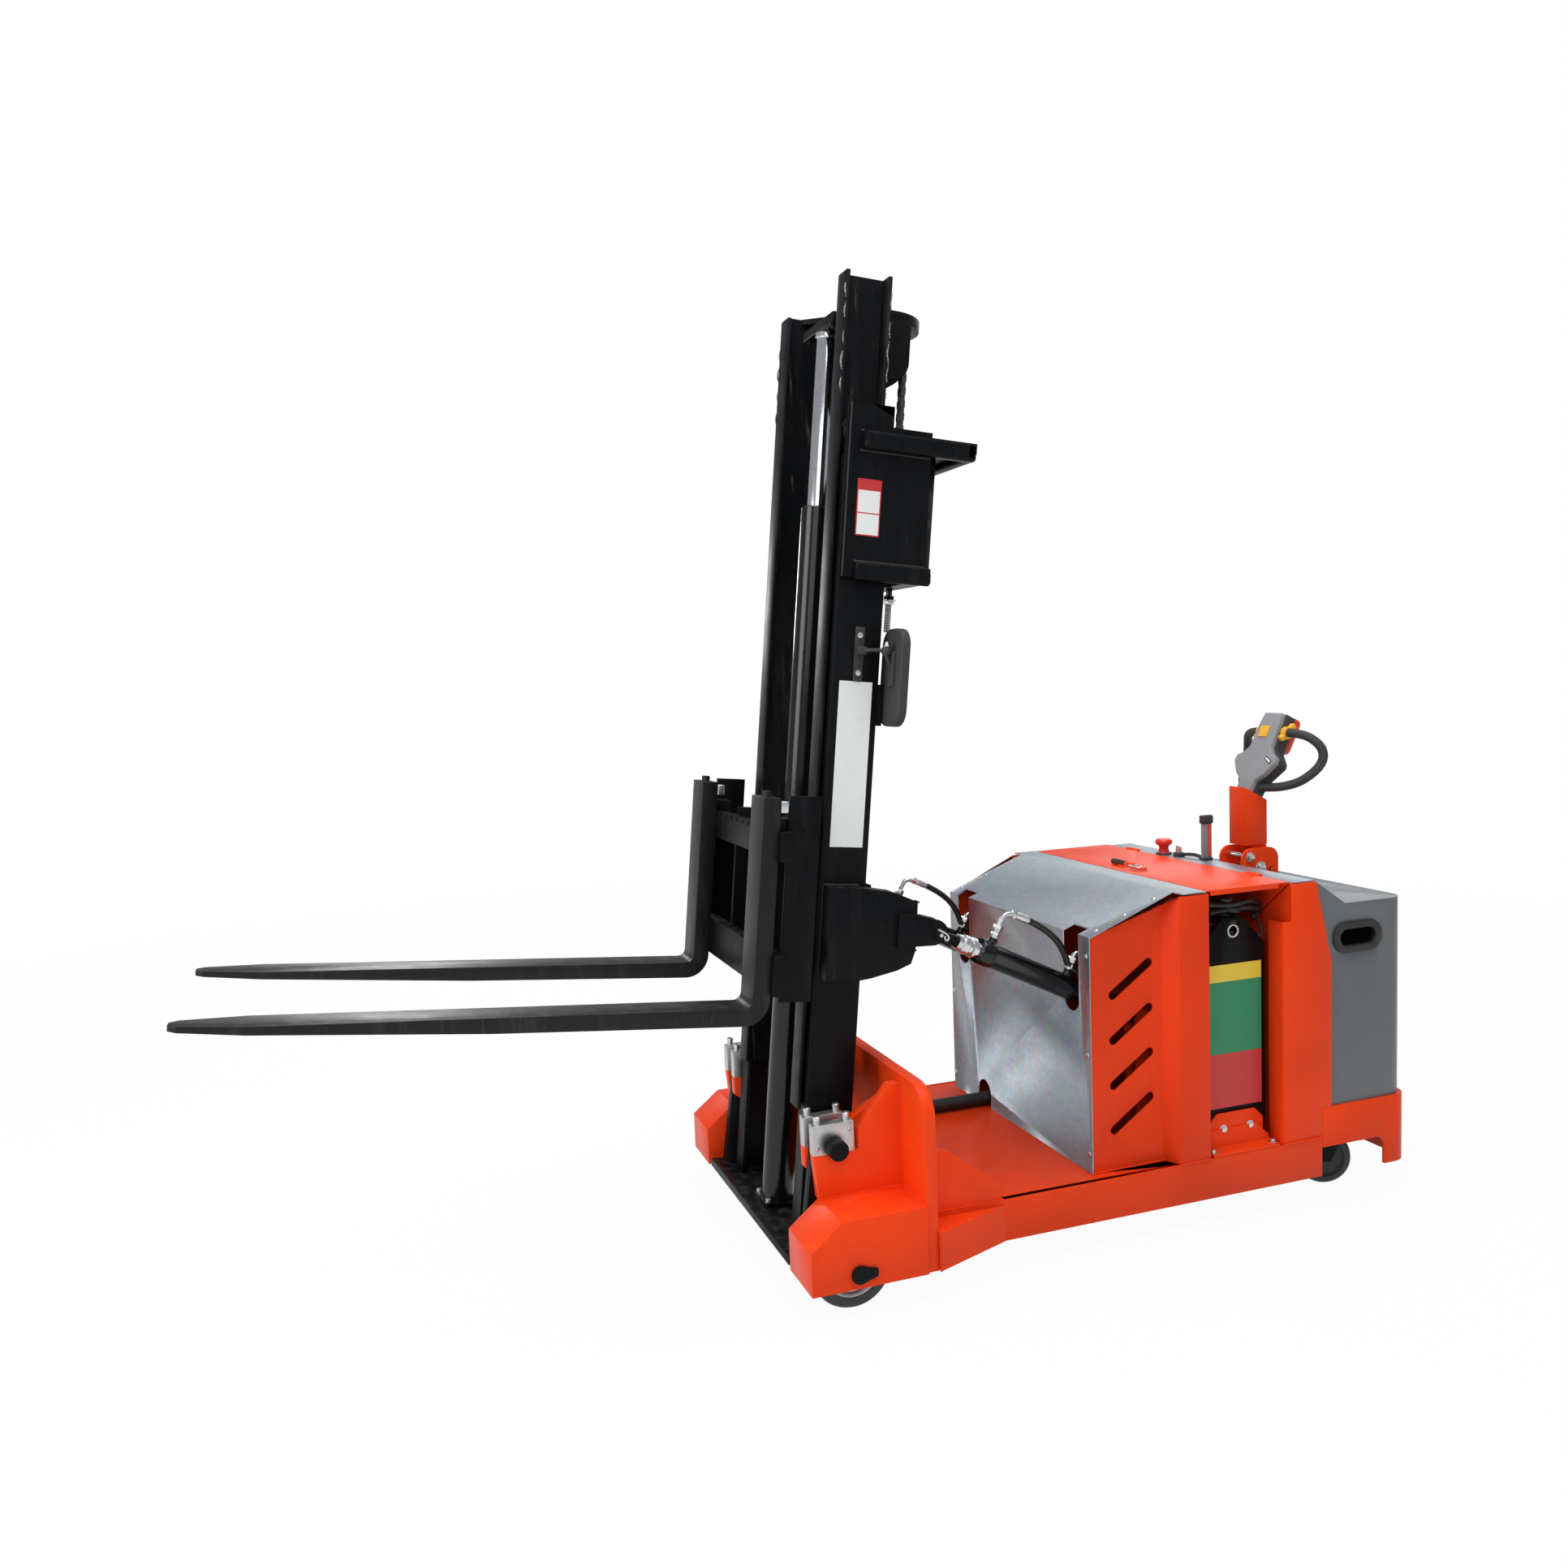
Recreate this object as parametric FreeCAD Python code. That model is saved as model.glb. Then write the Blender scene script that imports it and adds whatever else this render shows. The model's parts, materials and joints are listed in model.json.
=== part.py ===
"""Counterbalanced pallet stacker: telescopic mast, forks, hood, battery bay and steering tiller.

Millimetres, +X towards the fork tips, +Y to the left, +Z up, floor at Z = 0.
Lengthwise places are measured from the hood's front sheet, and the finished solids
are moved so that the origin is under the centre of the whole machine.
Mast pieces are drawn upright about the tilt pin (u forward, w along the mast)
and leaned back together.
"""
import FreeCAD, Part
import math
import os

V = FreeCAD.Vector
X_AXIS = V(1, 0, 0)
Y_AXIS = V(0, 1, 0)
Z_AXIS = V(0, 0, 1)

# How far a cutting solid stands past what it cuts
PAST = 1.0
# Share of the shorter run that a tube's bend takes up
BEND_SHARE = 0.45

# Chassis
BOX_PROUD = 81.0
CHASSIS_UNDER = 66.0
DECK_TOP = 173.0
PLATE = 12.0
RAILS_SHORT = 32.0
DECK_SHORT = 10.0
REAR_MEMBER_IN = 70.0
WEDGE_REAR = 272.0
WEDGE_TOP = 160.0

# Wall behind the mast and its gussets
WALL_REAR = 490.0
WALL = 30.0
WALL_TOP = 505.0
WALL_END_IN = 7.0
WALL_CORNER_R = 75.0
GUSSET_TOP = 323.0
GUSSET_FLAT = 57.0
GUSSET_LONG = 208.0
GUSSET_LOW = 214.0
PEDESTAL_TOP = 485.0
PEDESTAL_FLAT = 30.0
PEDESTAL_SHOULDER_X = 633.0
PEDESTAL_SHOULDER_Z = 387.0
PEDESTAL_TOE_X = 738.0
INNER_PEDESTAL_TOP = 445.0
INNER_PEDESTAL_LOW = 150.0
INNER_PEDESTAL_TOE_Z = 287.0

# Front wheel boxes
BOX_WIDE = 153.0
BOX_CAP_GAP = 12.0
BOX_FRONT = 812.0
BOX_TOP = 230.0
BOX_NOSE_LONG = 77.0
BOX_NOSE_HIGH = 61.0
BOX_WALL = 10.0

# Front wheels
FRONT_R = 100.0
FRONT_WIDE = 72.0
FRONT_X = 694.0
FRONT_CORE_R = 72.0
FRONT_HUB_R = 32.0
FRONT_DISH = 9.0
TREAD_EDGE = 8.0
AXLE_R = 17.0
AXLE_FIT = 0.1
AXLE_TAIL = 6.0
KEEPER_R = 22.0
KEEPER_THICK = 6.0
KEEPER_LONG = 44.0
KEEPER_END_HALF = 9.0

# Rear casters, both standing turned the same way
CASTER_R = 75.0
CASTER_WIDE = 40.0
CASTER_AHEAD = 3.0
CASTER_IN = 92.0
CASTER_TRAIL = 22.0
CASTER_TURN = -25.0
CASTER_AXLE_R = 8.0
CASTER_TREAD_EDGE = 8.0
CASTER_LEG = 6.0
CASTER_LEG_GAP = 3.0
CASTER_CROWN_GAP = 8.0
CASTER_CROWN = 8.0
CASTER_CROWN_REAR = 34.0
CASTER_HUB_R = 34.0
CASTER_HUB_HIGH = 14.0
CASTER_PAD_HALF = 45.0
CASTER_PAD_GAP = 2.0

# Drive wheel and steering
DRIVE_R = 105.0
DRIVE_WIDE = 70.0
DRIVE_BACK = 78.0
DRIVE_AXLE_R = 20.0
DRIVE_SIDE_GAP = 4.0
DRIVE_LEG = 30.0
DRIVE_LEG_HALF = 45.0
DRIVE_TOP_GAP = 8.0
TABLE_R = 112.0
TABLE_GAP = 8.0
TABLE_UNDER_TOP = 4.0
MOTOR_R = 85.0
MOTOR_TOP = 520.0
COLUMN_R = 30.0

# Mast pivot and lean
PIVOT_X = 695.3
PIVOT_Z = 354.6
LEAN = 5.842
PIN_R = 24.0
PIN_PROUD = 36.0
PIN_FIT = 0.1
EAR_THICK = 28.0
EAR_OUT = 23.0
EAR_BASE_HALF = 50.0
EAR_TOP_R = 40.0
CAP_LONG = 104.0
CAP_THICK = 28.0
CAP_LOW = 337.0
CAP_HIGH = 410.0
CAP_SCREW_R = 8.0
CAP_SCREW_HIGH = 12.0
CAP_SCREW_IN = 15.0
EAR_GAP = 5.0

# Outer mast channel
OUTER_WEB_Y = 262.0
OUTER_REAR = -87.0
OUTER_FRONT = 34.0
OUTER_TOP = 1761.0
OUTER_WEB = 12.0
OUTER_FLANGE = 12.0
OUTER_FLANGE_WIDE = 57.0
FOOT_TOP = -275.0
FOOT_THICK = 20.0
FOOT_FRONT = 85.0
FOOT_BACK_LAP = 6.0
FOOT_LAP = 1.0

# Inner mast section
MAST_GAP = 5.0
INNER_SINK = 295.0
INNER_FOOT_GAP = 30.0
INNER_TOP = 2076.0
INNER_FLANGE = 10.0
INNER_WEB = 12.0
INNER_SIDE_GAP = 11.0
INNER_LIP = 48.0
INNER_TIE_IN = 10.0
INNER_TIE_HIGH = 90.0

# Head of the inner mast
TOP_PLATE = 14.0
TOP_PLATE_FRONT = 20.0
TOP_PLATE_MOUTH_HALF = 94.0
CAP_PLATE_TOP = 2043.0
CAP_PLATE = 26.0
CAP_PLATE_R = 105.0
CAP_PLATE_CENTRE = -138.0
CAP_PLATE_FRONT = -30.0

# Lift cylinder, sheaves and chains
BARREL_R = 31.0
BARREL_BORE = 25.0
BARREL_TOP = 1550.0
BARREL_FLANGE_HALF = 48.0
BARREL_FLANGE = 14.0
BARREL_END = 40.0
GLAND_R = 34.0
GLAND_LONG = 60.0
GLAND_LIP = 20.0
ROD_R = 21.0
ROD_INSIDE = 1300.0
ROD_FIT = 0.1
CROSSHEAD_HIGH = 26.0
CROSSHEAD_HALF = 107.0
CROSSHEAD_FRONT = 30.0
CROSSHEAD_THICK = 28.0
CROSSHEAD_MID_HALF = 60.0
CROSSHEAD_MID_REAR = -60.0
COLLAR_R = 27.0
COLLAR_HIGH = 14.0
SHEAVE_U = -93.0
SHEAVE_PITCH_R = 80.0
SHEAVE_Y = 95.0
SHEAVE_RIM = 4.0
SHEAVE_PLAY = 0.5
SHEAVE_RIM_THICK = 3.0
SHEAVE_WEB_IN = 8.0
SHEAVE_TOP_GAP = 4.0
SHEAVE_AXLE_R = 12.0
GUARD_THICK = 8.0
GUARD_GAP = 1.0
GUARD_REAR = -178.0
GUARD_CORNER_R = 45.0
GUARD_LOW = 58.0
CHAIN_WIDE = 24.0
CHAIN_THICK = 12.0
CHAIN_ROD_R = 8.0
CHAIN_ROD_LONG = 110.0
CHAIN_NUT_R = 13.0
CHAIN_NUT = 12.0
CHAIN_NUT_DROP = 30.0
CHAIN_LUG_LONG = 60.0

# Top box of the outer mast
TIE_PLATE = 14.0
TIE_SIDE_FRONT = 30.0
TIE_SIDE_REAR = -200.0
TIE_SIDE_LOW = 1350.0
TIE_SIDE_HIGH = 1712.0
TIE_HORN_REAR = -100.0
TIE_LEDGE_LOW = 1668.0
TIE_LEDGE = 26.0
TIE_LEDGE_REAR = -290.0
TIE_LEDGE_PROUD = 28.0
TIE_SHELF = 23.0
TIE_SHELF_REAR = -212.0
TIE_SHELF_PROUD = 14.0
TIE_CHAIN_FRONT = -148.0
BACK_TIE = 14.0
BACK_TIE_LOW = 1000.0
BACK_TIE_HIGH = 1100.0
HEAD_ROLLER_DOWN = 61.0
HEAD_ROLLER_WIDE = 45.0
HEAD_NOTCH_UNDER = 55.0
ROLLER_CLEAR = 1.5

# Tilt brackets
BRACKET_LAP = 12.0
BRACKET_FRONT = 25.0
BRACKET_LOW = 384.0
BRACKET_HIGH = 610.0
BRACKET_PLATE = 12.0
BRACKET_POCKET_FRONT = -120.0

# Tilt cylinders
TILT_PIN_U = -263.0
TILT_PIN_W = 499.5
TILT_PIN_R = 12.0
TILT_PIN_HEAD_R = 16.0
TILT_PIN_HEAD = 8.0
TILT_OUT = 38.0
TILT_EYE_R = 28.0
TILT_EYE_PLAY = 1.7
CLEVIS_GAP = 12.5
CLEVIS_PLATE = 14.0
CLEVIS_HALF = 33.5
CLEVIS_HIGH = 49.5
CLEVIS_FRONT = -153.0
CLEVIS_BRIDGE_REAR = -200.0
CLEVIS_SIDE_GAP = 1.0
TILT_BARREL_R = 30.0
TILT_BARREL_BORE = 23.0
TILT_GLAND_R = 34.0
TILT_GLAND_LONG = 34.0
TILT_BARREL_END = 129.0
TILT_COLLAR_R = 24.0
TILT_COLLAR_NEAR = 78.0
TILT_COLLAR_FAR = 92.0
TILT_ROD_R = 19.0
TILT_ROD_INSIDE = 190.0
TILT_NECK_R = 15.0
TILT_BACK_X = -200.0
TILT_BACK_Z = 538.0
TILT_BACK_EYE_R = 24.0
TILT_BACK_EYE_HALF = 14.0
TILT_ANCHOR = 10.0
TILT_ANCHOR_GAP = 3.0
TILT_ANCHOR_HALF = 26.0
TILT_PORT_S = 490.0
TILT_PORT_REAR_S = 253.0
TILT_PORT_R = 12.0
TILT_PORT_HIGH = 52.0
TILT_ELBOW_R = 10.0
TILT_HOSE_R = 9.0

# Carriage
CARRIAGE_FACE = 163.0
BAR_THICK = 33.0
BAR_LAP = 14.0
UPPER_BAR_LOW = 671.0
UPPER_BAR_HIGH = 741.0
LOWER_BAR_LOW = 352.0
LOWER_BAR_HIGH = 447.0
NOTCH_STEP = 50.0
NOTCH_WIDE = 14.0
NOTCH_DEEP = 10.0
SIDE_PLATE_REAR = 60.0
SIDE_PLATE_FRONT = 140.0
SIDE_PLATE_LOW = 335.0
SIDE_PLATE_HIGH = 825.0
FORK_SIDE_OUT = 33.0
SIDE_PLATE = 12.0
STOP_REAR = 103.0
STOP_FRONT = 135.0
STOP_LOW = 703.0
STOP_HIGH = 758.0
STOP_PROUD = 16.0
ROLLER_WIDE = 38.0
ROLLER_PLATE = 15.0
ROLLER_PLATE_REAR = -45.0
ROLLER_PLATE_END = 20.0
ROLLER_HUB_R = 15.0
LOWER_ROLLER_UP = 58.0
UPPER_ROLLER_UP = 30.0

# Forks
FORK_THICK = 42.0
FORK_WIDE = 98.0
FORK_Y = 267.0
FORK_BLADE_TOP = 322.0
FORK_TIP_U = 1453.0
FORK_SHANK_TOP = 819.0
FORK_TIP_THICK = 13.0
FORK_TIP_DROP = 14.0
FORK_TAPER_START = 0.55
FORK_HEEL_R = 62.0
FORK_TIP_TAPER = 150.0
FORK_TIP_CORNER = 18.0
FORK_TIP_IN = 22.0
FORK_TIP_NOSE_IN = 38.0
HOOK_HIGH = 27.0
HOOK_GAP = 1.0
HOOK_LAP = 12.0
HOOK_DROP = 20.0
HOOK_SIDE_GAP = 2.0
FORK_PIN_R = 11.0
FORK_PIN_HIGH = 14.0

# Hood
HOOD_IN = 43.5
HOOD_SHEET = 3.0
HOOD_SLOPE_DROP = 94.0
HOOD_SLOPE_SHORT = 80.0
HOOD_FLAT_SHORT = 8.0
HOOD_TOP = 880.0
SIDE_SHEET = 4.0
JOGGLE_LONG = 25.0
JOGGLE_SHORT = 90.0
BAY_FRONT = -330.0
PILLAR_DEEP = 40.0
SEAM = 0.5
SLOT_GAP = 6.0
SLOT_LOW = 580.0
SLOT_BACK = 34.0
LOUVRE_LOW_X = -62.0
LOUVRE_HIGH_X = -168.0
LOUVRE_WIDE = 25.0
LOUVRE_RISE = 72.0
LOUVRE_BASE_Z = 243.0
LOUVRE_STEP = 139.0
LOUVRE_COUNT = 4
HOSE_HOLE_Y = -190.0
HOSE_HOLE_HALF = 38.0
HOSE_HOLE_TOP = 250.0
HOSE_R = 20.0
HOSE_INSIDE = 60.0
HOSE_LIFT = 0.2

# Battery bay
BAY_REAR_GAP = 13.0
POST_NOTCH = 30.0
POST_NOTCH_DEEP = 100.0
CONSOLE_LONG = 75.0
POST_SLANT = 50.0
POST_KINK_Z = 652.0
POST_DOWN = 7.0
POST_FLANGE = 60.0
POST_FLANGE_THICK = 5.0
BULKHEAD = 4.0
BATTERY_LONG = 208.0
BATTERY_IN = 64.0
BAY_FRONT_GAP = 12.0
BATTERY_TOP = 714.0
BATTERY_EDGE_R = 6.0
LIFT_PLATE = 8.0
LIFT_PLATE_UP = 75.0
LIFT_EYE_R = 13.0
LIFT_EYE_RIM = 6.0
LIFT_EYE_PROUD = 3.0
LIFT_EYE_UP = 41.0
LIFT_PLATE_WIDE = 62.0
RETAINER = 8.0
RETAINER_GAP = 6.0
RETAINER_TOP = 228.0
RETAINER_LOW = 192.0
RETAINER_CHAMFER = 40.0
LEADS_LONG = 170.0
LEADS_IN = 22.0
LEADS_DOWN = 24.0
LEADS_R = 40.0

# Lid
LID_FRONT_GAP = 4.0
LID_SHEET = 4.0
LID_LIP = 10.0
LID_LIP_THICK = 3.0
LID_LIP_GAP = 10.0
LID_IN = 6.0
LID_PAST_POST = 22.0
HINGE_BACK = 3.0
HINGE_R = 6.0
HINGE_Y = 280.0
HINGE_HALF = 30.0
HINGE_LEAF = 8.0
LATCH_BACK = 48.0
LATCH_R = 8.0
LATCH_FOOT_FROM = 8.0
LATCH_FOOT_TO = 74.0
LATCH_FOOT_HALF = 14.0
LATCH_BAR_FROM = -70.0
LATCH_BAR_TO = 30.0
LATCH_BASE_HALF = 9.0
LATCH_BASE_HIGH = 6.0

# Console and its controls
CONSOLE_GAP = 4.0
COVER_SHEET = 4.0
CONSOLE_DROP_IN = 14.0
STOP_BACK = 23.0
STOP_Y = -145.0
STOP_NECK_R = 16.0
STOP_NECK = 26.0
STOP_CAP_R = 26.0
STOP_CAP = 22.0
KEY_BACK = 33.0
KEY_Y = -80.0
KEY_R = 14.0
KEY_COLLAR = 12.0
KEY_BOW = 18.0
LEVER_BACK = 58.0
LEVER_Y = -8.0
LEVER_WIDE = 36.0
LEVER_THICK = 12.0
LEVER_HIGH = 112.0
LEVER_CAP = 22.0
LEVER_CAP_LAP = 3.0

# Rear cover, bumper and counterweight
SHEET_GAP = 2.0
COVER_IN = 7.0
COVER_BACK = 180.0
COVER_DOWN = 68.0
COVER_SLOPE_LONG = 50.0
COVER_CORNER = 50.0
COVER_MOUTH = 60.0
BUMPER_PROUD = 10.0
BUMPER_TOP = 255.0
BUMPER_WALL = 10.0
BUMPER_FOOT_R = 20.0
ARCH_BACK = 104.0
ARCH_TOP = 145.0
ARCH_R = 22.0
GROMMET_BACK = 11.0
GROMMET_Z = 712.0
GROMMET_LONG = 164.0
GROMMET_HIGH = 84.0
GROMMET_HOLE_LONG = 119.0
GROMMET_HOLE_HIGH = 45.0
GROMMET_LAP = 12.0
GROMMET_PROUD = 7.0
GROMMET_DEEP = 10.0
GROMMET_FIT = 0.2
WEIGHT_FRONT_GAP = 5.0
WEIGHT_IN = 36.0
WEIGHT_TOP_GAP = 30.0

# Tiller base and arm
TILLER_PIN_BACK = 42.0
TILLER_PIN_UP = 36.0
TILLER_PIN_R = 9.0
SPRING_PIN_UP = 45.0
SPRING_PIN_R = 9.0
TILLER_PIN_PROUD = 8.0
TILLER_STOP_AHEAD = 38.0
TILLER_STOP_UP = 79.0
TILLER_STOP_R = 7.0
TILLER_BASE_R = 84.0
TILLER_WELL_GAP = 6.0
TILLER_BASE = 8.0
TILLER_BASE_GAP = 5.0
TILLER_EAR_UP = 103.0
TILLER_EAR_Y = 44.0
TILLER_EAR = 8.0
TILLER_EAR_HALF = 65.0
TILLER_EAR_CORNER = 34.0
ARM_AHEAD = 40.0
ARM_BACK = 38.0
ARM_HALF = 35.0
ARM_WALL = 5.0
ARM_HIGH_FRONT = 173.0
ARM_HIGH_REAR = 132.0
ARM_UP = 110.0
ARM_CHEEK = 8.0
ARM_CHEEK_LAP = 20.0
ARM_CHEEK_R = 17.0

# Tiller head
HEAD_LEAN = 27.0
HEAD_UP = 147.0
HEAD_SEAT = 6.0
HEAD_BACK = 30.0
HEAD_FACE = 26.0
BUTTON_HALF = 34.0
BUTTON_DEEP = 36.0
BUTTON_LOW = 158.0
BUTTON_HIGH = 246.0
BUTTON_R = 14.0
THUMB_R = 20.0
THUMB_FROM = 44.0
THUMB_WIDE = 18.0
THUMB_Z = 205.0
THUMB_X = -6.0
GRIP_R = 13.0

# Mirrors
STAY_REAR = -30.0
STAY_FRONT = -6.0
STAY = 5.0
STAY_LOW = 1105.0
STAY_HIGH = 1235.0
MIRROR_ARM_R = 6.0
MIRROR_ARM_W = 1178.0
MIRROR_ARM_OUT = 26.0
MIRROR_REAR = -142.0
MIRROR_THICK = 26.0
MIRROR_FROM = -2.0
MIRROR_TO = 118.0
MIRROR_LOW = 1000.0
MIRROR_HIGH = 1236.0
MIRROR_R = 24.0

# Values that follow from the ones above
LEAN_SIN = math.sin(math.radians(LEAN))
LEAN_COS = math.cos(math.radians(LEAN))
TILT_Y = OUTER_WEB_Y + TILT_OUT
BRACKET_OUT = TILT_Y + BRACKET_LAP
EAR_Y = TILT_Y + EAR_OUT
FOOT_HALF = EAR_Y + EAR_THICK / 2.0 + FOOT_LAP
OUTER_CAP_Y = EAR_Y + EAR_THICK / 2.0 + EAR_GAP
BOX_INNER = OUTER_CAP_Y + BOX_CAP_GAP
BOX_OUTER = BOX_INNER + BOX_WIDE
CHASSIS_HALF = BOX_OUTER - BOX_PROUD
WALL_HALF = BOX_OUTER - WALL_END_IN
HOOD_HALF = CHASSIS_HALF - HOOD_IN
BATTERY_HALF = CHASSIS_HALF - BATTERY_IN
LEADS_HALF = BATTERY_HALF - LEADS_IN
LID_HALF = CHASSIS_HALF - LID_IN
COVER_HALF = CHASSIS_HALF - COVER_IN
WEIGHT_HALF = CHASSIS_HALF - WEIGHT_IN
CASTER_Y = CHASSIS_HALF - CASTER_IN
OUTER_FLANGE_IN = OUTER_WEB_Y - OUTER_FLANGE_WIDE
INNER_WEB_OUT = OUTER_FLANGE_IN - MAST_GAP
INNER_WEB_IN = INNER_WEB_OUT - INNER_WEB
INNER_FLANGE_OUT = OUTER_WEB_Y - OUTER_WEB - INNER_SIDE_GAP
INNER_FLANGE_IN = INNER_WEB_IN - INNER_LIP
INNER_TIE_HALF = INNER_WEB_OUT - INNER_TIE_IN
SIDE_PLATE_Y = FORK_Y + FORK_SIDE_OUT
BAR_HALF = FORK_Y + FORK_WIDE / 2.0 + BAR_LAP
STOP_OUT = SIDE_PLATE_Y + SIDE_PLATE + STOP_PROUD
TIE_LEDGE_HALF = OUTER_WEB_Y + TIE_PLATE + TIE_LEDGE_PROUD
TIE_SHELF_HALF = OUTER_WEB_Y + TIE_PLATE + TIE_SHELF_PROUD
HOOD_FLAT_REAR = BAY_FRONT + HOOD_FLAT_SHORT
HOOD_SLOPE_REAR = BAY_FRONT + HOOD_SLOPE_SHORT
JOGGLE_REAR = BAY_FRONT + JOGGLE_SHORT
JOGGLE_FRONT = JOGGLE_REAR + JOGGLE_LONG
LATCH_X = BAY_FRONT - LATCH_BACK
BATTERY_FRONT = BAY_FRONT - BAY_FRONT_GAP
BATTERY_REAR = BATTERY_FRONT - BATTERY_LONG
POST_FRONT = BATTERY_REAR - BAY_REAR_GAP
LID_REAR = POST_FRONT - LID_PAST_POST
HINGE_X = LID_REAR - HINGE_BACK
REAR_BULKHEAD_X = POST_FRONT - POST_NOTCH
CONSOLE_FRONT = REAR_BULKHEAD_X - CONSOLE_GAP
POST_REAR_TOP = CONSOLE_FRONT - CONSOLE_LONG
POST_REAR = POST_REAR_TOP - POST_SLANT
RAILS_REAR = POST_REAR + RAILS_SHORT
DECK_REAR = RAILS_REAR + DECK_SHORT
REAR_MEMBER_X = DECK_REAR + REAR_MEMBER_IN
DRIVE_X = POST_REAR - DRIVE_BACK
SPRING_PIN_X = DRIVE_X
HEAD_BASE_X = DRIVE_X
CASTER_X = DRIVE_X + CASTER_AHEAD
COVER_SLOPE_REAR = POST_REAR - COVER_SLOPE_LONG
COVER_REAR = DRIVE_X - COVER_BACK
BUMPER_REAR = COVER_REAR - BUMPER_PROUD
ARCH_REAR = CASTER_X - ARCH_BACK
GROMMET_X = DRIVE_X - GROMMET_BACK
TILLER_PIN_X = DRIVE_X - TILLER_PIN_BACK
TILLER_STOP_X = DRIVE_X + TILLER_STOP_AHEAD
ARM_FRONT = DRIVE_X + ARM_AHEAD
ARM_REAR = DRIVE_X - ARM_BACK
STOP_X = CONSOLE_FRONT - STOP_BACK
KEY_X = CONSOLE_FRONT - KEY_BACK
LEVER_X = CONSOLE_FRONT - LEVER_BACK
POST_TOP = HOOD_TOP - POST_DOWN
HOOD_FRONT_TOP = HOOD_TOP - HOOD_SLOPE_DROP
POST_NOTCH_Z = POST_TOP - POST_NOTCH_DEEP
COVER_TOP = POST_TOP - COVER_DOWN
LEADS_TOP = HOOD_TOP - LEADS_DOWN
LIFT_EYE_Z = BATTERY_TOP + LIFT_EYE_UP
LIFT_PLATE_TOP = BATTERY_TOP + LIFT_PLATE_UP
SPRING_PIN_Z = COVER_TOP + SPRING_PIN_UP
TILLER_PIN_Z = COVER_TOP + TILLER_PIN_UP
TILLER_STOP_Z = COVER_TOP + TILLER_STOP_UP
TILLER_EAR_TOP = COVER_TOP + TILLER_EAR_UP
ARM_LOW = COVER_TOP + ARM_UP
ARM_TOP_FRONT = ARM_LOW + ARM_HIGH_FRONT
ARM_TOP_REAR = ARM_LOW + ARM_HIGH_REAR
HEAD_BASE_Z = ARM_LOW + HEAD_UP
HEAD_ROLLER_W = OUTER_TOP - HEAD_ROLLER_DOWN
HEAD_NOTCH_LOW = HEAD_ROLLER_W - HEAD_NOTCH_UNDER
UPPER_ROLLER_W = UPPER_BAR_LOW + UPPER_ROLLER_UP
LOWER_ROLLER_W = LOWER_BAR_LOW + LOWER_ROLLER_UP
RAIL_IN = CHASSIS_HALF - PLATE
DECK_LOW = DECK_TOP - PLATE
WALL_FRONT = WALL_REAR + WALL
CAP_REAR = PIVOT_X - CAP_LONG / 2.0
CAP_FRONT = PIVOT_X + CAP_LONG / 2.0
INNER_CAP_Y = EAR_Y - EAR_THICK / 2.0 - EAR_GAP - CAP_THICK
TABLE_LOW = 2.0 * DRIVE_R + DRIVE_TOP_GAP
TABLE_TOP = BUMPER_TOP - TABLE_UNDER_TOP
INNER_BOTTOM = FOOT_TOP + INNER_FOOT_GAP + INNER_SINK
INNER_REAR = OUTER_REAR + OUTER_FLANGE + MAST_GAP
INNER_FRONT = OUTER_FRONT + MAST_GAP + INNER_FLANGE
CHANNEL_MID = (INNER_REAR + INNER_FRONT) / 2.0
CHANNEL_ROLLER_R = (INNER_FRONT - INNER_REAR) / 2.0 - INNER_FLANGE - ROLLER_CLEAR
CAP_PLATE_LOW = CAP_PLATE_TOP - CAP_PLATE
CHAIN_R_OUT = SHEAVE_PITCH_R + CHAIN_THICK / 2.0
CHAIN_R_IN = SHEAVE_PITCH_R - CHAIN_THICK / 2.0
SHEAVE_W = CAP_PLATE_LOW - SHEAVE_TOP_GAP - CHAIN_R_OUT
GUARD_IN = CHAIN_WIDE / 2.0 + SHEAVE_RIM_THICK + SHEAVE_PLAY + GUARD_GAP
CROSSHEAD_LOW = CAP_PLATE_LOW - CROSSHEAD_HIGH
CHAIN_LUG_TOP = LOWER_BAR_HIGH + 2.0 * CHAIN_LUG_LONG
SHELF_TOP = TIE_SIDE_LOW + TIE_SHELF
BATTERY_MID = BATTERY_FRONT - BATTERY_LONG / 2.0
CONSOLE_TOP = POST_TOP + COVER_SHEET
TILLER_BASE_LOW = COVER_TOP + TILLER_BASE_GAP
HOOK_HALF = SIDE_PLATE_Y - HOOK_SIDE_GAP - FORK_Y
FORK_TIP_W = FORK_BLADE_TOP - FORK_TIP_DROP - FORK_TIP_THICK
TIP_X = PIVOT_X + FORK_TIP_U * LEAN_COS - FORK_TIP_W * LEAN_SIN
CENTRE_X = (TIP_X + BUMPER_REAR) / 2.0


def box(x0, x1, y0, y1, z0, z1):
    low = V(min(x0, x1), min(y0, y1), min(z0, z1))
    return Part.makeBox(abs(x1 - x0), abs(y1 - y0), abs(z1 - z0), low)


def face_of(points):
    return Part.Face(Part.makePolygon(points + [points[0]]))


def side_plate(outline, y0, y1):
    """A plate whose outline is drawn in X and Z, between two places across."""
    return face_of([V(x, y0, z) for x, z in outline]).extrude(V(0, y1 - y0, 0))


def plan_plate(outline, z0, z1):
    """A plate whose outline is drawn in X and Y, between two heights."""
    return face_of([V(x, y, z0) for x, y in outline]).extrude(V(0, 0, z1 - z0))


def front_plate(outline, x0, x1):
    """A plate whose outline is drawn in Y and Z, between two places lengthwise."""
    return face_of([V(x0, y, z) for y, z in outline]).extrude(V(x1 - x0, 0, 0))


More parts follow.
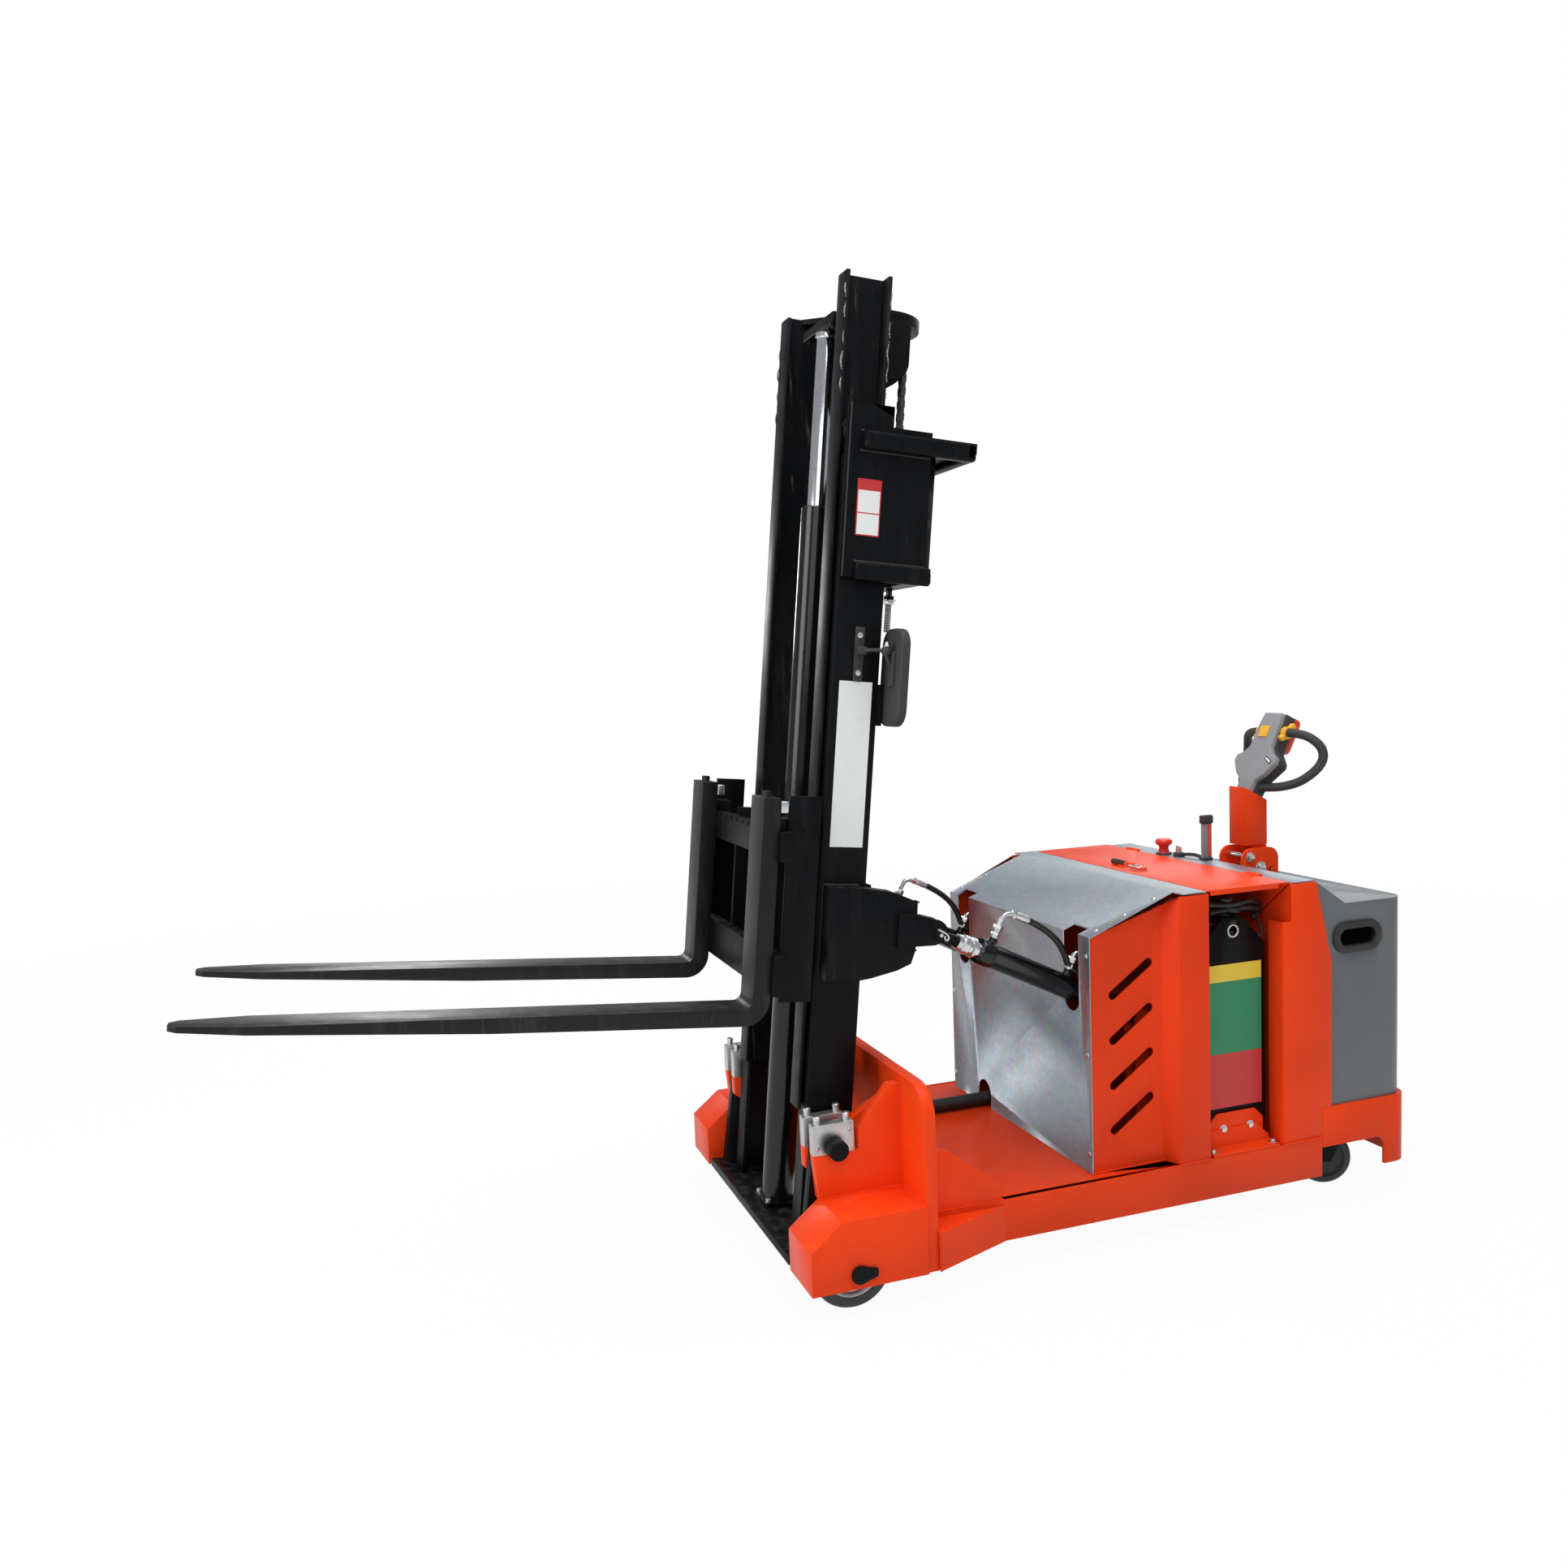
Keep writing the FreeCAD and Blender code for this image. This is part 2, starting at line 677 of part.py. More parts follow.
def rod(radius, start, end):
    way = V(*end) - V(*start)
    return Part.makeCylinder(radius, way.Length, V(*start), way)


def ring(outer, inner, start, end):
    return rod(outer, start, end).cut(rod(inner, start, end))


def oval(x, z, long, high, y0, y1):
    """A flat-sided oval lying along X, through from y0 to y1."""
    r = high / 2.0
    half = long / 2.0 - r
    body = box(x - half, x + half, y0, y1, z - r, z + r)
    return body.fuse([rod(r, (x + s * half, y0, z), (x + s * half, y1, z)) for s in (-1, 1)]).removeSplitter()


def tube(radius, points):
    """Round bar along straight runs joined by tangent arcs."""
    spots = [V(*point) for point in points]
    edges = []
    at = spots[0]
    for before, corner, after in zip(spots, spots[1:], spots[2:]):
        back = before - corner
        ahead = after - corner
        trim = BEND_SHARE * min(back.Length, ahead.Length)
        start = corner + V(back).normalize() * trim
        end = corner + V(ahead).normalize() * trim
        inward = (V(back).normalize() + V(ahead).normalize()).normalize()
        half_turn = (math.pi - back.getAngle(ahead)) / 2.0
        bend = trim / math.tan(half_turn)
        middle = corner + inward * (bend / math.cos(half_turn) - bend)
        edges.append(Part.LineSegment(at, start).toShape())
        edges.append(Part.Arc(start, middle, end).toShape())
        at = end
    edges.append(Part.LineSegment(at, spots[-1]).toShape())
    section = Part.Wire([Part.makeCircle(radius, spots[0], spots[1] - spots[0])])
    return Part.Wire(edges).makePipeShell([section], True, False)


def round_edges(shape, radius, wanted):
    edges = [e for e in shape.Edges if wanted(e)]
    return shape.makeFillet(radius, edges) if edges else shape


def ends(edge):
    return edge.Vertexes[0].Point, edge.Vertexes[-1].Point


def upright(edge):
    a, b = ends(edge)
    return abs(a.x - b.x) < 0.01 and abs(a.y - b.y) < 0.01 and abs(a.z - b.z) > 1.0


def across(edge):
    a, b = ends(edge)
    return abs(a.x - b.x) < 0.01 and abs(a.z - b.z) < 0.01 and abs(a.y - b.y) > 1.0


def lengthwise(edge):
    a, b = ends(edge)
    return abs(a.y - b.y) < 0.01 and abs(a.z - b.z) < 0.01 and abs(a.x - b.x) > 1.0


def rim_of(edge, radius):
    return abs(edge.Length - 2.0 * math.pi * radius) < 0.1


def mirrored(shape):
    return shape.mirror(V(0, 0, 0), Y_AXIS)


def pair(shape):
    return Part.makeCompound([shape, mirrored(shape)])


def fused(shapes):
    return shapes[0].fuse(shapes[1:]).removeSplitter()


def lean(shape):
    """Takes a piece drawn upright about the tilt pin to its place on the leaning mast."""
    placed = shape.copy()
    placed.rotate(V(0, 0, 0), Y_AXIS, -LEAN)
    placed.translate(V(PIVOT_X, 0, PIVOT_Z))
    return placed


def mast_point(u, w):
    return (PIVOT_X + u * LEAN_COS - w * LEAN_SIN, PIVOT_Z + u * LEAN_SIN + w * LEAN_COS)


def save(node, shape):
    placed = shape.copy()
    placed.translate(V(-CENTRE_X, 0, 0))
    placed.exportStep(f"parts/{node}.step")


def chassis_frame():
    """Welded frame: deck, side rails, cross members, wedges, and the wall with its gussets behind the mast."""
    pieces = [box(DECK_REAR, WALL_REAR, -RAIL_IN, RAIL_IN, DECK_LOW, DECK_TOP), mast_wall()]
    for x in (WALL_REAR, WEDGE_REAR, 0.0, BAY_FRONT, REAR_MEMBER_X):
        pieces.append(box(x - PLATE, x, -RAIL_IN, RAIL_IN, CHASSIS_UNDER, DECK_LOW))
    half = [
        box(RAILS_REAR, WALL_REAR, RAIL_IN, CHASSIS_HALF, CHASSIS_UNDER, DECK_TOP),
        wedge(),
        rear_gusset(),
    ]
    return Part.makeCompound(pieces + half + [mirrored(piece) for piece in half])


def mast_wall():
    wall = box(WALL_REAR, WALL_FRONT, -WALL_HALF, WALL_HALF, CHASSIS_UNDER, WALL_TOP)
    return round_edges(wall, WALL_CORNER_R, lambda e: lengthwise(e) and e.Vertexes[0].Point.z > WALL_TOP - 1.0)


def wedge():
    """Slanted side plate and top from the side rail out to the wheel box."""
    run = WALL_REAR - WEDGE_REAR
    rise = BOX_OUTER - CHASSIS_HALF
    slope = math.hypot(run, rise)
    outer = [(WEDGE_REAR, CHASSIS_HALF), (WALL_REAR, BOX_OUTER), (WALL_REAR, CHASSIS_HALF)]
    inner = [(WEDGE_REAR + PLATE * slope / rise, CHASSIS_HALF - PAST),
             (WALL_REAR + PAST, BOX_OUTER - PLATE * slope / run),
             (WALL_REAR + PAST, CHASSIS_HALF - PAST)]
    hollow = plan_plate(inner, CHASSIS_UNDER - PAST, WEDGE_TOP - PLATE)
    return plan_plate(outer, CHASSIS_UNDER, WEDGE_TOP).cut(hollow)


def rear_gusset():
    rear = WALL_REAR - GUSSET_LONG
    outline = [(WALL_REAR, DECK_TOP), (WALL_REAR, GUSSET_TOP), (WALL_REAR - GUSSET_FLAT, GUSSET_TOP),
               (rear, GUSSET_LOW), (rear, DECK_TOP)]
    return side_plate(outline, RAIL_IN, CHASSIS_HALF)


def mast_pedestals():
    """Supports of the four mast bearings, bored for the pins."""
    bore = rod(PIN_R + PIN_FIT, (PIVOT_X, 0, PIVOT_Z), (PIVOT_X, BOX_OUTER, PIVOT_Z))
    half = [plate.cut(bore) for plate in (front_pedestal(), inner_pedestal())]
    return Part.makeCompound(half + [mirrored(plate) for plate in half])


def front_pedestal():
    """Outer support of one mast bearing, from the wall forward to under the bearing cap."""
    outline = [(WALL_FRONT, BOX_TOP), (WALL_FRONT, PEDESTAL_TOP), (WALL_FRONT + PEDESTAL_FLAT, PEDESTAL_TOP),
               (PEDESTAL_SHOULDER_X, PEDESTAL_SHOULDER_Z), (PEDESTAL_SHOULDER_X, CAP_LOW),
               (CAP_FRONT, CAP_LOW),
               (PEDESTAL_TOE_X, BOX_TOP)]
    return side_plate(outline, OUTER_CAP_Y, OUTER_CAP_Y + CAP_THICK)


def inner_pedestal():
    outline = [(WALL_FRONT, INNER_PEDESTAL_LOW), (WALL_FRONT, INNER_PEDESTAL_TOP),
               (PEDESTAL_SHOULDER_X, PEDESTAL_SHOULDER_Z), (PEDESTAL_SHOULDER_X, CAP_LOW),
               (CAP_FRONT, CAP_LOW),
               (CAP_FRONT, INNER_PEDESTAL_TOE_Z)]
    return side_plate(outline, INNER_CAP_Y, INNER_CAP_Y + CAP_THICK)


def tilt_anchors():
    """On each side two lugs on the deck inside the hood, with the pin of the tilt cylinder's rear eye."""
    lugs = []
    for side in (-1, 1):
        near = TILT_Y + side * (TILT_BACK_EYE_HALF + TILT_ANCHOR_GAP)
        far = near + side * TILT_ANCHOR
        lug = box(TILT_BACK_X - TILT_ANCHOR_HALF, TILT_BACK_X + TILT_ANCHOR_HALF, near, far, DECK_TOP,
                  TILT_BACK_Z)
        lugs.append(lug.fuse(rod(TILT_ANCHOR_HALF, (TILT_BACK_X, near, TILT_BACK_Z),
                                 (TILT_BACK_X, far, TILT_BACK_Z))))
    reach = TILT_BACK_EYE_HALF + TILT_ANCHOR_GAP + TILT_ANCHOR
    pin = rod(TILT_PIN_R, (TILT_BACK_X, TILT_Y - reach, TILT_BACK_Z),
              (TILT_BACK_X, TILT_Y + reach, TILT_BACK_Z))
    return pair(fused(lugs + [pin]))


def bearing_caps():
    """Four split caps that hold the two mast pins down, each with two tall screws."""
    caps = []
    for y in (OUTER_CAP_Y, INNER_CAP_Y):
        cap = box(CAP_REAR, CAP_FRONT, y, y + CAP_THICK, CAP_LOW, CAP_HIGH)
        cap = cap.cut(rod(PIN_R + PIN_FIT, (PIVOT_X, y, PIVOT_Z), (PIVOT_X, y + CAP_THICK, PIVOT_Z)))
        mid = y + CAP_THICK / 2.0
        for x in (CAP_REAR + CAP_SCREW_IN, CAP_FRONT - CAP_SCREW_IN):
            cap = cap.fuse(rod(CAP_SCREW_R, (x, mid, CAP_HIGH), (x, mid, CAP_HIGH + CAP_SCREW_HIGH)))
        caps.append(cap)
    return Part.makeCompound(caps + [mirrored(cap) for cap in caps])


def wheel_boxes():
    """Two boxes, open below, that cover the front wheels."""
    t = BOX_WALL
    nose_z = BOX_TOP - BOX_NOSE_HIGH
    nose_x = BOX_FRONT - BOX_NOSE_LONG
    outer = [(BOX_FRONT, CHASSIS_UNDER), (BOX_FRONT, nose_z), (nose_x, BOX_TOP), (WALL_FRONT, BOX_TOP),
             (WALL_FRONT, CHASSIS_UNDER)]
    inner = [(BOX_FRONT - t, CHASSIS_UNDER - PAST), (BOX_FRONT - t, nose_z - 0.5 * t),
             (nose_x - 0.5 * t, BOX_TOP - t),
             (WALL_FRONT + t, BOX_TOP - t), (WALL_FRONT + t, CHASSIS_UNDER - PAST)]
    shell = side_plate(outer, BOX_INNER, BOX_OUTER)
    shell = shell.cut(side_plate(inner, BOX_INNER + t, BOX_OUTER - t))
    bore = rod(AXLE_R + AXLE_FIT, (FRONT_X, BOX_INNER - PAST, FRONT_R), (FRONT_X, BOX_OUTER + PAST, FRONT_R))
    return pair(shell.cut(bore))


def front_axles():
    """Axle of each front wheel with its drop-shaped retainer on the outer wall."""
    outer = BOX_OUTER + KEEPER_THICK
    axle = rod(AXLE_R, (FRONT_X, BOX_INNER - AXLE_TAIL, FRONT_R), (FRONT_X, BOX_OUTER, FRONT_R))
    keeper = rod(KEEPER_R, (FRONT_X, BOX_OUTER, FRONT_R), (FRONT_X, outer, FRONT_R))
    tail = side_plate([(FRONT_X, FRONT_R - KEEPER_R), (FRONT_X - KEEPER_LONG, FRONT_R - KEEPER_END_HALF),
                       (FRONT_X - KEEPER_LONG, FRONT_R + KEEPER_END_HALF), (FRONT_X, FRONT_R + KEEPER_R)],
                      BOX_OUTER, outer)
    return pair(fused([axle, keeper, tail]))


def front_wheel():
    """Bonded tread on a dished core, turning on the axle."""
    bore = AXLE_R + AXLE_FIT
    half = FRONT_WIDE / 2.0
    dish = half - FRONT_DISH
    edge = FRONT_R - TREAD_EDGE
    side = [(bore, half), (FRONT_HUB_R, half), (FRONT_HUB_R, dish), (FRONT_CORE_R - FRONT_DISH, dish),
            (FRONT_CORE_R, half), (edge, half), (FRONT_R, half - TREAD_EDGE)]
    profile = [V(r, 0, z) for r, z in side] + [V(r, 0, -z) for r, z in reversed(side)]
    wheel = face_of(profile).revolve(V(0, 0, 0), Z_AXIS, 360)
    wheel.rotate(V(0, 0, 0), X_AXIS, 90)
    wheel.translate(V(FRONT_X, (BOX_INNER + BOX_OUTER) / 2.0, FRONT_R))
    return wheel


def at_caster(shape, side):
    """Turns a piece drawn about the swivel axis and takes it to the left or right caster."""
    placed = shape.copy()
    placed.rotate(V(0, 0, 0), Z_AXIS, CASTER_TURN)
    placed.translate(V(CASTER_X, side * CASTER_Y, 0))
    return placed


def caster_wheel(side):
    half = CASTER_WIDE / 2.0
    wheel = rod(CASTER_R, (CASTER_TRAIL, -half, CASTER_R), (CASTER_TRAIL, half, CASTER_R))
    wheel = round_edges(wheel, CASTER_TREAD_EDGE, lambda e: rim_of(e, CASTER_R))
    bore = rod(CASTER_AXLE_R + AXLE_FIT, (CASTER_TRAIL, -CASTER_WIDE, CASTER_R),
               (CASTER_TRAIL, CASTER_WIDE, CASTER_R))
    return at_caster(wheel.cut(bore), side)


def caster_fork(side):
    """Swivelling fork under its pad, with the axle through both legs."""
    low = 2.0 * CASTER_R + CASTER_CROWN_GAP
    high = low + CASTER_CROWN
    inner = CASTER_WIDE / 2.0 + CASTER_LEG_GAP
    outer = inner + CASTER_LEG
    front = CASTER_TRAIL + 2.0 * CASTER_AXLE_R
    crown = box(-CASTER_CROWN_REAR, front, -outer, outer, low, high)
    pieces = [crown, rod(CASTER_HUB_R, (0, 0, high), (0, 0, high + CASTER_HUB_HIGH))]
    leg = [(-CASTER_CROWN_REAR, low), (front, low), (front, CASTER_R - CASTER_AXLE_R),
           (CASTER_TRAIL - 2.0 * CASTER_AXLE_R, CASTER_R - CASTER_AXLE_R)]
    for y0, y1 in ((inner, outer), (-outer, -inner)):
        pieces.append(side_plate(leg, y0, y1))
    pieces.append(rod(CASTER_AXLE_R, (CASTER_TRAIL, -outer, CASTER_R), (CASTER_TRAIL, outer, CASTER_R)))
    return at_caster(fused(pieces), side)


def rear_bumper():
    """Band round the rear with a wheel arch on each side, its top plate and the casters' pads."""
    def rear_upright(edge):
        return upright(edge) and edge.Vertexes[0].Point.x < RAILS_REAR - PAST

    solid = box(BUMPER_REAR, RAILS_REAR, -CHASSIS_HALF, CHASSIS_HALF, CHASSIS_UNDER, BUMPER_TOP)
    solid = round_edges(solid, COVER_CORNER, rear_upright)
    room = box(BUMPER_REAR + BUMPER_WALL, RAILS_REAR + PAST, BUMPER_WALL - CHASSIS_HALF,
               CHASSIS_HALF - BUMPER_WALL,
               CHASSIS_UNDER - PAST, BUMPER_TOP - PLATE)
    room = round_edges(room, COVER_CORNER - BUMPER_WALL, rear_upright)
    arch = box(ARCH_REAR, RAILS_REAR + ARCH_R + PAST, -CHASSIS_HALF - PAST, CHASSIS_HALF + PAST,
               CHASSIS_UNDER - PAST, ARCH_TOP)
    arch = round_edges(arch, ARCH_R, lambda e: across(e) and e.Vertexes[0].Point.z > ARCH_TOP - 1.0)
    opening = rod(TABLE_R + TABLE_GAP, (DRIVE_X, 0, BUMPER_TOP - 2.0 * PLATE),
                  (DRIVE_X, 0, BUMPER_TOP + PAST))
    pad_low = 2.0 * CASTER_R + CASTER_CROWN_GAP + CASTER_CROWN + CASTER_HUB_HIGH + CASTER_PAD_GAP
    pads = [box(CASTER_X - CASTER_PAD_HALF, CASTER_X + CASTER_PAD_HALF, side * CASTER_Y - CASTER_PAD_HALF,
                side * CASTER_Y + CASTER_PAD_HALF, pad_low, BUMPER_TOP - PLATE) for side in (-1, 1)]
    return fused([solid.cut([room, arch, opening])] + pads)


def drive_unit():
    """Turntable, gear leg, motor and steering column of the central drive wheel."""
    side = DRIVE_WIDE / 2.0 + DRIVE_SIDE_GAP
    table = rod(TABLE_R, (DRIVE_X, 0, TABLE_LOW), (DRIVE_X, 0, TABLE_TOP))
    leg = box(DRIVE_X - DRIVE_LEG_HALF, DRIVE_X + DRIVE_LEG_HALF, side, side + DRIVE_LEG, CHASSIS_UNDER,
              TABLE_LOW)
    axle = rod(DRIVE_AXLE_R, (DRIVE_X, -DRIVE_WIDE / 2.0, DRIVE_R), (DRIVE_X, side, DRIVE_R))
    motor = rod(MOTOR_R, (DRIVE_X, 0, TABLE_TOP), (DRIVE_X, 0, MOTOR_TOP))
    column = rod(COLUMN_R, (DRIVE_X, 0, MOTOR_TOP), (DRIVE_X, 0, TILLER_BASE_LOW))
    return fused([table, leg, axle, motor, column])


def drive_wheel():
    half = DRIVE_WIDE / 2.0
    wheel = rod(DRIVE_R, (DRIVE_X, -half, DRIVE_R), (DRIVE_X, half, DRIVE_R))
    wheel = round_edges(wheel, TREAD_EDGE, lambda e: rim_of(e, DRIVE_R))
    return wheel.cut(rod(DRIVE_AXLE_R + AXLE_FIT, (DRIVE_X, -DRIVE_WIDE, DRIVE_R),
                         (DRIVE_X, DRIVE_WIDE, DRIVE_R)))


def outer_mast_channels():
    """Two channels open towards the middle, their front flanges cut away for the head rollers."""
    outline = [(OUTER_REAR, OUTER_WEB_Y), (OUTER_FRONT, OUTER_WEB_Y), (OUTER_FRONT, OUTER_FLANGE_IN),
               (OUTER_FRONT - OUTER_FLANGE, OUTER_FLANGE_IN), (OUTER_FRONT - OUTER_FLANGE,
                                                               OUTER_WEB_Y - OUTER_WEB),
               (OUTER_REAR + OUTER_FLANGE, OUTER_WEB_Y - OUTER_WEB),
               (OUTER_REAR + OUTER_FLANGE, OUTER_FLANGE_IN),
               (OUTER_REAR, OUTER_FLANGE_IN)]
    notch = box(OUTER_FRONT - OUTER_FLANGE - PAST, OUTER_FRONT + PAST, OUTER_FLANGE_IN - PAST,
                OUTER_WEB_Y - OUTER_WEB,
                HEAD_NOTCH_LOW, OUTER_TOP + PAST)
    return lean(pair(plan_plate(outline, FOOT_TOP, OUTER_TOP).cut(notch)))


def mast_foot():
    """Foot plate, the two pivot ears that stand on it, and the pins through them."""
    plate = box(OUTER_REAR - FOOT_BACK_LAP, FOOT_FRONT, -FOOT_HALF, FOOT_HALF, FOOT_TOP - FOOT_THICK,
                FOOT_TOP)
    y0 = EAR_Y - EAR_THICK / 2.0
    y1 = EAR_Y + EAR_THICK / 2.0
    ear = side_plate([(-EAR_BASE_HALF, FOOT_TOP), (EAR_BASE_HALF, FOOT_TOP), (EAR_TOP_R, 0.0),
                      (-EAR_TOP_R, 0.0)], y0, y1)
    boss = rod(EAR_TOP_R, (0, y0, 0), (0, y1, 0))
    pin = rod(PIN_R, (0, INNER_CAP_Y - PAST, 0), (0, OUTER_CAP_Y + CAP_THICK + PIN_PROUD, 0))
    half = fused([ear, boss, pin])
    return lean(fused([plate, half, mirrored(half)]))


def outer_mast_ties():
    """Box at the mast's head with its ledge and shelf, and the ties across the back lower down."""
    side_out = OUTER_WEB_Y + TIE_PLATE
    ledge_top = TIE_LEDGE_LOW + TIE_LEDGE
    side = [(TIE_SIDE_REAR, TIE_SIDE_LOW), (TIE_SIDE_FRONT, TIE_SIDE_LOW), (TIE_SIDE_FRONT, OUTER_TOP),
            (TIE_HORN_REAR, OUTER_TOP), (TIE_HORN_REAR, TIE_SIDE_HIGH), (TIE_SIDE_REAR, TIE_SIDE_HIGH)]
    half = [
        side_plate(side, OUTER_WEB_Y, side_out),
        box(TIE_LEDGE_REAR, 0.0, side_out, TIE_LEDGE_HALF, TIE_LEDGE_LOW, ledge_top),
        box(TIE_SHELF_REAR, 0.0, side_out, TIE_SHELF_HALF, TIE_SIDE_LOW, SHELF_TOP),
        chain_rod(),
    ]
    pieces = half + [mirrored(piece) for piece in half] + [
        box(TIE_LEDGE_REAR, TIE_SIDE_REAR, -side_out, side_out, TIE_LEDGE_LOW, ledge_top),
        box(TIE_SIDE_REAR, TIE_CHAIN_FRONT, -OUTER_WEB_Y, OUTER_WEB_Y, TIE_SIDE_LOW, SHELF_TOP),
        box(TIE_SHELF_REAR, TIE_SIDE_REAR, -side_out, side_out, TIE_SIDE_LOW, TIE_LEDGE_LOW),
        box(OUTER_REAR - BACK_TIE, OUTER_REAR, -OUTER_WEB_Y, OUTER_WEB_Y, BRACKET_LOW, BRACKET_HIGH),
        box(OUTER_REAR - BACK_TIE, OUTER_REAR, -OUTER_WEB_Y, OUTER_WEB_Y, BACK_TIE_LOW, BACK_TIE_HIGH),
    ]
    return lean(Part.makeCompound(pieces))


def chain_rod():
    """Threaded end of one chain under the shelf, with its nut."""
    u = SHEAVE_U - SHEAVE_PITCH_R
    nut = TIE_SIDE_LOW - CHAIN_NUT_DROP
    shank = rod(CHAIN_ROD_R, (u, SHEAVE_Y, TIE_SIDE_LOW - CHAIN_ROD_LONG), (u, SHEAVE_Y, TIE_SIDE_LOW))
    return shank.fuse(rod(CHAIN_NUT_R, (u, SHEAVE_Y, nut), (u, SHEAVE_Y, nut + CHAIN_NUT)))


def tilt_brackets():
    """Brackets on the mast's sides with the fork ends that take the tilt rods."""
    outline = [(BRACKET_FRONT, BRACKET_LOW), (BRACKET_FRONT, BRACKET_HIGH), (-64.0, 608.6), (-143.0, 599.0),
               (-206.0, 577.0), (-208.0, 457.0), (-198.0, 424.0), (-163.0, 408.0), (-93.0, 389.0),
               (-62.0, BRACKET_LOW)]
    rear = min(u for u, _ in outline)
    body = side_plate(outline, OUTER_WEB_Y, BRACKET_OUT)
    pocket = box(rear - PAST, BRACKET_POCKET_FRONT, OUTER_WEB_Y + BRACKET_PLATE, BRACKET_OUT - BRACKET_PLATE,
                 BRACKET_LOW - PAST, BRACKET_HIGH + PAST)
    reach = CLEVIS_GAP + CLEVIS_PLATE
    cheek = [(CLEVIS_FRONT, TILT_PIN_W - CLEVIS_HALF), (CLEVIS_FRONT, TILT_PIN_W + CLEVIS_HIGH),
             (TILT_PIN_U + 73.0, TILT_PIN_W + CLEVIS_HIGH),
             (TILT_PIN_U - 2.0, TILT_PIN_W + CLEVIS_HALF), (TILT_PIN_U - 16.0, TILT_PIN_W + 24.0),
             (TILT_PIN_U - 23.0, TILT_PIN_W + 6.0), (TILT_PIN_U - 20.0, TILT_PIN_W - 14.0),
             (TILT_PIN_U + 8.0, TILT_PIN_W - 27.5)]
    cheeks = [side_plate(cheek, TILT_Y + CLEVIS_GAP, TILT_Y + reach),
              side_plate(cheek, TILT_Y - reach, TILT_Y - CLEVIS_GAP)]
    bridge = box(CLEVIS_BRIDGE_REAR, CLEVIS_FRONT, TILT_Y - reach, TILT_Y + reach,
                 TILT_PIN_W - CLEVIS_HALF, TILT_PIN_W + CLEVIS_HALF)
    head = reach + TILT_PIN_HEAD
    pin = rod(TILT_PIN_R, (TILT_PIN_U, TILT_Y - reach, TILT_PIN_W), (TILT_PIN_U, TILT_Y + reach, TILT_PIN_W))
    cap = rod(TILT_PIN_HEAD_R, (TILT_PIN_U, TILT_Y + reach, TILT_PIN_W),
              (TILT_PIN_U, TILT_Y + head, TILT_PIN_W))
    return lean(pair(fused([body.cut(pocket)] + cheeks + [bridge, pin, cap])))


def lift_barrel():
    """Lift cylinder's tube with its foot flange and gland."""
    half = BARREL_FLANGE_HALF
    foot = box(-half, half, -half, half, FOOT_TOP, FOOT_TOP + BARREL_FLANGE)
    barrel = rod(BARREL_R, (0, 0, FOOT_TOP), (0, 0, BARREL_TOP))
    gland = rod(GLAND_R, (0, 0, BARREL_TOP - GLAND_LONG), (0, 0, BARREL_TOP))
    bore = rod(BARREL_BORE, (0, 0, FOOT_TOP + BARREL_END), (0, 0, BARREL_TOP - GLAND_LIP))
    neck = rod(ROD_R + ROD_FIT, (0, 0, BARREL_TOP - GLAND_LIP - PAST), (0, 0, BARREL_TOP + PAST))
    return lean(fused([foot, barrel, gland]).cut([bore, neck]))


def inner_mast_beam():
    """Left beam drawn upright: a web with flanges to both sides."""
    f = INNER_FLANGE
    outline = [(INNER_REAR, INNER_FLANGE_IN), (INNER_REAR, INNER_FLANGE_OUT),
               (INNER_REAR + f, INNER_FLANGE_OUT),
               (INNER_REAR + f, INNER_WEB_OUT), (INNER_FRONT - f, INNER_WEB_OUT),
               (INNER_FRONT - f, INNER_FLANGE_OUT),
               (INNER_FRONT, INNER_FLANGE_OUT), (INNER_FRONT, INNER_FLANGE_IN),
               (INNER_FRONT - f, INNER_FLANGE_IN),
               (INNER_FRONT - f, INNER_WEB_IN), (INNER_REAR + f, INNER_WEB_IN),
               (INNER_REAR + f, INNER_FLANGE_IN)]
    return plan_plate(outline, INNER_BOTTOM, INNER_TOP)


def inner_mast_channels():
    """Both inner beams on the leaning mast."""
    return lean(pair(inner_mast_beam()))


